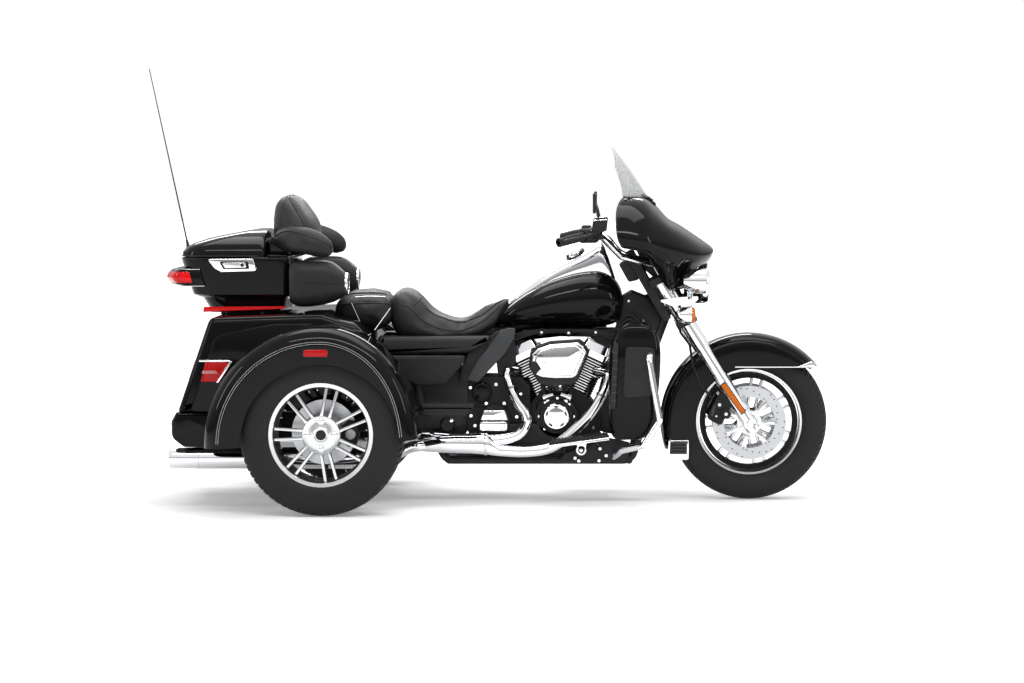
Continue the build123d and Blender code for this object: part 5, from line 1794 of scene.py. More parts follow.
    def lamps(self) -> None:
        """Build the tail lamps that wrap around the trunk's rear corners, with chrome trims."""
        mesh = Mesh("tail_lamps_dressed")
        side_view = [(-1.08, 0.592), (-1.066, 0.5965), (-0.982, 0.5965), (-1.036, 0.5175), (-1.098, 0.5175)]
        outline = rounded(side_view, [0.006, 0.004, 0.012, 0.008, 0.006], 4)
        mesh.use(RED).prism(outline, -0.499, -0.4425, "XZ", 0.006, 3)
        rear = rounded([(-0.402, 0.519), (-0.322, 0.519), (-0.322, 0.595), (-0.402, 0.595)], 0.01, 4)
        mesh.use(RED).rings(
            [[(self.rear_x(z) - back, y, z) for y, z in rear] for back in (-0.008, 0.001, 0.0028)])
        mesh.use(CHROME).prism(
            rounded([(-1.104, 0.5965), (-0.976, 0.5965), (-0.984, 0.6035), (-1.102, 0.6035)], 0.002, 2), -0.502,
            -0.4425, "XZ", 0.0015)
        mesh.use(CHROME).prism(
            [(-0.982, 0.5985), (-0.972, 0.5985), (-1.027, 0.514), (-1.037, 0.514)], -0.5015, -0.4425, "XZ",
            0.0015)
        mesh.use(GLASS).prism(
            rounded([(-1.094, 0.549), (-1.03, 0.549), (-1.038, 0.562), (-1.09, 0.562)], 0.003, 2), -0.5005,
            -0.497, "XZ", 0.001)
        mesh.mirrored()
        mount(mesh.object(PANEL), Body.CHASSIS, Slot.RED, "tail_lamps")

    def build(self) -> None:
        """Build and mount the trunk's pieces."""
        self.shell()
        self.door()
        self.bumper()
        self.lamps()


@dataclass
class TopBox:
    """The top box: rounded base and crowned lid, latch, wrap-around lamps, rack and antenna."""

    half: float = 0.285
    base: tuple[tuple[float, float, float, float], ...] = (
        (0.7905, -1.106, -0.8, 0.235), (0.838, -1.134, -0.79, 0.246), (0.8415, -1.152, -0.778, 0.268),
        (0.852, -1.168, -0.773, 0.279), (0.92, -1.19, -0.771, 0.283), (0.985, -1.211, -0.771, 0.285),
        (0.9965, -1.213, -0.772, 0.2845))
    lid: tuple[tuple[float, float, float, float], ...] = (
        (1.0025, -1.209, -0.866, 0.2845), (1.022, -1.2075, -0.866, 0.284), (1.04, -1.194, -0.866, 0.277),
        (1.056, -1.165, -0.867, 0.262), (1.075, -1.11, -0.868, 0.236), (1.092, -1.03, -0.87, 0.2),
        (1.104, -0.965, -0.873, 0.15), (1.1105, -0.925, -0.878, 0.09))
    stands_for: tuple[str, ...] = ("topbox_base", "topbox_lid", "topbox_lamps", "topbox_rack", "antenna")

    def ring(self, z: float, rear: float, front: float, half: float, soft: Pair = (0.1, 0.045)) -> list[Point]:
        """Give one level's rounded outline seen from above.

        Args:
            z: Its height.
            rear: Its rear end's x.
            front: Its front end's x.
            half: Half its width.
            soft: The rear and front corners' radii.

        Returns:
            The points of the section.
        """
        corners = [(rear, -half), (front, -half), (front, half), (rear, half)]
        bow = rounded(corners, [soft[0], soft[1], soft[1], soft[0]], 8)
        return [(x, y, z) for x, y in bow]

    def base_piece(self) -> None:
        """Build the hollow base with its rim and hinge pins."""
        mesh = Mesh("topbox_base_dressed").use(PAINT)
        outer = [self.ring(*level) for level in self.base]
        inner = [self.ring(z + (0.005 if i == 0 else 0.0), r + 0.005, f - 0.005, h - 0.005) for i,
                 (z, r, f, h) in enumerate(self.base)]
        mesh.rings(outer, caps=False)
        mesh.use(SATIN).rings(list(reversed(inner)), caps=False)
        mesh.rings([outer[-1], inner[-1]], caps=False)
        for row in (outer[0], inner[0]):
            mesh.face([mesh.bm.verts.new(p) for p in row])
        deck = rounded([(-0.862, -0.272), (-0.775, -0.272), (-0.775, 0.272), (-0.862, 0.272)], 0.01, 3)
        mesh.use(PAINT).prism(deck, 0.992, 1.01, "XY", 0.004)
        for hinge in (-1.13, -0.95):
            mesh.use(CHROME).lathe(
                [(0.0, -0.03), (0.004, -0.03), (0.004, 0.03), (0.0, 0.03)], (hinge, 0.2925, 0.9995), AHEAD, 14)
            for x in (hinge - 0.026, hinge + 0.026):
                mesh.use(SATIN).lathe(
                    [(0.004, -0.004), (0.006, -0.004), (0.006, 0.004), (0.004, 0.004)], (x, 0.2925, 0.9995),
                    AHEAD, 18)
                mesh.use(SATIN).block((x, 0.2885, 0.9885), (0.008, 0.014, 0.016), 0.001)
        mesh.use(SATIN).rings(
            [[(x, y, z) for x, y, z in self.ring(0.9975 + d, -1.2125 - g, -0.7715 + g, 0.2848 + g)] for d,
             g in ((-0.0045, -0.004), (-0.004, 0.0012), (0.0, 0.0012), (0.0005, -0.004))], caps=False)
        mount(mesh.object(COVER), Body.CHASSIS, Slot.PAINT, "topbox_base")

    def lid_piece(self) -> None:
        """Build the crowned lid with its rim bead and hinge barrels."""
        mesh = Mesh("topbox_lid_dressed").use(PAINT)
        outer = [self.ring(z, r, f, h, (min(0.1, h * 0.8), 0.03)) for z, r, f, h in self.lid]
        inner = [self.ring(z - 0.006, r + 0.007, f - 0.005, max(h - 0.007, 0.02), (min(0.09, h * 0.7), 0.028))
                 for z, r, f, h in self.lid[1:]]
        low = self.ring(1.0025, -1.202, -0.871, 0.2775)
        mesh.rings([low] + outer, caps=False)
        top = [mesh.bm.verts.new(p) for p in outer[-1]]
        mesh.face(top)
        mesh.use(SATIN).rings([low] + inner, caps=False)
        mesh.face([mesh.bm.verts.new(p) for p in inner[-1]])
        bead = [self.ring(1.0035 + d, -1.2095 - g, -0.866, 0.2848 + g) for d,
                g in ((0.0, -0.002), (0.0005, 0.0018), (0.005, 0.0018), (0.006, -0.001))]
        mesh.use(SATIN).rings(bead, caps=False)
        for hinge in (-1.13, -0.95):
            mesh.use(SATIN).lathe(
                [(0.00405, -0.02), (0.006, -0.02), (0.006, 0.02), (0.00405, 0.02)], (hinge, 0.2925, 0.9995),
                AHEAD, 18)
            mesh.use(SATIN).block((hinge, 0.2885, 1.007), (0.04, 0.012, 0.008), 0.001)
        mount(mesh.object(COVER), Body.LID, Slot.PAINT, "topbox_lid")

    def latch(self) -> None:
        """Build the chrome latch plates with their recessed levers, on both sides."""
        mesh = Mesh("topbox_latch").use(CHROME)
        plate = rounded([(-1.098, 0.995), (-0.914, 0.9965), (-0.898, 0.945), (-1.04, 0.941), (-1.07, 0.958)],
                        [0.008, 0.01, 0.012, 0.014, 0.02], 5)
        mesh.prism(plate, -0.2915, -0.276, "XZ", 0.003)
        # A dark plate behind the lever: painted shade in its recess.
        mesh.use(BLACK_AND_SHADE).prism(
            rounded([(-1.05, 0.984), (-0.935, 0.985), (-0.928, 0.955), (-1.032, 0.953)], 0.006, 4), -0.2922,
            -0.286, "XZ", 0.001)
        mesh.use(MACHINED).prism(
            rounded([(-1.04, 0.98), (-0.945, 0.981), (-0.939, 0.959), (-1.026, 0.957)], 0.006, 4), -0.2945,
            -0.287, "XZ", 0.002)
        mesh.use(SATIN).lathe(
            [(0.0, 0.0), (0.007, 0.0), (0.007, 0.0015), (0.0, 0.002)], (-0.957, -0.2942, 0.97), RIGHT, 20)
        mesh.mirrored()
        mount(mesh.object(PANEL), Body.CHASSIS, Slot.CHROME)

    def lamps(self) -> None:
        """Build the wrap-around red lamps with their chrome rim, and the long strip under the box."""
        mesh = Mesh("topbox_lamps_dressed")
        bezel = self.wrap(
            ((0.886, -1.24, 0.287), (0.892, -1.259, 0.2895), (0.918, -1.2745, 0.2905), (0.946, -1.263, 0.2895),
             (0.953, -1.251, 0.287)), -1.118)
        mesh.use(PAINT).rings(bezel)
        mesh.use(RED).rings(
            self.wrap(
                ((0.8985, -1.262, 0.2895), (0.903, -1.2695, 0.2915), (0.92, -1.2785, 0.2925),
                 (0.938, -1.271, 0.2915), (0.9435, -1.264, 0.2895)), -1.163))
        for row in (bezel[0], bezel[-1]):
            for part in (row[:30], row[-30:]):
                mesh.use(CHROME).tube([(x, y, z) for x, y, z in part], 0.0012, 6, 1)
        strip = [(-1.118, 0.7815), (-1.114, 0.802), (-0.792, 0.8045), (-0.788, 0.7945)]
        for side in (-1, 1):
            ys = sorted((side * 0.2595, side * 0.2755))
            mesh.use(RED).prism(rounded(strip, 0.002, 2), ys[0], ys[1], "XZ", 0.0015)
        mount(mesh.object(PANEL), Body.CHASSIS, Slot.RED, "topbox_lamps")

    def wrap(self, levels: Sequence[Sequence[float]], front_x: float) -> list[list[Point]]:
        """Give the level outlines of a band that wraps around the box's rear.

        Args:
            levels: Each level's height, rear X and half width.
            front_x: Where the band's ends are.

        Returns:
            The closed outlines.
        """
        rows = []
        for z, rear, half in levels:
            front = front_x - (z - 0.92) * 0.3
            bow = rounded(
                [(rear, -half * 0.62), (rear + 0.045, -half), (front, -half), (front, -0.27), (-1.18, -0.262),
                 (-1.196, -0.2), (-1.196, 0.2), (-1.18, 0.262), (front, 0.27), (front, half),
                 (rear + 0.045, half), (rear, half * 0.62)],
                [0.12, 0.05, 0.004, 0.004, 0.01, 0.02, 0.02, 0.01, 0.004, 0.004, 0.05, 0.12], 5)
            rows.append([(x, y, z) for x, y in bow])
        return rows

    def rack(self) -> None:
        """Build the mounting rack between box and trunk: two rails, feet and bolts."""
        mesh = Mesh("topbox_rack_dressed").use(SATIN)
        for side in (-1, 1):
            foot = rounded([(-1.06, 0.7675), (-0.86, 0.7742), (-0.872, 0.79), (-1.05, 0.79)], 0.006, 4)
            ys = sorted((side * 0.082, side * 0.198))
            mesh.use(SATIN).prism(foot, ys[0], ys[1], "XZ", 0.002)
            mesh.tube(
                [(-1.095, side * 0.205, 0.7845), (-0.95, side * 0.208, 0.7835), (-0.815, side * 0.205, 0.7865)],
                0.0065, 12, 4)
            for x in (-1.03, -0.89):
                mesh.use(CHROME).lathe(
                    button(0.008, 0.003, 0.0055, 0.0045), (x, side * 0.198, 0.78), (0, side, 0), 12)
        mount(mesh.object(PANEL), Body.CHASSIS, Slot.SATIN, "topbox_rack")

    def mast(self) -> None:
        """Build the antenna: bracket, base spring and a tapering whip."""
        mesh = Mesh("antenna_dressed").use(SATIN)
        foot, tip = Vector((-1.238, 0.2, 1.0)), Vector((-1.4, 0.2, 1.77))
        mesh.prism(rounded([(-1.245, 0.97), (-1.206, 0.97), (-1.211, 0.99), (-1.245, 0.99)], 0.004, 3), 0.181,
                   0.219, "XZ", 0.002)
        way = (tip - foot).normalized()
        mesh.lathe([(0.0, -0.015), (0.009, -0.015), (0.009, 0.03), (0.006, 0.042), (0.0045, 0.06), (0.0, 0.06)],
                   tuple(foot), tuple(way), 20)
        mesh.use(BLACK_AND_SHADE).tube([foot + way * 0.05, foot.lerp(tip, 0.5), tip], [0.0032, 0.0024, 0.0016], 10, 4)
        mesh.use(CHROME).lathe(
            [(0.0, 0.0), (0.003, 0.0), (0.003, 0.006), (0.0, 0.008)], tuple(tip - way * 0.004), tuple(way), 12)
        mount(mesh.object(PANEL), Body.CHASSIS, Slot.SATIN, "antenna")

    def build(self) -> None:
        """Build and mount the top box's pieces."""
        self.base_piece()
        self.lid_piece()
        self.latch()
        self.lamps()
        self.rack()
        self.mast()


# ---------------------------------------------------------------- upholstery
@dataclass
class Seats:
    """Rider's seat, passenger's seat, wrap-around backrest and the speaker pods beside it."""

    rider: tuple[tuple[float, ...], ...] = (
        (-0.366, 0.7, 0.848, 0.15), (-0.335, 0.656, 0.87, 0.172), (-0.298, 0.648, 0.862, 0.18),
        (-0.262, 0.646, 0.822, 0.182), (-0.224, 0.646, 0.777, 0.182), (-0.18, 0.646, 0.748, 0.18),
        (-0.122, 0.65, 0.729, 0.172), (-0.075, 0.658, 0.731, 0.152), (-0.019, 0.676, 0.761, 0.118),
        (0.03, 0.716, 0.8, 0.08), (0.063, 0.756, 0.827, 0.055), (0.088, 0.796, 0.838, 0.03))
    passenger: tuple[tuple[float, ...], ...] = (
        (-0.6, 0.745, 0.822, 0.13), (-0.57, 0.715, 0.842, 0.168), (-0.52, 0.706, 0.851, 0.184),
        (-0.45, 0.704, 0.855, 0.188), (-0.405, 0.704, 0.852, 0.184), (-0.374, 0.724, 0.838, 0.16))
    back: tuple[tuple[float, ...], ...] = (
        (1.01, -0.806, -0.702, 0.18), (1.06, -0.838, -0.682, 0.2), (1.11, -0.847, -0.676, 0.205),
        (1.15, -0.848, -0.692, 0.196), (1.195, -0.843, -0.726, 0.172), (1.225, -0.836, -0.751, 0.144),
        (1.246, -0.825, -0.772, 0.106), (1.257, -0.811, -0.788, 0.06))
    pods: tuple[tuple[float, ...], ...] = (
        (-0.768, 0.822, 0.976, 0.044), (-0.745, 0.806, 0.986, 0.056), (-0.69, 0.803, 0.989, 0.062),
        (-0.605, 0.818, 0.984, 0.062), (-0.566, 0.836, 0.958, 0.058), (-0.545, 0.85, 0.938, 0.052))
    pod_y: float = 0.266

    def cushion(self, name: str, mesh: Mesh, cap: float, seams: Sequence[Sequence[Point]],
                node: str) -> None:
        """Swell one cushion, sew its piping and mount both.

        Args:
            name: The cushion's name.
            mesh: Its slightly small closed form.
            cap: How far its cover may swell.
            seams: Lines near its cover on the right-hand side; the left has their mirror images.
            node: The solid that it stands for.
        """
        cover = plump(mesh, LEATHER, cap)
        piping = Mesh(name + "_piping").use(PLASTIC)
        for path in seams:
            seam(piping, cover, path)
            if any(abs(p[1]) > 0.01 for p in path):
                seam(piping, cover, [(x, -y, z) for x, y, z in path])
        cover.name = name
        mount(cover, Body.CHASSIS, Slot.LEATHER, node)
        mount(piping.object(SEWN), Body.CHASSIS, Slot.LEATHER)

    def build(self) -> None:
        """Build and mount the upholstery and pods."""
        edge = [(x, -half, low + (high - low) * 0.72) for x, low, high, half in self.rider[1:-1]]
        welt = [(-0.262, y, 0.822) for y in (-0.17, -0.12, -0.06, 0.0, 0.06, 0.12, 0.17)]
        nose = [(0.075, -0.012, 0.84), (0.03, -0.045, 0.8), (-0.03, -0.085, 0.76), (-0.1, -0.115, 0.735),
                (-0.18, -0.12, 0.75), (-0.235, -0.12, 0.79)]
        self.cushion("rider_cushion", Mesh("rider").loft(self.rider, 2.7), 0.016, [edge, welt, nose],
                     "rider_seat")
        side = [(x, -half, low + (high - low) * 0.76) for x, low, high, half in self.passenger[1:]]
        top = [(-0.56, -0.1, 0.85), (-0.5, -0.115, 0.86), (-0.42, -0.115, 0.86), (-0.385, -0.1, 0.85)]
        self.cushion("passenger_cushion", Mesh("passenger").loft(self.passenger, 3.0), 0.014, [side, top],
                     "passenger_seat")
        mesh = Mesh("back").loft(self.back, 2.6, axis="Z")
        wing = [0.01, 0.028, 0.038, 0.043, 0.042, 0.038, 0.034]
        arm = [(-0.597, -0.284, 1.016), (-0.616, -0.286, 1.028), (-0.65, -0.286, 1.046), (-0.7, -0.28, 1.062),
               (-0.755, -0.25, 1.07), (-0.795, -0.19, 1.072), (-0.806, -0.1, 1.072)]
        mesh.tube(arm, wing, 20, 6, flat=1.32)
        mesh.tube([(x, -y, z) for x, y, z in arm], wing, 20, 6, flat=1.32)
        ridge = [(-0.72, -0.19, 1.02), (-0.7, -0.2, 1.09), (-0.725, -0.19, 1.17), (-0.765, -0.15, 1.235),
                 (-0.79, -0.06, 1.262), (-0.79, 0.0, 1.266)]
        around = [(-0.6, -0.3, 1.04), (-0.64, -0.33, 1.075), (-0.7, -0.33, 1.1), (-0.78, -0.27, 1.11),
                  (-0.84, -0.2, 1.09)]
        self.cushion("backrest_cushion", mesh, 0.016, [ridge, around], "backrest_pad")
        self.speakers()
        trim = Mesh("seat_trim").use(CHROME)
        trim.tube([(-0.514, -0.198, 0.838), (-0.455, -0.203, 0.841), (-0.393, -0.198, 0.839)], 0.0035, 10, 4,
                  flat=0.6)
        for path in ([(-0.53, -0.197, 0.814), (-0.486, -0.2, 0.718)],
                     [(-0.373, -0.195, 0.794), (-0.437, -0.198, 0.705)]):
            trim.tube(path, 0.002, 8, 1)
        mount(trim.mirrored().object(PRESSED), Body.CHASSIS, Slot.CHROME)

    def speakers(self) -> None:
        """Build the two speaker pods, each with a chrome ring and a pierced grille facing forwards."""
        mesh = Mesh("speaker_pods_dressed").use(SATIN).loft(self.pods, 3.2, y=-self.pod_y)
        front, z = -0.5445, 0.894
        ring = [(0.046, -0.004), (0.046, 0.006), (0.043, 0.0095), (0.039, 0.0095), (0.038, 0.003),
                (0.038, -0.004)]
        mesh.use(CHROME).lathe(ring, (front, -self.pod_y, z), AHEAD, 48)
        mesh.use(BLACK_AND_SHADE).lathe(
            [(0.0, 0.0), (0.0385, 0.0), (0.0385, 0.003), (0.0, 0.007)], (front, -self.pod_y, z), AHEAD, 40)
        for radius in (0.01, 0.018, 0.026, 0.034):
            mesh.use(PLASTIC).lathe(
                [(radius - 0.0012, 0.003), (radius + 0.0012, 0.003), (radius + 0.0012, 0.0085),
                 (radius - 0.0012, 0.0085)], (front, -self.pod_y, z), AHEAD, 40)
        mesh.use(PLASTIC).tube(
            [(-0.762, -self.pod_y - 0.046, 0.9), (-0.69, -self.pod_y - 0.0635, 0.902),
             (-0.6, -self.pod_y - 0.063, 0.902), (-0.552, -self.pod_y - 0.054, 0.898)], 0.0022, 8, 5)
        mesh.mirrored()
        hold = rounded(
            [(-0.861, 1.008), (-0.772, 1.008), (-0.772, 1.03), (-0.8, 1.075), (-0.845, 1.085), (-0.861, 1.06)],
            0.008)
        mesh.use(PAINT).prism(hold, -0.235, 0.235, "XZ", 0.01)
        mount(mesh.object(MOULDED), Body.CHASSIS, Slot.PLASTIC, "speaker_pods")

    stands_for: tuple[str, ...] = ("rider_seat", "passenger_seat", "backrest_pad", "speaker_pods")


# ---------------------------------------------------------------- tank and front body
@dataclass
class Tank:
    """The fuel tank and the chrome console on its ridge."""

    tank: tuple[tuple[float, ...], ...] = (
        (0.045, 0.712, 0.733, 0.026), (0.06, 0.708, 0.765, 0.06), (0.111, 0.711, 0.811, 0.097),
        (0.18, 0.714, 0.857, 0.122), (0.259, 0.712, 0.896, 0.14), (0.34, 0.708, 0.924, 0.149),
        (0.42, 0.707, 0.94, 0.15), (0.48, 0.71, 0.938, 0.143), (0.53, 0.722, 0.908, 0.121),
        (0.556, 0.748, 0.87, 0.088), (0.567, 0.785, 0.83, 0.04))
    console: tuple[tuple[float, ...], ...] = (
        (0.108, 0.79, 0.812, 0.016), (0.13, 0.79, 0.836, 0.034), (0.19, 0.815, 0.886, 0.044),
        (0.26, 0.85, 0.936, 0.048), (0.33, 0.87, 0.978, 0.05), (0.4, 0.88, 1.013, 0.05),
        (0.445, 0.88, 1.04, 0.049), (0.478, 0.88, 1.053, 0.045), (0.5, 0.88, 1.012, 0.042),
        (0.52, 0.88, 0.955, 0.036), (0.536, 0.88, 0.905, 0.02))
    stands_for: tuple[str, ...] = ("fuel_tank", "tank_console")

    def build(self) -> None:
        """Build and mount the tank and the console."""
        mesh = Mesh("fuel_tank_dressed").use(PAINT).loft(self.tank, 2.35, 56, steps=6)
        mesh.use(SATIN).tube([(0.07, 0.0, 0.712), (0.3, 0.0, 0.704), (0.5, 0.0, 0.712)], 0.006, 8, 5)
        mount(mesh.object(SWEPT), Body.CHASSIS, Slot.PAINT, "fuel_tank")
        mesh = Mesh("tank_console_dressed").use(CHROME).loft(self.console, 3.0, 40, steps=5)
        way = Vector((-0.42, 0.0, 0.91)).normalized()
        face = Vector((0.372, 0.0, 0.999))
        mesh.lathe(
            [(0.0, 0.0), (0.043, 0.0), (0.043, 0.012), (0.04, 0.017), (0.036, 0.017), (0.0355, 0.012),
             (0.0, 0.012)], tuple(face), tuple(way), 48)
        mesh.use(BLACK_AND_SHADE).lathe(
            [(0.0, 0.012), (0.0355, 0.012), (0.0355, 0.0128), (0.0, 0.0128)], tuple(face), tuple(way), 40)
        source = Mesh("tick").block((0.03, 0.0, 0.0), (0.006, 0.0012, 0.0008), 0.0)
        turned = Mesh("dial").use(MACHINED).repeat(source, 9, NO_MOVE, UP, 0.58)
        turn = way.to_track_quat("Z", "Y").to_matrix().to_4x4()
        bmesh.ops.transform(turned.bm, matrix=Matrix.Translation(face + way * 0.0132) @ turn,
                            verts=turned.bm.verts)
        mesh.use(MACHINED).absorb(turned.bm)
        mount(mesh.object(BENT), Body.CHASSIS, Slot.CHROME, "tank_console")


@dataclass
class Fairing:
    """The fork-mounted fairing, its dash, windshield, headlamp, passing lamps and turn signals."""

    sections: tuple[tuple[float, tuple[Pair, ...]], ...] = (
        (0.542, (
            (0.0, 1.05), (0.3, 1.037), (0.374, 1.045), (0.391, 1.077), (0.384, 1.112), (0.334, 1.184),
            (0.245, 1.232), (0.0, 1.235))),
        (0.6, (
            (0.0, 1.04), (0.28, 1.03), (0.372, 1.036), (0.391, 1.07), (0.382, 1.11), (0.332, 1.184),
            (0.24, 1.233), (0.0, 1.236))),
        (0.66, (
            (0.0, 1.0), (0.21, 1.001), (0.335, 1.016), (0.377, 1.056), (0.368, 1.1), (0.318, 1.17),
            (0.22, 1.222), (0.0, 1.234))),
        (0.7, (
            (0.0, 0.935), (0.19, 0.938), (0.29, 0.984), (0.351, 1.036), (0.345, 1.084), (0.295, 1.148),
            (0.2, 1.19), (0.0, 1.206))),
        (0.75, (
            (0.0, 0.862), (0.18, 0.87), (0.25, 0.95), (0.314, 1.018), (0.311, 1.064), (0.268, 1.114),
            (0.185, 1.141), (0.0, 1.152))),
        (0.795, (
            (0.0, 0.862), (0.15, 0.874), (0.212, 0.944), (0.276, 1.006), (0.274, 1.046), (0.236, 1.088),
            (0.16, 1.114), (0.0, 1.128))),
        (0.838, (
            (0.0, 0.88), (0.11, 0.89), (0.17, 0.948), (0.232, 0.998), (0.23, 1.03), (0.196, 1.064),
            (0.13, 1.087), (0.0, 1.1))),
        (0.875, (
            (0.0, 0.948), (0.09, 0.95), (0.14, 0.964), (0.184, 0.994), (0.183, 1.019), (0.155, 1.044),
            (0.102, 1.062), (0.0, 1.075))),
        (0.905, (
            (0.0, 0.966), (0.06, 0.968), (0.096, 0.977), (0.128, 0.998), (0.127, 1.014), (0.105, 1.032),
            (0.07, 1.045), (0.0, 1.054))),
        (0.925, (
            (0.0, 0.986), (0.04, 0.988), (0.062, 0.994), (0.08, 1.005), (0.079, 1.014), (0.066, 1.025),
            (0.045, 1.033), (0.0, 1.039))),
        (0.936, (
            (0.0, 1.008), (0.014, 1.009), (0.02, 1.012), (0.026, 1.015), (0.026, 1.018), (0.021, 1.022),
            (0.014, 1.025), (0.0, 1.026))),
    )
    stands_for: tuple[str, ...] = (
        "fairing_outer", "fairing_inner", "windshield", "headlamp", "headlamp_lens", "passing_lamps",
        "turn_signals")

    def bow(self, x: float, z: float) -> float:
        """Give X with the rear rim bowed: its top and bottom lie further forward."""
        away = min(abs(z - 1.135) / 0.105, 1.0)
        return x + 0.034 * away ** 3 * max(0.66 - x, 0.0) / 0.118

    def ring(self, x: float, half: Sequence[Vector], wall: float = 0.0) -> list[Point]:
        """Give one closed section from its right-hand half, moved inwards by a wall.

        Args:
            x: Its place along the vehicle.
            half: Half its width.
            wall: How far inwards it lies.

        Returns:
            The points of the section.
        """
        top, low = half[-1].y, half[0].y
        out = []
        for p in half:
            share = (p.y - (top + low) / 2) / max((top - low) / 2, 1e-6)
            level = p.y - share * wall
            out.append((self.bow(x, level), -max(p.x - wall, 0.0), level))
        return out + [(place, -y, z) for place, y, z in reversed(out[1:-1])]

    def shell(self) -> None:
        """Build the painted shell with its wall, rim bead and vent."""
        mesh = Mesh("fairing_outer_dressed").use(PAINT)
        places = spline([(x, 0.0) for x, _ in self.sections], 4)
        columns = [spline([Vector((x, *section[k])) for x, section in self.sections], 4) for k in range(8)]
        halves = []
        for k, place in enumerate(places):
            halves.append((place.x, spline([(max(col[k].y, 0.0), col[k].z) for col in columns], 4)))
        outer = [self.ring(x, half) for x, half in reversed(halves)]
        inner = [self.ring(x, half, 0.009) for x, half in halves[:15]]
        mesh.rings(outer + [self.ring(halves[0][0] - 0.001, halves[0][1], 0.003)] + inner)
        rim = self.ring(halves[0][0] - 0.001, halves[0][1], 0.0045)
        mesh.use(PLASTIC).tube(rim, 0.0038, 8, 1, closed=True)
        # The vent is a dark band: painted shade in its opening.
        vent = rounded([(0.7, -0.075), (0.7, 0.075), (0.64, 0.115), (0.64, -0.115)], 0.012, 4)
        mesh.use(BLACK_AND_SHADE).rings(
            [[(x, y, 1.236 - (x - 0.66) * 0.62 + lift) for x, y in vent] for lift in (-0.012, 0.004)])
        for y in (-0.04, 0.0, 0.04):
            mesh.use(PLASTIC).block(
                (0.668, y, 1.238), (0.05, 0.003, 0.008), 0.001, Matrix.Rotation(math.radians(32), 3, "Y"))
        mount(mesh.object(PRESSED), Body.STEERING, Slot.PAINT, "fairing_outer")

    def dash(self) -> None:
        """Build the dash on the inner fairing: gauges with rims and ticks, and a radio panel."""

        def extra(mesh: Mesh) -> None:
            """Add the dials and the panel.

            Args:
                mesh: The mesh that takes the parts.
            """
            for y, z, radius in (
                (-0.052, 1.165, 0.044), (0.052, 1.165, 0.044), (-0.15, 1.15, 0.027), (0.15, 1.15, 0.027),
                (-0.222, 1.13, 0.027), (0.222, 1.13, 0.027)):
                mesh.use(CHROME).lathe(
                    [(radius, -0.004), (radius, 0.006), (radius * 0.93, 0.009), (radius * 0.86, 0.006),
                     (radius * 0.86, -0.004)], (0.551, y, z), (-1, 0, 0.1), 40)
                mesh.use(BLACK_AND_SHADE).lathe(
                    [(0.0, 0.0), (radius * 0.87, 0.0), (radius * 0.87, 0.002), (0.0, 0.002)], (0.551, y, z),
                    (-1, 0, 0.1), 32)
                mesh.use(MACHINED).block((0.5475, y, z + radius * 0.3), (0.001, 0.002, radius * 0.7), 0.0)
            mesh.use(SATIN).prism(
                rounded([(-0.085, 1.068), (0.085, 1.068), (0.085, 1.112), (-0.085, 1.112)], 0.006, 3), 0.546,
                0.556, "YZ", 0.002)
            mesh.use(GREY_PLASTIC).prism(
                rounded([(-0.07, 1.078), (0.07, 1.078), (0.07, 1.104), (-0.07, 1.104)], 0.004, 3), 0.544, 0.552,
                "YZ", 0.001)
            for side in (-1, 1):
                mesh.use(PLASTIC).lathe(
                    [(0.0, 0.0), (0.052, 0.0), (0.052, 0.005), (0.045, 0.008), (0.0, 0.006)],
                    (0.553, side * 0.305, 1.105), (-1, 0, 0.1), 40)

        inner = two_tone("fairing_inner", Body.STEERING, Slot.PLASTIC, lambda centre, normal: PLASTIC, CRISP,
                         extra)
        for vert in inner.data.vertices:
            vert.co.x = self.bow(vert.co.x, vert.co.z)

    def screen(self) -> None:
        """Build the windshield as one curved, thin sheet with a rolled rim."""
        rows = []
        for j in range(25):
            v = j / 24
            row = []
            for i in range(33):
                u = i / 16 - 1.0
                width = 0.244 - 0.07 * v ** 1.6
                top = 1.447 - 0.085 * abs(u) ** 3.2
                base_x, tip_x = 0.668 - 0.1 * u * u, 0.52 - 0.01 * u * u
                height = 1.237 + (top - 1.237) * v
                x = base_x + (tip_x - base_x) * (height - 1.237) / 0.21 + 0.006 * math.sin(math.pi * v)
                row.append((x, u * width, height))
            rows.append(row)
        mesh = Mesh("windshield_dressed").use(SHIELD).grid(rows)
        obj = mesh.object(SWEPT)
        thick = obj.modifiers.new("Thickness", "SOLIDIFY")
        thick.thickness = 0.004
        thick.offset = 0.0
        mount(obj, Body.STEERING, Slot.GLASS, "windshield")
        trim = Mesh("windshield_trim").use(SATIN)
        trim.tube(
            [(0.672 - 0.1 * u * u, u * 0.246, 1.239) for u in (-1, -0.75, -0.5, -0.25, 0, 0.25, 0.5, 0.75, 1)],
            0.006, 8, 4, flat=0.5)
        mount(trim.object(SWEPT), Body.STEERING, Slot.SATIN)

    def lamp(self, mesh: Mesh, centre: Point, radius: float, depth: float) -> None:
        """Build one round lamp facing forwards: shell, rim, reflector and bulb cover.

        Args:
            mesh: The mesh that takes the parts.
            centre: Its middle.
            radius: Its radius.
            depth: Its depth.
        """
        bowl = [(0.0, -depth), (radius * 0.55, -depth * 0.92), (radius * 0.9, -depth * 0.55), (radius, -0.004),
                (radius, 0.01), (radius * 0.96, 0.016), (radius * 0.9, 0.013), (radius * 0.89, 0.0),
                (radius * 0.6, -depth * 0.45), (0.0, -depth * 0.6)]
        mesh.use(CHROME).lathe(bowl, centre, AHEAD, 64)
        mesh.lathe([(0.0, -depth * 0.5), (radius * 0.16, -depth * 0.5), (radius * 0.18, -0.012), (0.0, -0.006)],
                   centre, AHEAD, 32)

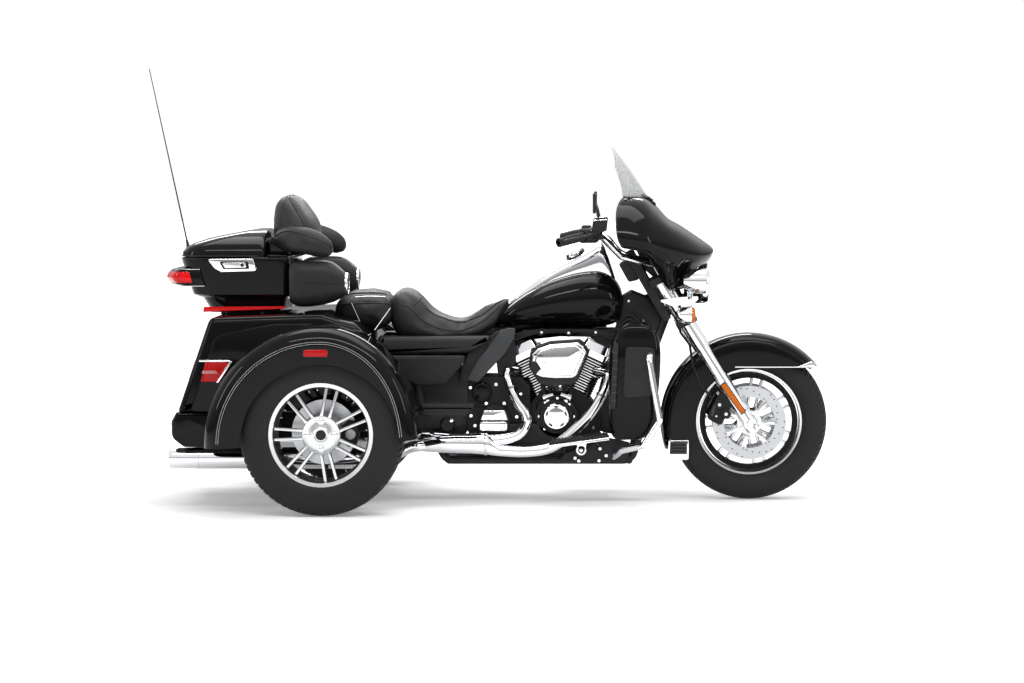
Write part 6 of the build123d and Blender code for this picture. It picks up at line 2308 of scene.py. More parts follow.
    def glass(self, mesh: Mesh, centre: Point, radius: float, rise: float) -> None:
        """Build one lamp's domed clear lens.

        Args:
            mesh: The mesh that takes the parts.
            centre: Its middle.
            radius: Its radius.
            rise: The dome's rise.
        """
        outer = [(radius * math.sin(a), rise * math.cos(a)) for a in (math.pi / 2 * k / 8 for k in range(9))]
        inner = [(max(r - 0.0025, 0.0), x - 0.0025) for r, x in reversed(outer)]
        mesh.use(GLASS).lathe(outer + inner, centre, AHEAD, 48)

    def lamps(self) -> None:
        """Build and mount the headlamp, the passing lamps and the turn signals."""
        head = Mesh("headlamp_dressed")
        self.lamp(head, (0.898, 0.0, 0.886), 0.0865, 0.062)
        head.use(PAINT).lathe(
            [(0.0, -0.075), (0.06, -0.075), (0.08, -0.04), (0.084, -0.01), (0.0, -0.01)], (0.89, 0.0, 0.886),
            AHEAD, 56)
        mount(head.object(PRESSED), Body.STEERING, Slot.CHROME, "headlamp")
        lens = Mesh("headlamp_glass")
        self.glass(lens, (0.908, 0.0, 0.886), 0.0775, 0.02)
        mount(lens.object(PRESSED), Body.STEERING, Slot.GLASS, "headlamp_lens")
        spots, panes = Mesh("passing_lamps_dressed"), Mesh("passing_glass")
        self.lamp(spots, (0.884, -0.204, 0.903), 0.052, 0.08)
        spots.use(CHROME).tube(
            [(0.84, -0.204, 0.858), (0.838, -0.19, 0.846), (0.836, -0.18, 0.838)], 0.01, 12, 4)
        self.glass(panes, (0.89, -0.204, 0.903), 0.0465, 0.01)
        mount(spots.mirrored().object(PRESSED), Body.STEERING, Slot.CHROME, "passing_lamps")
        mount(panes.mirrored().object(PRESSED), Body.STEERING, Slot.GLASS)
        turn = Mesh("turn_signals_dressed").use(CHROME)
        place = (0.8, -0.236, 0.767)
        turn.lathe(
            [(0.0, -0.022), (0.014, -0.02), (0.026, -0.01), (0.0325, 0.01), (0.0345, 0.034), (0.0345, 0.042),
             (0.0, 0.042)], place, AHEAD, 40)
        turn.use(AMBER).lathe(
            [(0.0, 0.04), (0.0315, 0.04), (0.0315, 0.05), (0.024, 0.056), (0.0, 0.058)], place, AHEAD, 40)
        turn.use(CHROME).tube([(0.8, -0.21, 0.77), (0.798, -0.19, 0.782), (0.796, -0.172, 0.796)], 0.009, 12, 4)
        mount(turn.mirrored().object(PRESSED), Body.STEERING, Slot.CHROME, "turn_signals")

    def build(self) -> None:
        """Build and mount the fairing's pieces."""
        self.shell()
        self.dash()
        self.screen()
        self.lamps()


@dataclass
class FrontEnd:
    """The front fender with its trims, the fork's dress, the calipers and the bracket."""

    half: float = 0.098
    outer_r: float = 0.364
    side_r: float = 0.318
    skirt_z: float = 0.228
    back_r: float = 0.224
    wall: float = 0.003
    stands_for: tuple[str, ...] = ("front_fender", "fork_legs", "front_calipers")

    def section(self, angle: float) -> list[Point]:
        """Give the fender's closed section at an angle about the wheel's axle.

        Args:
            angle: The angle about the axle.

        Returns:
            The points of the section.
        """
        edge = self.skirt_z / max(math.sin(angle), 0.2)
        if angle > math.radians(100):
            blend = min((angle - math.radians(100)) / math.radians(30), 1.0)
            edge = self.skirt_z + (self.back_r - self.skirt_z) * blend
        edge = min(edge, self.outer_r - 0.01)
        points: list[Pair] = []
        for grow in (0.0, self.wall):
            row = [(-self.half + grow, edge), (-self.half + grow, (edge + self.side_r) / 2)]
            rise = self.outer_r - max(self.side_r, edge) - grow
            for k in range(17):
                turn = math.pi * (1 - k / 16)
                across = math.copysign(abs(math.cos(turn)) ** 0.8, math.cos(turn)) * (self.half - grow)
                row.append((across, max(self.side_r, edge) + rise * abs(math.sin(turn)) ** 0.8))
            row += [(-y, r) for y, r in reversed(row[:2])]
            points += row if grow == 0.0 else list(reversed(row))
        out = Vector((math.cos(angle), 0.0, math.sin(angle)))
        centre = Vector(FRONT_AXLE)
        return [tuple(centre + out * r + Vector((0.0, y, 0.0))) for y, r in points]

    def fender(self) -> None:
        """Build the painted fender, its chrome skirt lines, tip, crease and rear plate."""
        mesh = Mesh("front_fender_dressed").use(PAINT)
        mesh.rings([self.section(math.radians(41.5 + (198.0 - 41.5) * k / 60)) for k in range(61)])
        x0, z0 = FRONT_AXLE[0], FRONT_AXLE[2]
        mesh.use(CHROME).tube(
            [(x0 - 0.06, -0.0995, z0 + 0.2285), (1.2, -0.0995, z0 + 0.228), (1.352, -0.0995, z0 + 0.2285)],
            0.003, 8, 3)
        tip = [(1.27, 0.5475), (1.362, 0.5465), (1.356, 0.56), (1.335, 0.572), (1.3, 0.5585)]
        mesh.prism(rounded(tip, 0.004, 3), -0.1035, -0.096, "XZ", 0.002)
        crease = [(x0 + 0.33 * math.cos(a), -0.0984, z0 + 0.33 * math.sin(a))
                  for a in (math.radians(48 + 8 * k) for k in range(18))]
        mesh.use(SATIN).tube(crease, 0.0011, 6, 2)
        plate = rounded([(0.748, 0.168), (0.835, 0.168), (0.835, 0.249), (0.752, 0.249)],
                        [0.022, 0.01, 0.006, 0.006], 5)
        mesh.use(CHROME).prism(plate, -0.1025, -0.0965, "XZ", 0.002)
        mesh.use(GREY_PLASTIC).prism(
            rounded([(0.757, 0.192), (0.828, 0.192), (0.828, 0.243), (0.759, 0.243)], 0.004, 3), -0.104, -0.1,
            "XZ", 0.001)
        mesh.use(BLACK_AND_SHADE)
        for z in (0.204, 0.217, 0.23):
            mesh.tube([(0.762, -0.1042, z), (0.824, -0.1042, z)], 0.0022, 6, 1)
        mount(mesh.mirrored().object(BENT), Body.STEERING, Slot.PAINT, "front_fender")

    def fork(self) -> None:
        """Dress the fork legs: chrome covers, axle nuts and side reflectors."""

        def extra(mesh: Mesh) -> None:
            """Add the reflectors and nuts to both sides.

            Args:
                mesh: The mesh that takes the parts.
            """
            lean = Matrix.Rotation(math.radians(90) - FORK_LEAN - math.radians(4.2), 3, "Y")
            for side in (-1, 1):
                mesh.use(SATIN).block((1.0135, side * 0.1575, 0.425), (0.15, 0.004, 0.026), 0.0015, lean, 2)
                mesh.use(AMBER).block((1.0135, side * 0.16, 0.425), (0.142, 0.005, 0.02), 0.002, lean, 3)
                mesh.use(CHROME).lathe(
                    button(0.017, 0.008, 0.013, 0.012), (FRONT_AXLE[0], side * 0.148, FRONT_AXLE[2]),
                    (0, side, 0), 6)

        two_tone("fork_legs", Body.STEERING, Slot.CHROME, lambda centre, normal: CHROME, TRIM, extra)

    def calipers(self) -> None:
        """Dress the calipers: a bridge bar, three piston bosses and mounting screws each."""

        def extra(mesh: Mesh) -> None:
            """Add the bosses, bar and screws to both sides.

            Args:
                mesh: The mesh that takes the parts.
            """
            for side in (-1, 1):
                face = side * 0.1425
                for x, z, radius in ((0.958, 0.398, 0.02), (0.985, 0.36, 0.02), (0.945, 0.352, 0.012)):
                    mesh.use(WRINKLE).lathe(
                        button(radius, 0.006, radius * 0.8, 0.009), (x, face, z), (0, side, 0), 24)
                    mesh.use(MACHINED).lathe(
                        [(0.0, 0.009), (radius * 0.42, 0.009), (radius * 0.36, 0.012), (0.0, 0.012)],
                        (x, face, z), (0, side, 0), 6)
                mesh.use(GREY_PLASTIC).tube(
                    [(0.928, face, 0.352), (0.934, face, 0.378), (0.95, face, 0.412)], 0.008, 10, 4)

        two_tone("front_calipers", Body.STEERING, Slot.SATIN, lambda centre, normal: WRINKLE, TRIM, extra)

    def build(self) -> None:
        """Build and mount the front end's pieces."""
        self.fender()
        self.fork()
        self.calipers()


@dataclass
class LegShields:
    """The two lower fairings with their vent vanes and glove panels."""

    rows: tuple[tuple[float, ...], ...] = (
        (0.27, 0.536, 0.636, 0.03), (0.29, 0.52, 0.672, 0.042), (0.34, 0.511, 0.698, 0.049),
        (0.45, 0.509, 0.707, 0.052), (0.55, 0.508, 0.715, 0.052), (0.63, 0.512, 0.716, 0.05),
        (0.68, 0.528, 0.708, 0.042), (0.718, 0.552, 0.69, 0.038), (0.738, 0.58, 0.656, 0.026))
    middle_y: float = 0.277
    stands_for: tuple[str, ...] = ("leg_shields",)

    def build(self) -> None:
        """Build and mount both shields."""
        mesh = Mesh("leg_shields_dressed").use(PAINT).loft(self.rows, 3.6, 48, -self.middle_y, "Z")
        face = -self.middle_y - 0.0525
        panel = rounded([(0.566, 0.44), (0.69, 0.448), (0.692, 0.64), (0.576, 0.646)], 0.02, 5)
        mesh.use(SATIN).prism(panel, face - 0.002, face + 0.01, "XZ", 0.0035)
        mesh.use(PLASTIC).prism(
            rounded([(0.512, 0.395), (0.536, 0.395), (0.548, 0.655), (0.528, 0.668)], 0.006, 4), face - 0.0045,
            face + 0.014, "XZ", 0.004)
        mesh.use(GREY_PLASTIC)
        for k in range(7):
            mesh.block((0.53 + k * 0.001, face - 0.004, 0.43 + 0.032 * k), (0.02, 0.004, 0.004), 0.001)
        mesh.use(CHROME).lathe(
            [(0.0, 0.0), (0.008, 0.0), (0.008, 0.003), (0.0, 0.004)], (0.676, face - 0.002, 0.545), RIGHT, 20)
        mount(mesh.mirrored().object(MOULDED), Body.CHASSIS, Slot.PLASTIC, "leg_shields")


# ---------------------------------------------------------------- engine and exhaust
def studs(mesh: Mesh, finish: Finish, y: float, radius: float, places: Sequence[Pair]) -> None:
    """Set cap screws that face the right-hand side.

    Args:
        mesh: The mesh that they join.
        finish: Their finish.
        y: The plane that they stand on.
        radius: Their radius.
        places: Their places in X and Z.
    """
    for x, z in places:
        source = bolt(radius, radius * 0.9)
        bmesh.ops.translate(source.bm, vec=(x, y, z), verts=source.bm.verts)
        mesh.use(finish).absorb(source.bm)


@dataclass
class Engine:
    """The V-twin with its gearbox, covers and air cleaner."""

    crank: Point = (0.309, 0.0, 0.305)
    lean: float = math.radians(25.0)
    first_fin: float = 0.144
    fin_pitch: float = 0.011
    fin_thick: float = 0.004
    cam: Point = (0.296, -0.15, 0.351)
    cleaner: tuple[Pair, ...] = (
        (0.194, 0.572), (0.2, 0.61), (0.222, 0.632), (0.273, 0.65), (0.386, 0.658), (0.402, 0.648),
        (0.421, 0.618), (0.38, 0.524), (0.362, 0.512), (0.3, 0.511), (0.237, 0.517), (0.216, 0.527))
    cleaner_base: tuple[Pair, ...] = (
        (0.186, 0.56), (0.192, 0.616), (0.22, 0.643), (0.272, 0.661), (0.392, 0.669), (0.41, 0.656),
        (0.431, 0.618), (0.386, 0.506), (0.36, 0.484), (0.25, 0.482), (0.222, 0.497))
    stands_for: tuple[str, ...] = (
        "crankcase", "cylinders", "rocker_covers", "cam_cover", "pushrod_tubes", "air_cleaner_base",
        "air_cleaner_cover", "gearbox_case", "gearbox_cover", "primary_cover")

    def fin_finish(self, centre: Vector, normal: Vector) -> Finish:
        """Give bare metal to the fins' edges and black to the rest.

        Args:
            centre: The face's middle.
            normal: The face's outward direction.

        Returns:
            The face's finish.
        """
        side = -1.0 if centre.x < self.crank[0] else 1.0
        way = Vector((side * math.sin(self.lean), 0.0, math.cos(self.lean)))
        along = (centre - Vector(self.crank)).dot(way) - self.first_fin
        on_fin = 0.0002 < along % self.fin_pitch < self.fin_thick - 0.0002
        return MACHINED if on_fin and abs(normal.dot(way)) < 0.2 else WRINKLE

    def cylinders(self) -> None:
        """Dress the barrels, the heads and the pushrod tubes."""
        two_tone("cylinders", Body.CHASSIS, Slot.SATIN, self.fin_finish)
        rods = Mesh("pushrod_tubes_dressed")
        for foot, head in ((0.262, 0.24), (0.334, 0.366)):
            rods.use(CHROME).lathe(
                [(0.0, -0.004), (0.024, -0.004), (0.024, 0.014), (0.019, 0.02), (0.0, 0.02)],
                (foot, -0.127, 0.404), UP, 28)
            for shift in (-0.012, 0.012):
                rods.use(SATIN).tube(
                    [(foot + shift, -0.127, 0.418), (head + shift * 1.4, -0.112, 0.56)], 0.0085, 14, 1)
                rods.use(CHROME).tube(
                    [(foot + shift, -0.127, 0.42), (foot + shift + (head - foot) * 0.12, -0.1255, 0.437)],
                    0.0105, 14, 1)
        mount(rods.object(COVER), Body.CHASSIS, Slot.CHROME, "pushrod_tubes")

        def rocker_studs(mesh: Mesh) -> None:
            """Add the rocker covers' screws.

            Args:
                mesh: The mesh that takes the parts.
            """
            for side in (-1, 1):
                way = Vector((side * math.sin(self.lean), 0.0, math.cos(self.lean)))
                across = Vector((math.cos(self.lean), 0.0, -side * math.sin(self.lean)))
                base = Vector(self.crank) + way * 0.337
                for u in (-0.06, 0.06):
                    for y in (-0.062, 0.0, 0.062):
                        place = base + across * u + Vector((0.0, y, 0.0))
                        mesh.use(MACHINED).lathe(
                            button(0.0055, 0.0035, 0.004, 0.005), tuple(place), tuple(way), 12)

        two_tone("rocker_covers", Body.CHASSIS, Slot.CHROME, lambda c, n: CHROME, CRISP, rocker_studs)

    def cases(self) -> None:
        """Dress the crankcase and the gearbox with their screws."""

        def crank_parts(mesh: Mesh) -> None:
            """Add the crankcase's screws, tappet blocks and parting rib.

            Args:
                mesh: The mesh that takes the parts.
            """
            studs(
                mesh, CHROME, -0.15, 0.0065, [
                    (0.251, 0.407), (0.3, 0.425), (0.348, 0.4), (0.366, 0.351), (0.226, 0.351), (0.344, 0.3),
                    (0.248, 0.3)])
            studs(
                mesh, CHROME, -0.105, 0.0075, [
                    (0.209, 0.347), (0.212, 0.314), (0.216, 0.286), (0.446, 0.3), (0.446, 0.352)])
            for x, tilt in ((0.262, -0.35), (0.334, 0.4)):
                mesh.use(CHROME).block(
                    (x, -0.128, 0.432), (0.046, 0.034, 0.018), 0.004, Matrix.Rotation(tilt, 3, "Y"))
            mesh.use(SATIN).plate(
                [(0.196, 0.206), (0.214, 0.206), (0.214, 0.4), (0.196, 0.4)], 0.005, -0.113, -0.104, 0.003)

        def gear_parts(mesh: Mesh) -> None:
            """Add the gearbox's round cap, its ribs and its screws.

            Args:
                mesh: The mesh that takes the parts.
            """
            cap = [(0.0, 0.0), (0.04, 0.0), (0.04, 0.014), (0.036, 0.019), (0.031, 0.019), (0.029, 0.016),
                   (0.0, 0.018)]
            mesh.use(PAINT).lathe(cap, (-0.007, -0.119, 0.448), RIGHT, 48)
            studs(
                mesh, CHROME, -0.119, 0.008, [
                    (-0.054, 0.466), (0.05, 0.479), (0.01, 0.402), (0.083, 0.402), (-0.052, 0.351),
                    (-0.036, 0.311), (0.134, 0.347), (0.123, 0.306), (0.15, 0.44)])
            for z in (0.425, 0.452, 0.479):
                mesh.use(WRINKLE).block((0.128, -0.12, z), (0.07, 0.01, 0.005), 0.002)
            mesh.use(WRINKLE).plate(
                [(-0.062, 0.388), (0.1, 0.388), (0.1, 0.398), (-0.062, 0.398)], 0.004, -0.126, -0.118, 0.003)

        two_tone("crankcase", Body.CHASSIS, Slot.SATIN, lambda c, n: WRINKLE, CRISP, crank_parts)
        two_tone("gearbox_case", Body.CHASSIS, Slot.SATIN, lambda c, n: WRINKLE, CRISP, gear_parts)

        def derby(mesh: Mesh) -> None:
            """Add the primary cover's two round plates.

            Args:
                mesh: The mesh that takes the parts.
            """
            for x, z, radius, count in ((0.075, 0.322, 0.066, 6), (0.33, 0.33, 0.04, 4)):
                mesh.use(CHROME).lathe(
                    [(0.0, 0.0), (radius, 0.0), (radius, 0.006), (radius - 0.005, 0.01), (0.0, 0.012)],
                    (x, 0.203, z), LEFT, 56)
                for k in range(count):
                    turn = 2 * math.pi * k / count
                    spot = (x + (radius - 0.011) * math.cos(turn), 0.2125,
                            z + (radius - 0.011) * math.sin(turn))
                    mesh.use(MACHINED).lathe(
                        [(0.0, 0.0), (0.004, 0.0), (0.004, 0.003), (0.0, 0.003)], spot, LEFT, 12)

        two_tone("primary_cover", Body.CHASSIS, Slot.SATIN, lambda c, n: SATIN, CRISP, derby)

    def covers(self) -> None:
        """Build the cam cover, the gearbox's side cover and the air cleaner."""
        mesh = Mesh("cam_cover_dressed").use(WRINKLE)
        mesh.lathe(button(0.0699, 0.007, 0.066, 0.01), self.cam, RIGHT, 72)
        mesh.use(CHROME).lathe(
            [(0.0, 0.009), (0.0525, 0.009), (0.0525, 0.017), (0.049, 0.021), (0.0445, 0.021), (0.043, 0.0165),
             (0.0375, 0.0165), (0.0355, 0.0222), (0.0, 0.0248)], self.cam, RIGHT, 72)
        # The cover's slots are dark blocks: painted shade in place of openings.
        slot = Mesh("slot").block((0.0, -0.0168, 0.0402), (0.018, 0.0012, 0.0045), 0.0)
        mesh.use(BLACK_AND_SHADE).repeat(slot, 5, NO_MOVE, LEFT, 2 * math.pi / 5, self.cam)
        mount(mesh.object(TRIM), Body.CHASSIS, Slot.CHROME, "cam_cover")
        mesh = Mesh("gearbox_cover_dressed").use(CHROME)
        mesh.plate([(-0.0136, 0.3364), (0.1016, 0.3364), (0.0873, 0.3775), (0.0008, 0.3775)], 0.005, -0.172,
                   -0.15, 0.004)
        mesh.prism(rounded([(-0.0172, 0.2912), (0.0982, 0.2912), (0.0982, 0.3315), (-0.0172, 0.3315)], 0.013),
                   -0.172, -0.15, "XZ", 0.005, 4)
        # A dark strip between the two plates: painted shade in the gap.
        mesh.use(BLACK_AND_SHADE).prism([(-0.01, 0.329), (0.096, 0.329), (0.096, 0.339), (-0.01, 0.339)], -0.166, -0.148)
        studs(mesh, MACHINED, -0.1718, 0.0035, [(-0.006, 0.3115), (0.087, 0.3115)])
        mount(mesh.object(TRIM), Body.CHASSIS, Slot.CHROME, "gearbox_cover")
        mesh = Mesh("air_cleaner_base_dressed").use(SATIN)
        mesh.prism(rounded(self.cleaner_base, 0.016, 5), -0.232, -0.186, "XZ", 0.008, 4)
        mesh.lathe([(0.0, 0.0), (0.04, 0.0), (0.04, 0.15), (0.0, 0.15)], (0.309, -0.04, 0.57), RIGHT, 40)
        mount(mesh.object(TRIM), Body.CHASSIS, Slot.SATIN, "air_cleaner_base")
        mesh = Mesh("air_cleaner_cover_dressed").use(CHROME)
        mesh.prism(rounded(self.cleaner, 0.012, 5), -0.248, -0.226, "XZ", 0.009, 5)
        middle = Vector((0.31, 0.583))
        panel = [tuple(middle + (Vector(p) - middle) * 0.86) for p in self.cleaner]
        mesh.prism(rounded(panel, 0.012, 5), -0.2545, -0.24, "XZ", 0.006, 4)
        mesh.use(SATIN).plate(
            [(0.1935, 0.583), (0.22, 0.581), (0.24, 0.55), (0.224, 0.54), (0.218, 0.529), (0.1925, 0.56)],
            0.004, -0.255, -0.236, 0.003)
        mesh.use(BLACK_AND_SHADE).prism(
            rounded([(0.206, 0.607), (0.246, 0.602), (0.246, 0.605), (0.206, 0.612)], 0.0012), -0.2552, -0.25)
        studs(mesh, MACHINED, -0.2535, 0.0045, [(0.254, 0.578)])
        mount(mesh.object(TRIM), Body.CHASSIS, Slot.CHROME, "air_cleaner_cover")

    def fillers(self) -> None:
        """Build what sits between the engine, the tank and the rear frame."""
        mesh = Mesh("engine_dressing").use(SATIN)
        tray = [(0.11, 0.65), (0.16, 0.7), (0.535, 0.704), (0.548, 0.64), (0.505, 0.612), (0.43, 0.668),
                (0.205, 0.672), (0.14, 0.612)]
        mesh.plate(tray, 0.01, -0.055, 0.055, 0.008)
        mesh.block((0.309, -0.02, 0.585), (0.12, 0.11, 0.1), 0.016)
        for x, z in ((0.235, 0.69), (0.345, 0.688), (0.455, 0.69)):
            mesh.lathe(button(0.017, 0.04, 0.012, 0.048), (x, -0.052, z), RIGHT, 24)
        mesh.use(RUBBER)
        for lift in (0.0, 0.016, 0.031):
            mesh.tube(
                [(0.09, -0.07, 0.64 + lift), (0.2, -0.092, 0.684 + lift / 3), (0.33, -0.096, 0.69 + lift / 4),
                 (0.47, -0.09, 0.684 + lift / 3), (0.56, -0.07, 0.64 + lift)], 0.0062, 10)
        mesh.use(CHROME)
        studs(
            mesh, CHROME, -0.1, 0.006, [
                (0.235, 0.69), (0.345, 0.688), (0.455, 0.69), (0.54, 0.655), (0.12, 0.662)])
        mesh.use(PLASTIC)
        tray = [(-0.4, 0.3), (-0.3, 0.272), (-0.07, 0.272), (-0.06, 0.5), (-0.105, 0.548), (-0.38, 0.56),
                (-0.42, 0.48)]
        mesh.plate(tray, 0.02, -0.132, 0.132, 0.012)
        mesh.use(SATIN)
        arm = [(-0.6, 0.29), (-0.33, 0.288), (-0.08, 0.31), (-0.075, 0.372), (-0.33, 0.362), (-0.6, 0.35)]
        mesh.plates(arm, 0.012, 0.133, 0.168, 0.007)
        ring = button(0.03, 0.01, 0.025, 0.014)
        mesh.use(PAINT).lathe(ring, (-0.145, -0.168, 0.318), RIGHT, 40)
        mesh.use(CHROME).lathe(
            [(0.0, 0.0), (0.008, 0.0), (0.008, 0.006), (0.0, 0.008)], (-0.129, -0.18, 0.338), RIGHT, 20)
        mesh.use(SATIN)
        mesh.plate([(0.09, 0.19), (0.37, 0.19), (0.37, 0.262), (0.215, 0.32), (0.09, 0.32)], 0.01, -0.15, -0.1,
                   0.006)
        mesh.plates(
            [(-0.061, 0.612), (-0.007, 0.645), (0.054, 0.7), (0.078, 0.692), (-0.018, 0.568), (-0.066, 0.498),
             (-0.1, 0.49), (-0.085, 0.56)], 0.006, 0.14, 0.164, 0.004)
        mesh.plates(
            [(0.046, 0.61), (0.062, 0.702), (0.116, 0.704), (0.134, 0.61), (0.116, 0.515), (0.058, 0.515)],
            0.01, 0.084, 0.116, 0.005)
        mesh.plate([(0.452, 0.29), (0.532, 0.27), (0.532, 0.56), (0.5, 0.572), (0.462, 0.43)], 0.012, -0.094,
                   0.094, 0.01)
        mesh.plates(
            [(-0.542, 0.286), (-0.515, 0.262), (-0.482, 0.272), (-0.47, 0.318), (-0.482, 0.362), (-0.516, 0.37),
             (-0.54, 0.346)], 0.012, 0.5045, 0.53, 0.005)
        boss = button(0.0225, 0.005, 0.019, 0.008)
        for side in (-1, 1):
            mesh.use(CAST).lathe(boss, (-0.505, side * 0.529, 0.313), (0, side, 0), 32)
        mesh.use(SATIN)
        plate = [(0.296, 0.164), (0.56, 0.168), (0.59, 0.186), (0.594, 0.248), (0.5, 0.268), (0.42, 0.232),
                 (0.33, 0.205)]
        mesh.plate(plate, 0.01, -0.178, -0.164, 0.004)
        studs(
            mesh, CHROME, -0.178, 0.0075, [
                (0.372, 0.184), (0.387, 0.173), (0.469, 0.174), (0.498, 0.194), (0.473, 0.222)])
        mesh.use(CHROME).plate(
            [(0.372, 0.262), (0.424, 0.268), (0.414, 0.212), (0.402, 0.2), (0.39, 0.204)], 0.01, -0.225, -0.205,
            0.004)
        mesh.lathe(button(0.021, 0.01, 0.018, 0.013), (0.397, -0.212, 0.22), RIGHT, 36)
        mesh.use(BLACK_AND_SHADE).lathe(
            [(0.0, 0.0), (0.013, 0.0), (0.013, 0.0015), (0.0, 0.0015)], (0.397, -0.225, 0.22), RIGHT, 28)
        mesh.use(CHROME).lathe(
            [(0.0, 0.0), (0.008, 0.0), (0.008, 0.004), (0.0, 0.005)], (0.397, -0.2255, 0.22), RIGHT, 6)
        mount(mesh.object(TRIM), Body.CHASSIS, Slot.SATIN)

    def build(self) -> None:
        """Build and mount the whole engine."""
        self.cylinders()
        self.cases()
        self.covers()
        self.fillers()


@dataclass
class Exhaust:
    """The chrome headers with their heat shield, and the two mufflers."""

    side_y: float = 0.38
    axis_z: float = 0.205
    tip_x: float = -1.24
    stands_for: tuple[str, ...] = ("exhaust_headers", "mufflers")

    def headers(self) -> None:
        """Build the two headers, the shielded collector and the tail pipes."""
        mesh = Mesh("exhaust_headers_dressed").use(CHROME)
        mesh.tube(
            [(0.14, -0.108, 0.532), (0.098, -0.158, 0.532), (0.118, -0.192, 0.455), (0.14, -0.202, 0.412),
             (0.17, -0.206, 0.368), (0.176, -0.207, 0.33), (0.158, -0.208, 0.292), (0.118, -0.209, 0.27),
             (0.06, -0.209, 0.26), (0.0, -0.209, 0.258)],
             [0.018, 0.018, 0.019, 0.0195, 0.021, 0.0215, 0.0215, 0.022, 0.022, 0.022], 28, 7)
        mesh.tube(
            [(0.455, -0.108, 0.53), (0.504, -0.158, 0.516), (0.486, -0.196, 0.455), (0.436, -0.206, 0.37),
             (0.388, -0.208, 0.316), (0.334, -0.209, 0.266), (0.268, -0.21, 0.228), (0.19, -0.21, 0.215),
             (0.1, -0.21, 0.216), (0.03, -0.21, 0.222)],
             [0.018, 0.018, 0.019, 0.02, 0.022, 0.023, 0.023, 0.0235, 0.024, 0.024], 28, 7)
        mesh.loft(
            [(0.062, 0.196, 0.246, 0.024), (0.02, 0.2, 0.284, 0.039), (-0.06, 0.205, 0.287, 0.041),
             (-0.14, 0.207, 0.286, 0.04), (-0.19, 0.21, 0.28, 0.034), (-0.25, 0.214, 0.262, 0.025)],
            2.2, 40, -0.209)
        mesh.tube(
            [(-0.23, -0.209, 0.238), (-0.28, -0.24, 0.236), (-0.36, -0.362, 0.212), (-0.4, -0.38, 0.205),
             (-0.45, -0.38, 0.205)], 0.0235, 28, 7)
        mesh.tube(
            [(-0.13, -0.209, 0.268), (-0.22, -0.204, 0.274), (-0.31, -0.17, 0.268), (-0.36, -0.08, 0.246),
             (-0.37, 0.02, 0.24), (-0.37, 0.2, 0.24), (-0.38, 0.345, 0.22), (-0.41, 0.38, 0.205),
             (-0.45, 0.38, 0.205)], 0.0215, 28, 7)
        clamp = [(0.0445, -0.006), (0.0455, -0.004), (0.0455, 0.004), (0.0445, 0.006), (0.0385, 0.006),
                 (0.0385, -0.006)]
        mesh.use(MACHINED).lathe(clamp, (0.012, -0.209, 0.243), AHEAD, 48)
        # The rings at the heads take a darker copy of chrome: painted shade.
        for x, y, z, way in (
                (0.113, -0.188, 0.47, (0.35, -0.2, -1.0)), (0.478, -0.199, 0.44, (-0.48, -0.12, -0.86))):
            mesh.use(CHROME_PAINTED_SHADE).lathe(
                [(0.019, -0.006), (0.0225, -0.004), (0.0225, 0.004), (0.019, 0.006)], (x, y, z), way, 28)
        mount(mesh.object(PRESSED), Body.CHASSIS, Slot.CHROME, "exhaust_headers")

    def mufflers(self) -> None:
        """Build both mufflers with open tips, seams and hanger straps."""
        mesh = Mesh("mufflers_dressed")
        profile = [(0.0238, 0.0), (0.03, 0.012), (0.038, 0.04), (0.0425, 0.075), (0.043, 0.11), (0.043, 0.7),
                   (0.0418, 0.735), (0.0405, 0.79), (0.0405, 0.806), (0.0395, 0.8095), (0.0372, 0.806),
                   (0.0372, 0.69), (0.0, 0.69), (0.0, 0.0)]
        for side in (-1, 1):
            start = (self.tip_x + 0.8095, side * self.side_y, self.axis_z)
            mesh.use(CHROME).lathe(profile, start, BACK, 56)
            # A dark lining inside each tip: painted shade in its mouth.
            mesh.use(BLACK_AND_SHADE).lathe(
                [(0.0, 0.688), (0.0368, 0.688), (0.0368, 0.786), (0.0345, 0.786), (0.0345, 0.69), (0.0, 0.69)],
                start, BACK, 40)
            for along in (0.112, 0.69):
                mesh.use(MACHINED).lathe(
                    [(0.0428, along - 0.003), (0.0436, along), (0.0428, along + 0.003)], start, BACK, 56)
            mesh.use(SATIN).lathe(
                [(0.0425, 0.175), (0.0452, 0.176), (0.0452, 0.19), (0.0425, 0.191)], start, BACK, 48)
        mount(mesh.object(PRESSED), Body.CHASSIS, Slot.CHROME, "mufflers")

    def build(self) -> None:
        """Build and mount the headers and the mufflers."""
        self.headers()
        self.mufflers()


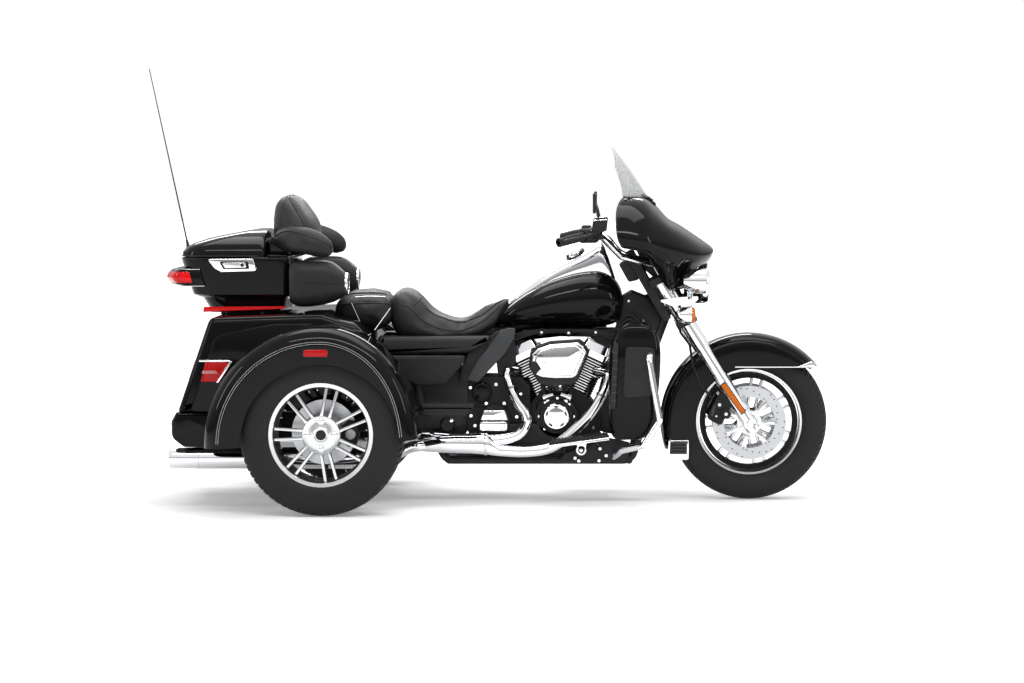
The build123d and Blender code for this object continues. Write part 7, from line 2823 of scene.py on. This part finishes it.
# ---------------------------------------------------------------- frame dressing and controls
@dataclass
class Chassis:
    """The frame's dressing: side covers, deflectors, footboards and the neck's cover."""

    cover: tuple[Pair, ...] = (
        (-0.4, 0.603), (-0.068, 0.603), (-0.082, 0.566), (-0.15, 0.482), (-0.262, 0.48), (-0.32, 0.512),
        (-0.4, 0.545))
    skirt: tuple[Pair, ...] = (
        (-0.42, 0.68), (0.03, 0.68), (0.024, 0.652), (-0.006, 0.638), (-0.046, 0.617), (-0.1, 0.607),
        (-0.42, 0.605))
    deflector: tuple[Pair, ...] = (
        (0.131, 0.712), (0.127, 0.672), (0.092, 0.612), (-0.022, 0.491), (-0.069, 0.5), (-0.026, 0.576),
        (0.046, 0.668), (0.07, 0.7), (0.1, 0.712))
    stands_for: tuple[str, ...] = ("side_covers", "deflectors", "rider_footboards", "passenger_footboards")

    def covers(self) -> None:
        """Build the side covers, the seat's side skirts and the deflectors."""
        mesh = Mesh("side_covers_dressed").use(SATIN)
        mesh.prism(rounded(self.cover, 0.012, 4), -0.206, -0.168, "XZ", 0.009, 4)
        inner = [(x * 0.93 - 0.016, (z - 0.548) * 0.8 + 0.548) for x, z in self.cover]
        mesh.prism(rounded(inner, 0.012, 4), -0.2075, -0.19, "XZ", 0.002)
        mesh.block((-0.28, -0.144, 0.58), (0.04, 0.05, 0.036), 0.003)
        mount(mesh.mirrored().object(COVER), Body.CHASSIS, Slot.SATIN, "side_covers")
        mesh = Mesh("seat_skirts").use(LEATHER)
        mesh.prism(rounded(self.skirt, 0.006, 4), -0.198, -0.12, "XZ", 0.02, 5)
        mount(mesh.mirrored().object(MOULDED), Body.CHASSIS, Slot.LEATHER)
        mesh = Mesh("deflectors_dressed").use(GREY_PLASTIC)
        mesh.prism(rounded(self.deflector, 0.009, 4), -0.178, -0.166, "XZ", 0.005, 3)
        mesh.plate([(0.01, 0.6), (0.055, 0.62), (0.055, 0.66), (0.02, 0.65)], 0.006, -0.168, -0.06, 0.003)
        mount(mesh.mirrored().object(COVER), Body.CHASSIS, Slot.PLASTIC, "deflectors")

    def boards(self) -> None:
        """Build the footboards with their rubber pads and brackets."""
        mesh = Mesh("rider_footboards_dressed").use(CHROME)
        low, high = Vector((0.268, 0.0, 0.238)), Vector((0.512, 0.0, 0.272))
        plate = [(low.x, low.z), (high.x, high.z), (high.x - 0.002, high.z + 0.011), (low.x, low.z + 0.013)]
        mesh.plate(plate, 0.003, -0.34, -0.215, 0.003)
        pad = [(low.x + 0.004, low.z + 0.0125), (high.x - 0.006, high.z + 0.0095),
               (high.x - 0.008, high.z + 0.021), (low.x + 0.002, low.z + 0.0255)]
        mesh.use(RUBBER).plate(pad, 0.004, -0.337, -0.218, 0.004)
        rib = Mesh("rib").block((0.0, 0.0, 0.0), (0.006, 0.104, 0.003), 0.001)
        mesh.repeat(rib, 18, (0.0128, 0.0, 0.0018), LEFT, 0.0, (0.283, -0.277, 0.2662))
        mesh.use(SATIN)
        for x, z in ((0.33, 0.246), (0.46, 0.262)):
            mesh.tube([(x, -0.15, 0.236), (x, -0.19, 0.24), (x, -0.222, z)], 0.01, 12, 3)
            mesh.tube([(x, -0.15, 0.176), (x, -0.15, 0.242)], 0.011, 12, 1)
        mount(mesh.mirrored().object(COVER), Body.CHASSIS, Slot.RUBBER, "rider_footboards")
        mesh = Mesh("passenger_footboards_dressed").use(PLASTIC)
        body = [(-0.232, 0.374), (-0.066, 0.37), (-0.04, 0.388), (-0.036, 0.396), (-0.234, 0.396)]
        mesh.plate(body, 0.006, -0.326, -0.238, 0.004)
        pad = [(-0.24, 0.3995), (-0.034, 0.3995), (-0.034, 0.412), (-0.24, 0.412)]
        mesh.use(RUBBER).plate(pad, 0.0055, -0.33, -0.235, 0.004)
        rib = Mesh("rib").block((0.0, 0.0, 0.0), (0.005, 0.08, 0.002), 0.0008)
        mesh.repeat(rib, 14, (0.0138, 0.0, 0.0), LEFT, 0.0, (-0.226, -0.2825, 0.4125))
        mesh.use(SATIN).tube(
            [(-0.251, -0.15, 0.388), (-0.235, -0.2, 0.388), (-0.205, -0.245, 0.386)], 0.013, 14, 3)
        mount(mesh.mirrored().object(COVER), Body.CHASSIS, Slot.PLASTIC, "passenger_footboards")

    def neck(self) -> None:
        """Build the dark cover over the frame's neck with its looms."""
        mesh = Mesh("neck_cover").use(SATIN)
        shape = [(0.545, 0.72), (0.56, 0.835), (0.6, 0.86), (0.668, 0.832), (0.722, 0.76), (0.728, 0.66),
                 (0.6, 0.64)]
        mesh.plate(shape, 0.014, -0.05, 0.05, 0.012)
        mesh.use(RUBBER)
        for side in (-1, 1):
            for lift in (0.0, 0.018):
                mesh.tube(
                    [(0.54, side * 0.07, 0.7 + lift), (0.59, side * 0.074, 0.742 + lift),
                     (0.64, side * 0.072, 0.7 + lift), (0.665, side * 0.07, 0.64 + lift)], 0.0065, 10)
        studs(mesh, MACHINED, -0.05, 0.006, [(0.59, 0.815), (0.65, 0.735), (0.6, 0.69)])
        mount(mesh.object(TRIM), Body.CHASSIS, Slot.SATIN)

    def build(self) -> None:
        """Build and mount the chassis' dressing."""
        self.covers()
        self.boards()
        self.neck()


@dataclass
class Controls:
    """The handlebar's grips, the switches, the levers and the mirrors."""

    stands_for: tuple[str, ...] = ("handlebar", "hand_controls", "mirrors")

    def build(self) -> None:
        """Dress the bar, the hand controls and the mirrors."""

        def grip_parts(mesh: Mesh) -> None:
            """Add the grips' flanges and ends.

            Args:
                mesh: The mesh that takes the parts.
            """
            for side in (-1, 1):
                inner, outer = Vector((0.402, side * 0.378, 1.0855)), Vector((0.312, side * 0.457, 1.064))
                way = (outer - inner).normalized()
                length = (outer - inner).length
                mesh.use(RUBBER).lathe(
                    [(0.0145, 0.0), (0.02, 0.0), (0.02, 0.004), (0.0172, 0.007), (0.0168, length * 0.5),
                     (0.0176, length - 0.006), (0.0186, length - 0.004), (0.018, length + 0.001),
                     (0.0, length + 0.002)], tuple(inner), tuple(way), 36)
                for k in range(5):
                    at = length * (0.22 + 0.14 * k)
                    mesh.lathe(
                        [(0.0166, at), (0.0182, at + 0.0012), (0.0182, at + 0.0042), (0.0166, at + 0.0054)],
                        tuple(inner), tuple(way), 36)

        def on_bar(centre: Vector, normal: Vector) -> Finish:
            """Give rubber to the grips and chrome to the bar."""
            return RUBBER if abs(centre.y) > 0.372 and centre.x < 0.408 else CHROME

        two_tone("handlebar", Body.STEERING, Slot.CHROME, on_bar, CRISP, grip_parts)

        def switches(mesh: Mesh) -> None:
            """Add the switch caps, the fluid reservoirs' lids and the cables.

            Args:
                mesh: The mesh that takes the parts.
            """
            for side in (-1, 1):
                mesh.use(CHROME).block(
                    (0.475, side * 0.3175, 1.15), (0.052, 0.048, 0.005), 0.002, Matrix.Rotation(-0.08, 3, "Y"))
                mesh.use(PLASTIC).block((0.415, side * 0.35, 1.098), (0.042, 0.04, 0.038), 0.007)
                for k, z in enumerate((1.1, 1.086)):
                    mesh.use(GREY_PLASTIC).block(
                        (0.396, side * (0.352 - 0.004 * k), z), (0.008, 0.016, 0.009), 0.002)
                mesh.use(RUBBER).tube(
                    [(0.47, side * 0.305, 1.088), (0.512, side * 0.262, 1.066), (0.552, side * 0.205, 1.02),
                     (0.61, side * 0.14, 0.99)], 0.0048, 10)

        two_tone("hand_controls", Body.STEERING, Slot.SATIN, lambda centre, normal: SATIN, CRISP, switches)
        mesh = Mesh("fork_trim").use(SATIN)
        strip = [(0.5745, 1.0077), (0.7305, 0.7317), (0.7635, 0.7503), (0.6075, 1.0263)]
        mesh.plate(strip, 0.008, -0.128, -0.112, 0.004)
        mesh.mirrored()
        lock = [(0.549, 0.965), (0.578, 0.986), (0.634, 0.988), (0.664, 0.935), (0.625, 0.9), (0.59, 0.892)]
        mesh.plate(lock, 0.01, -0.052, 0.052, 0.008)
        mesh.use(CHROME).lathe(button(0.014, 0.005, 0.011, 0.008), (0.602, 0.0, 0.987), UP, 28)
        mount(mesh.object(TRIM), Body.STEERING, Slot.SATIN)

        def on_mirror(centre: Vector, normal: Vector) -> Finish:
            """Give the silvered face to the rear and black to the housing."""
            return CHROME if normal.x < -0.9 and centre.z > 1.178 else SATIN

        two_tone("mirrors", Body.STEERING, Slot.SATIN, on_mirror)


ASSEMBLIES: list[type] = [
    Wheels, RearFenders, Trunk, TopBox, Seats, Tank, Fairing, FrontEnd, LegShields, Engine, Exhaust, Chassis,
    Controls]


# ---------------------------------------------------------------- studio
@dataclass
class Studio:
    """The camera, the lamps and the pale stage."""

    camera_place: Point = (0.5135, -11.8, 1.364)
    lens_mm: float = 101.2
    pitch_down: float = 3.48
    shift_x: float = -0.0957
    floor_half: float = 60.0
    shadow_to: float = 1.8
    white_from: float = 4.5
    near_glow: float = 0.22
    horizon: float = 0.3
    fill_light: float = 0.4
    glow_span: Pair = (0.02, 0.34)
    lamps: tuple[tuple[str, Point, Point, Pair, float], ...] = (
        ("overhead", (0.2, 0.2, 4.4), (0.1, 0.0, 0.4), (5.0, 2.2), 150.0),
        ("near strip", (0.2, -3.4, 3.6), (0.1, 0.0, 0.6), (4.6, 0.3), 85.0),
        ("far strip", (-0.6, 3.8, 3.0), (0.0, 0.0, 0.6), (4.0, 0.5), 70.0),
        ("rear strip", (-4.6, -2.2, 2.2), (-0.6, 0.0, 0.7), (0.4, 2.0), 30.0),
        ("front strip", (4.6, -2.4, 2.2), (0.8, 0.0, 0.7), (0.4, 2.0), 30.0))

    def camera(self) -> None:
        """Place the camera and make it the scene's own."""
        data = bpy.data.cameras.new("camera")
        data.lens = self.lens_mm
        data.sensor_width = 36.0
        data.shift_x = self.shift_x
        data.clip_end = 400.0
        camera = bpy.data.objects.new("camera", data)
        camera.location = self.camera_place
        camera.rotation_euler = (math.radians(90 - self.pitch_down), 0.0, 0.0)
        bpy.context.scene.collection.objects.link(camera)
        bpy.context.scene.camera = camera

    def lamp(self, name: str, place: Point, aim: Point, size: Pair, power: float) -> None:
        """Hang one soft rectangular lamp.

        Args:
            name: The lamp's name.
            place: Where it hangs.
            aim: The point that it faces.
            size: Its width and height.
            power: Its power in watts.
        """
        data = bpy.data.lights.new(name, "AREA")
        data.shape = "RECTANGLE"
        data.size, data.size_y = size
        data.energy = power
        lamp = bpy.data.objects.new(name, data)
        lamp.location = place
        lamp.rotation_euler = (Vector(aim) - Vector(place)).to_track_quat("-Z", "Y").to_euler()
        bpy.context.scene.collection.objects.link(lamp)

    def world(self) -> None:
        """Fill the surroundings: white where it is seen or mirrored, soft grey as light."""
        world = bpy.data.worlds.new("surroundings")
        bpy.context.scene.world = world
        world.use_nodes = True
        graph = Graph(world.node_tree)
        camera, glossy, through = graph.rays()
        way = graph.node("ShaderNodeTexCoord", {}, {}, "Generated")
        height = graph.node("ShaderNodeSeparateXYZ", {}, {0: way}, "Z")
        seen = camera.larger(through)
        mirrored = glossy * graph.between(height, *self.glow_span, self.horizon, 1.0) * (1.0 - seen)
        fill = (1.0 - seen - glossy).larger(0.0) * self.fill_light
        light = graph.make("ShaderNodeBackground", {}, {"Color": WHITE, "Strength": seen + mirrored + fill})
        graph.make("ShaderNodeOutputWorld", {}, {"Surface": light.outputs[0]})

    def floor(self) -> None:
        """Lay the pale floor that keeps the object's shadow."""
        mesh = Mesh("studio_floor")
        half = self.floor_half
        mesh.grid([[(-half, -half, 0.0), (half, -half, 0.0)], [(-half, half, 0.0), (half, half, 0.0)]])
        obj = mesh.object()
        graph = Surface("studio white")
        graph.set(Base_Color=WHITE, Roughness=0.9, Specular_IOR_Level=0.0, Emission_Color=WHITE)
        reach = graph.node("ShaderNodeVectorMath", {"operation": "LENGTH"}, {0: graph.place()}, "Value")
        far = graph.between(reach, self.shadow_to, self.white_from, 0.0, 1.0)
        camera, glossy, through = graph.rays()
        glow = far * (1.0 - self.near_glow) + self.near_glow
        graph.set(Emission_Strength=glow * camera.larger(glossy).larger(through))
        obj.data.materials.append(graph.material)
        obj.location.z = -0.0005

    def build(self) -> None:
        """Set up the whole studio."""
        scene = bpy.context.scene
        scene.view_settings.view_transform = "Standard"
        self.camera()
        self.world()
        self.floor()
        for lamp in self.lamps:
            self.lamp(*lamp)


def plain_nodes(done: set[str], bodies: dict[str, list[str]]) -> None:
    """Dress every solid that no sub-assembly stands for.

    Args:
        done: The nodes that have a piece of their own.
        bodies: The bodies and their nodes.
    """
    looks = {Slot.PAINT: PAINT, Slot.SATIN: SATIN, Slot.PLASTIC: PLASTIC, Slot.CHROME: CHROME,
             Slot.ALUMINIUM: MACHINED, Slot.TYRE: TYRE, Slot.RUBBER: RUBBER, Slot.LEATHER: LEATHER,
             Slot.RED: RED, Slot.GLASS: GLASS}
    own = {part["node"]: Slot(part["material_slot"]) for part in frame["record"]["subparts"]}
    for body, members in bodies.items():
        for node in members:
            if node not in done:
                carry_over(node, looks[own[node]], Body(body), own[node])


def main() -> None:
    """Build the studio and every sub-assembly."""
    logging.basicConfig(level=logging.INFO, format="%(name)s: %(message)s")
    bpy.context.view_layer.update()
    Studio().build()
    done: set[str] = set()
    for assembly in ASSEMBLIES:
        made = assembly()
        made.build()
        done.update(made.stands_for)
        LOG.info("built %s", type(made).__name__)
    record = frame["record"]
    plain_nodes(done, record["behaviour"]["bodies"])


if __name__ == "__main__":
    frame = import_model()
    main()
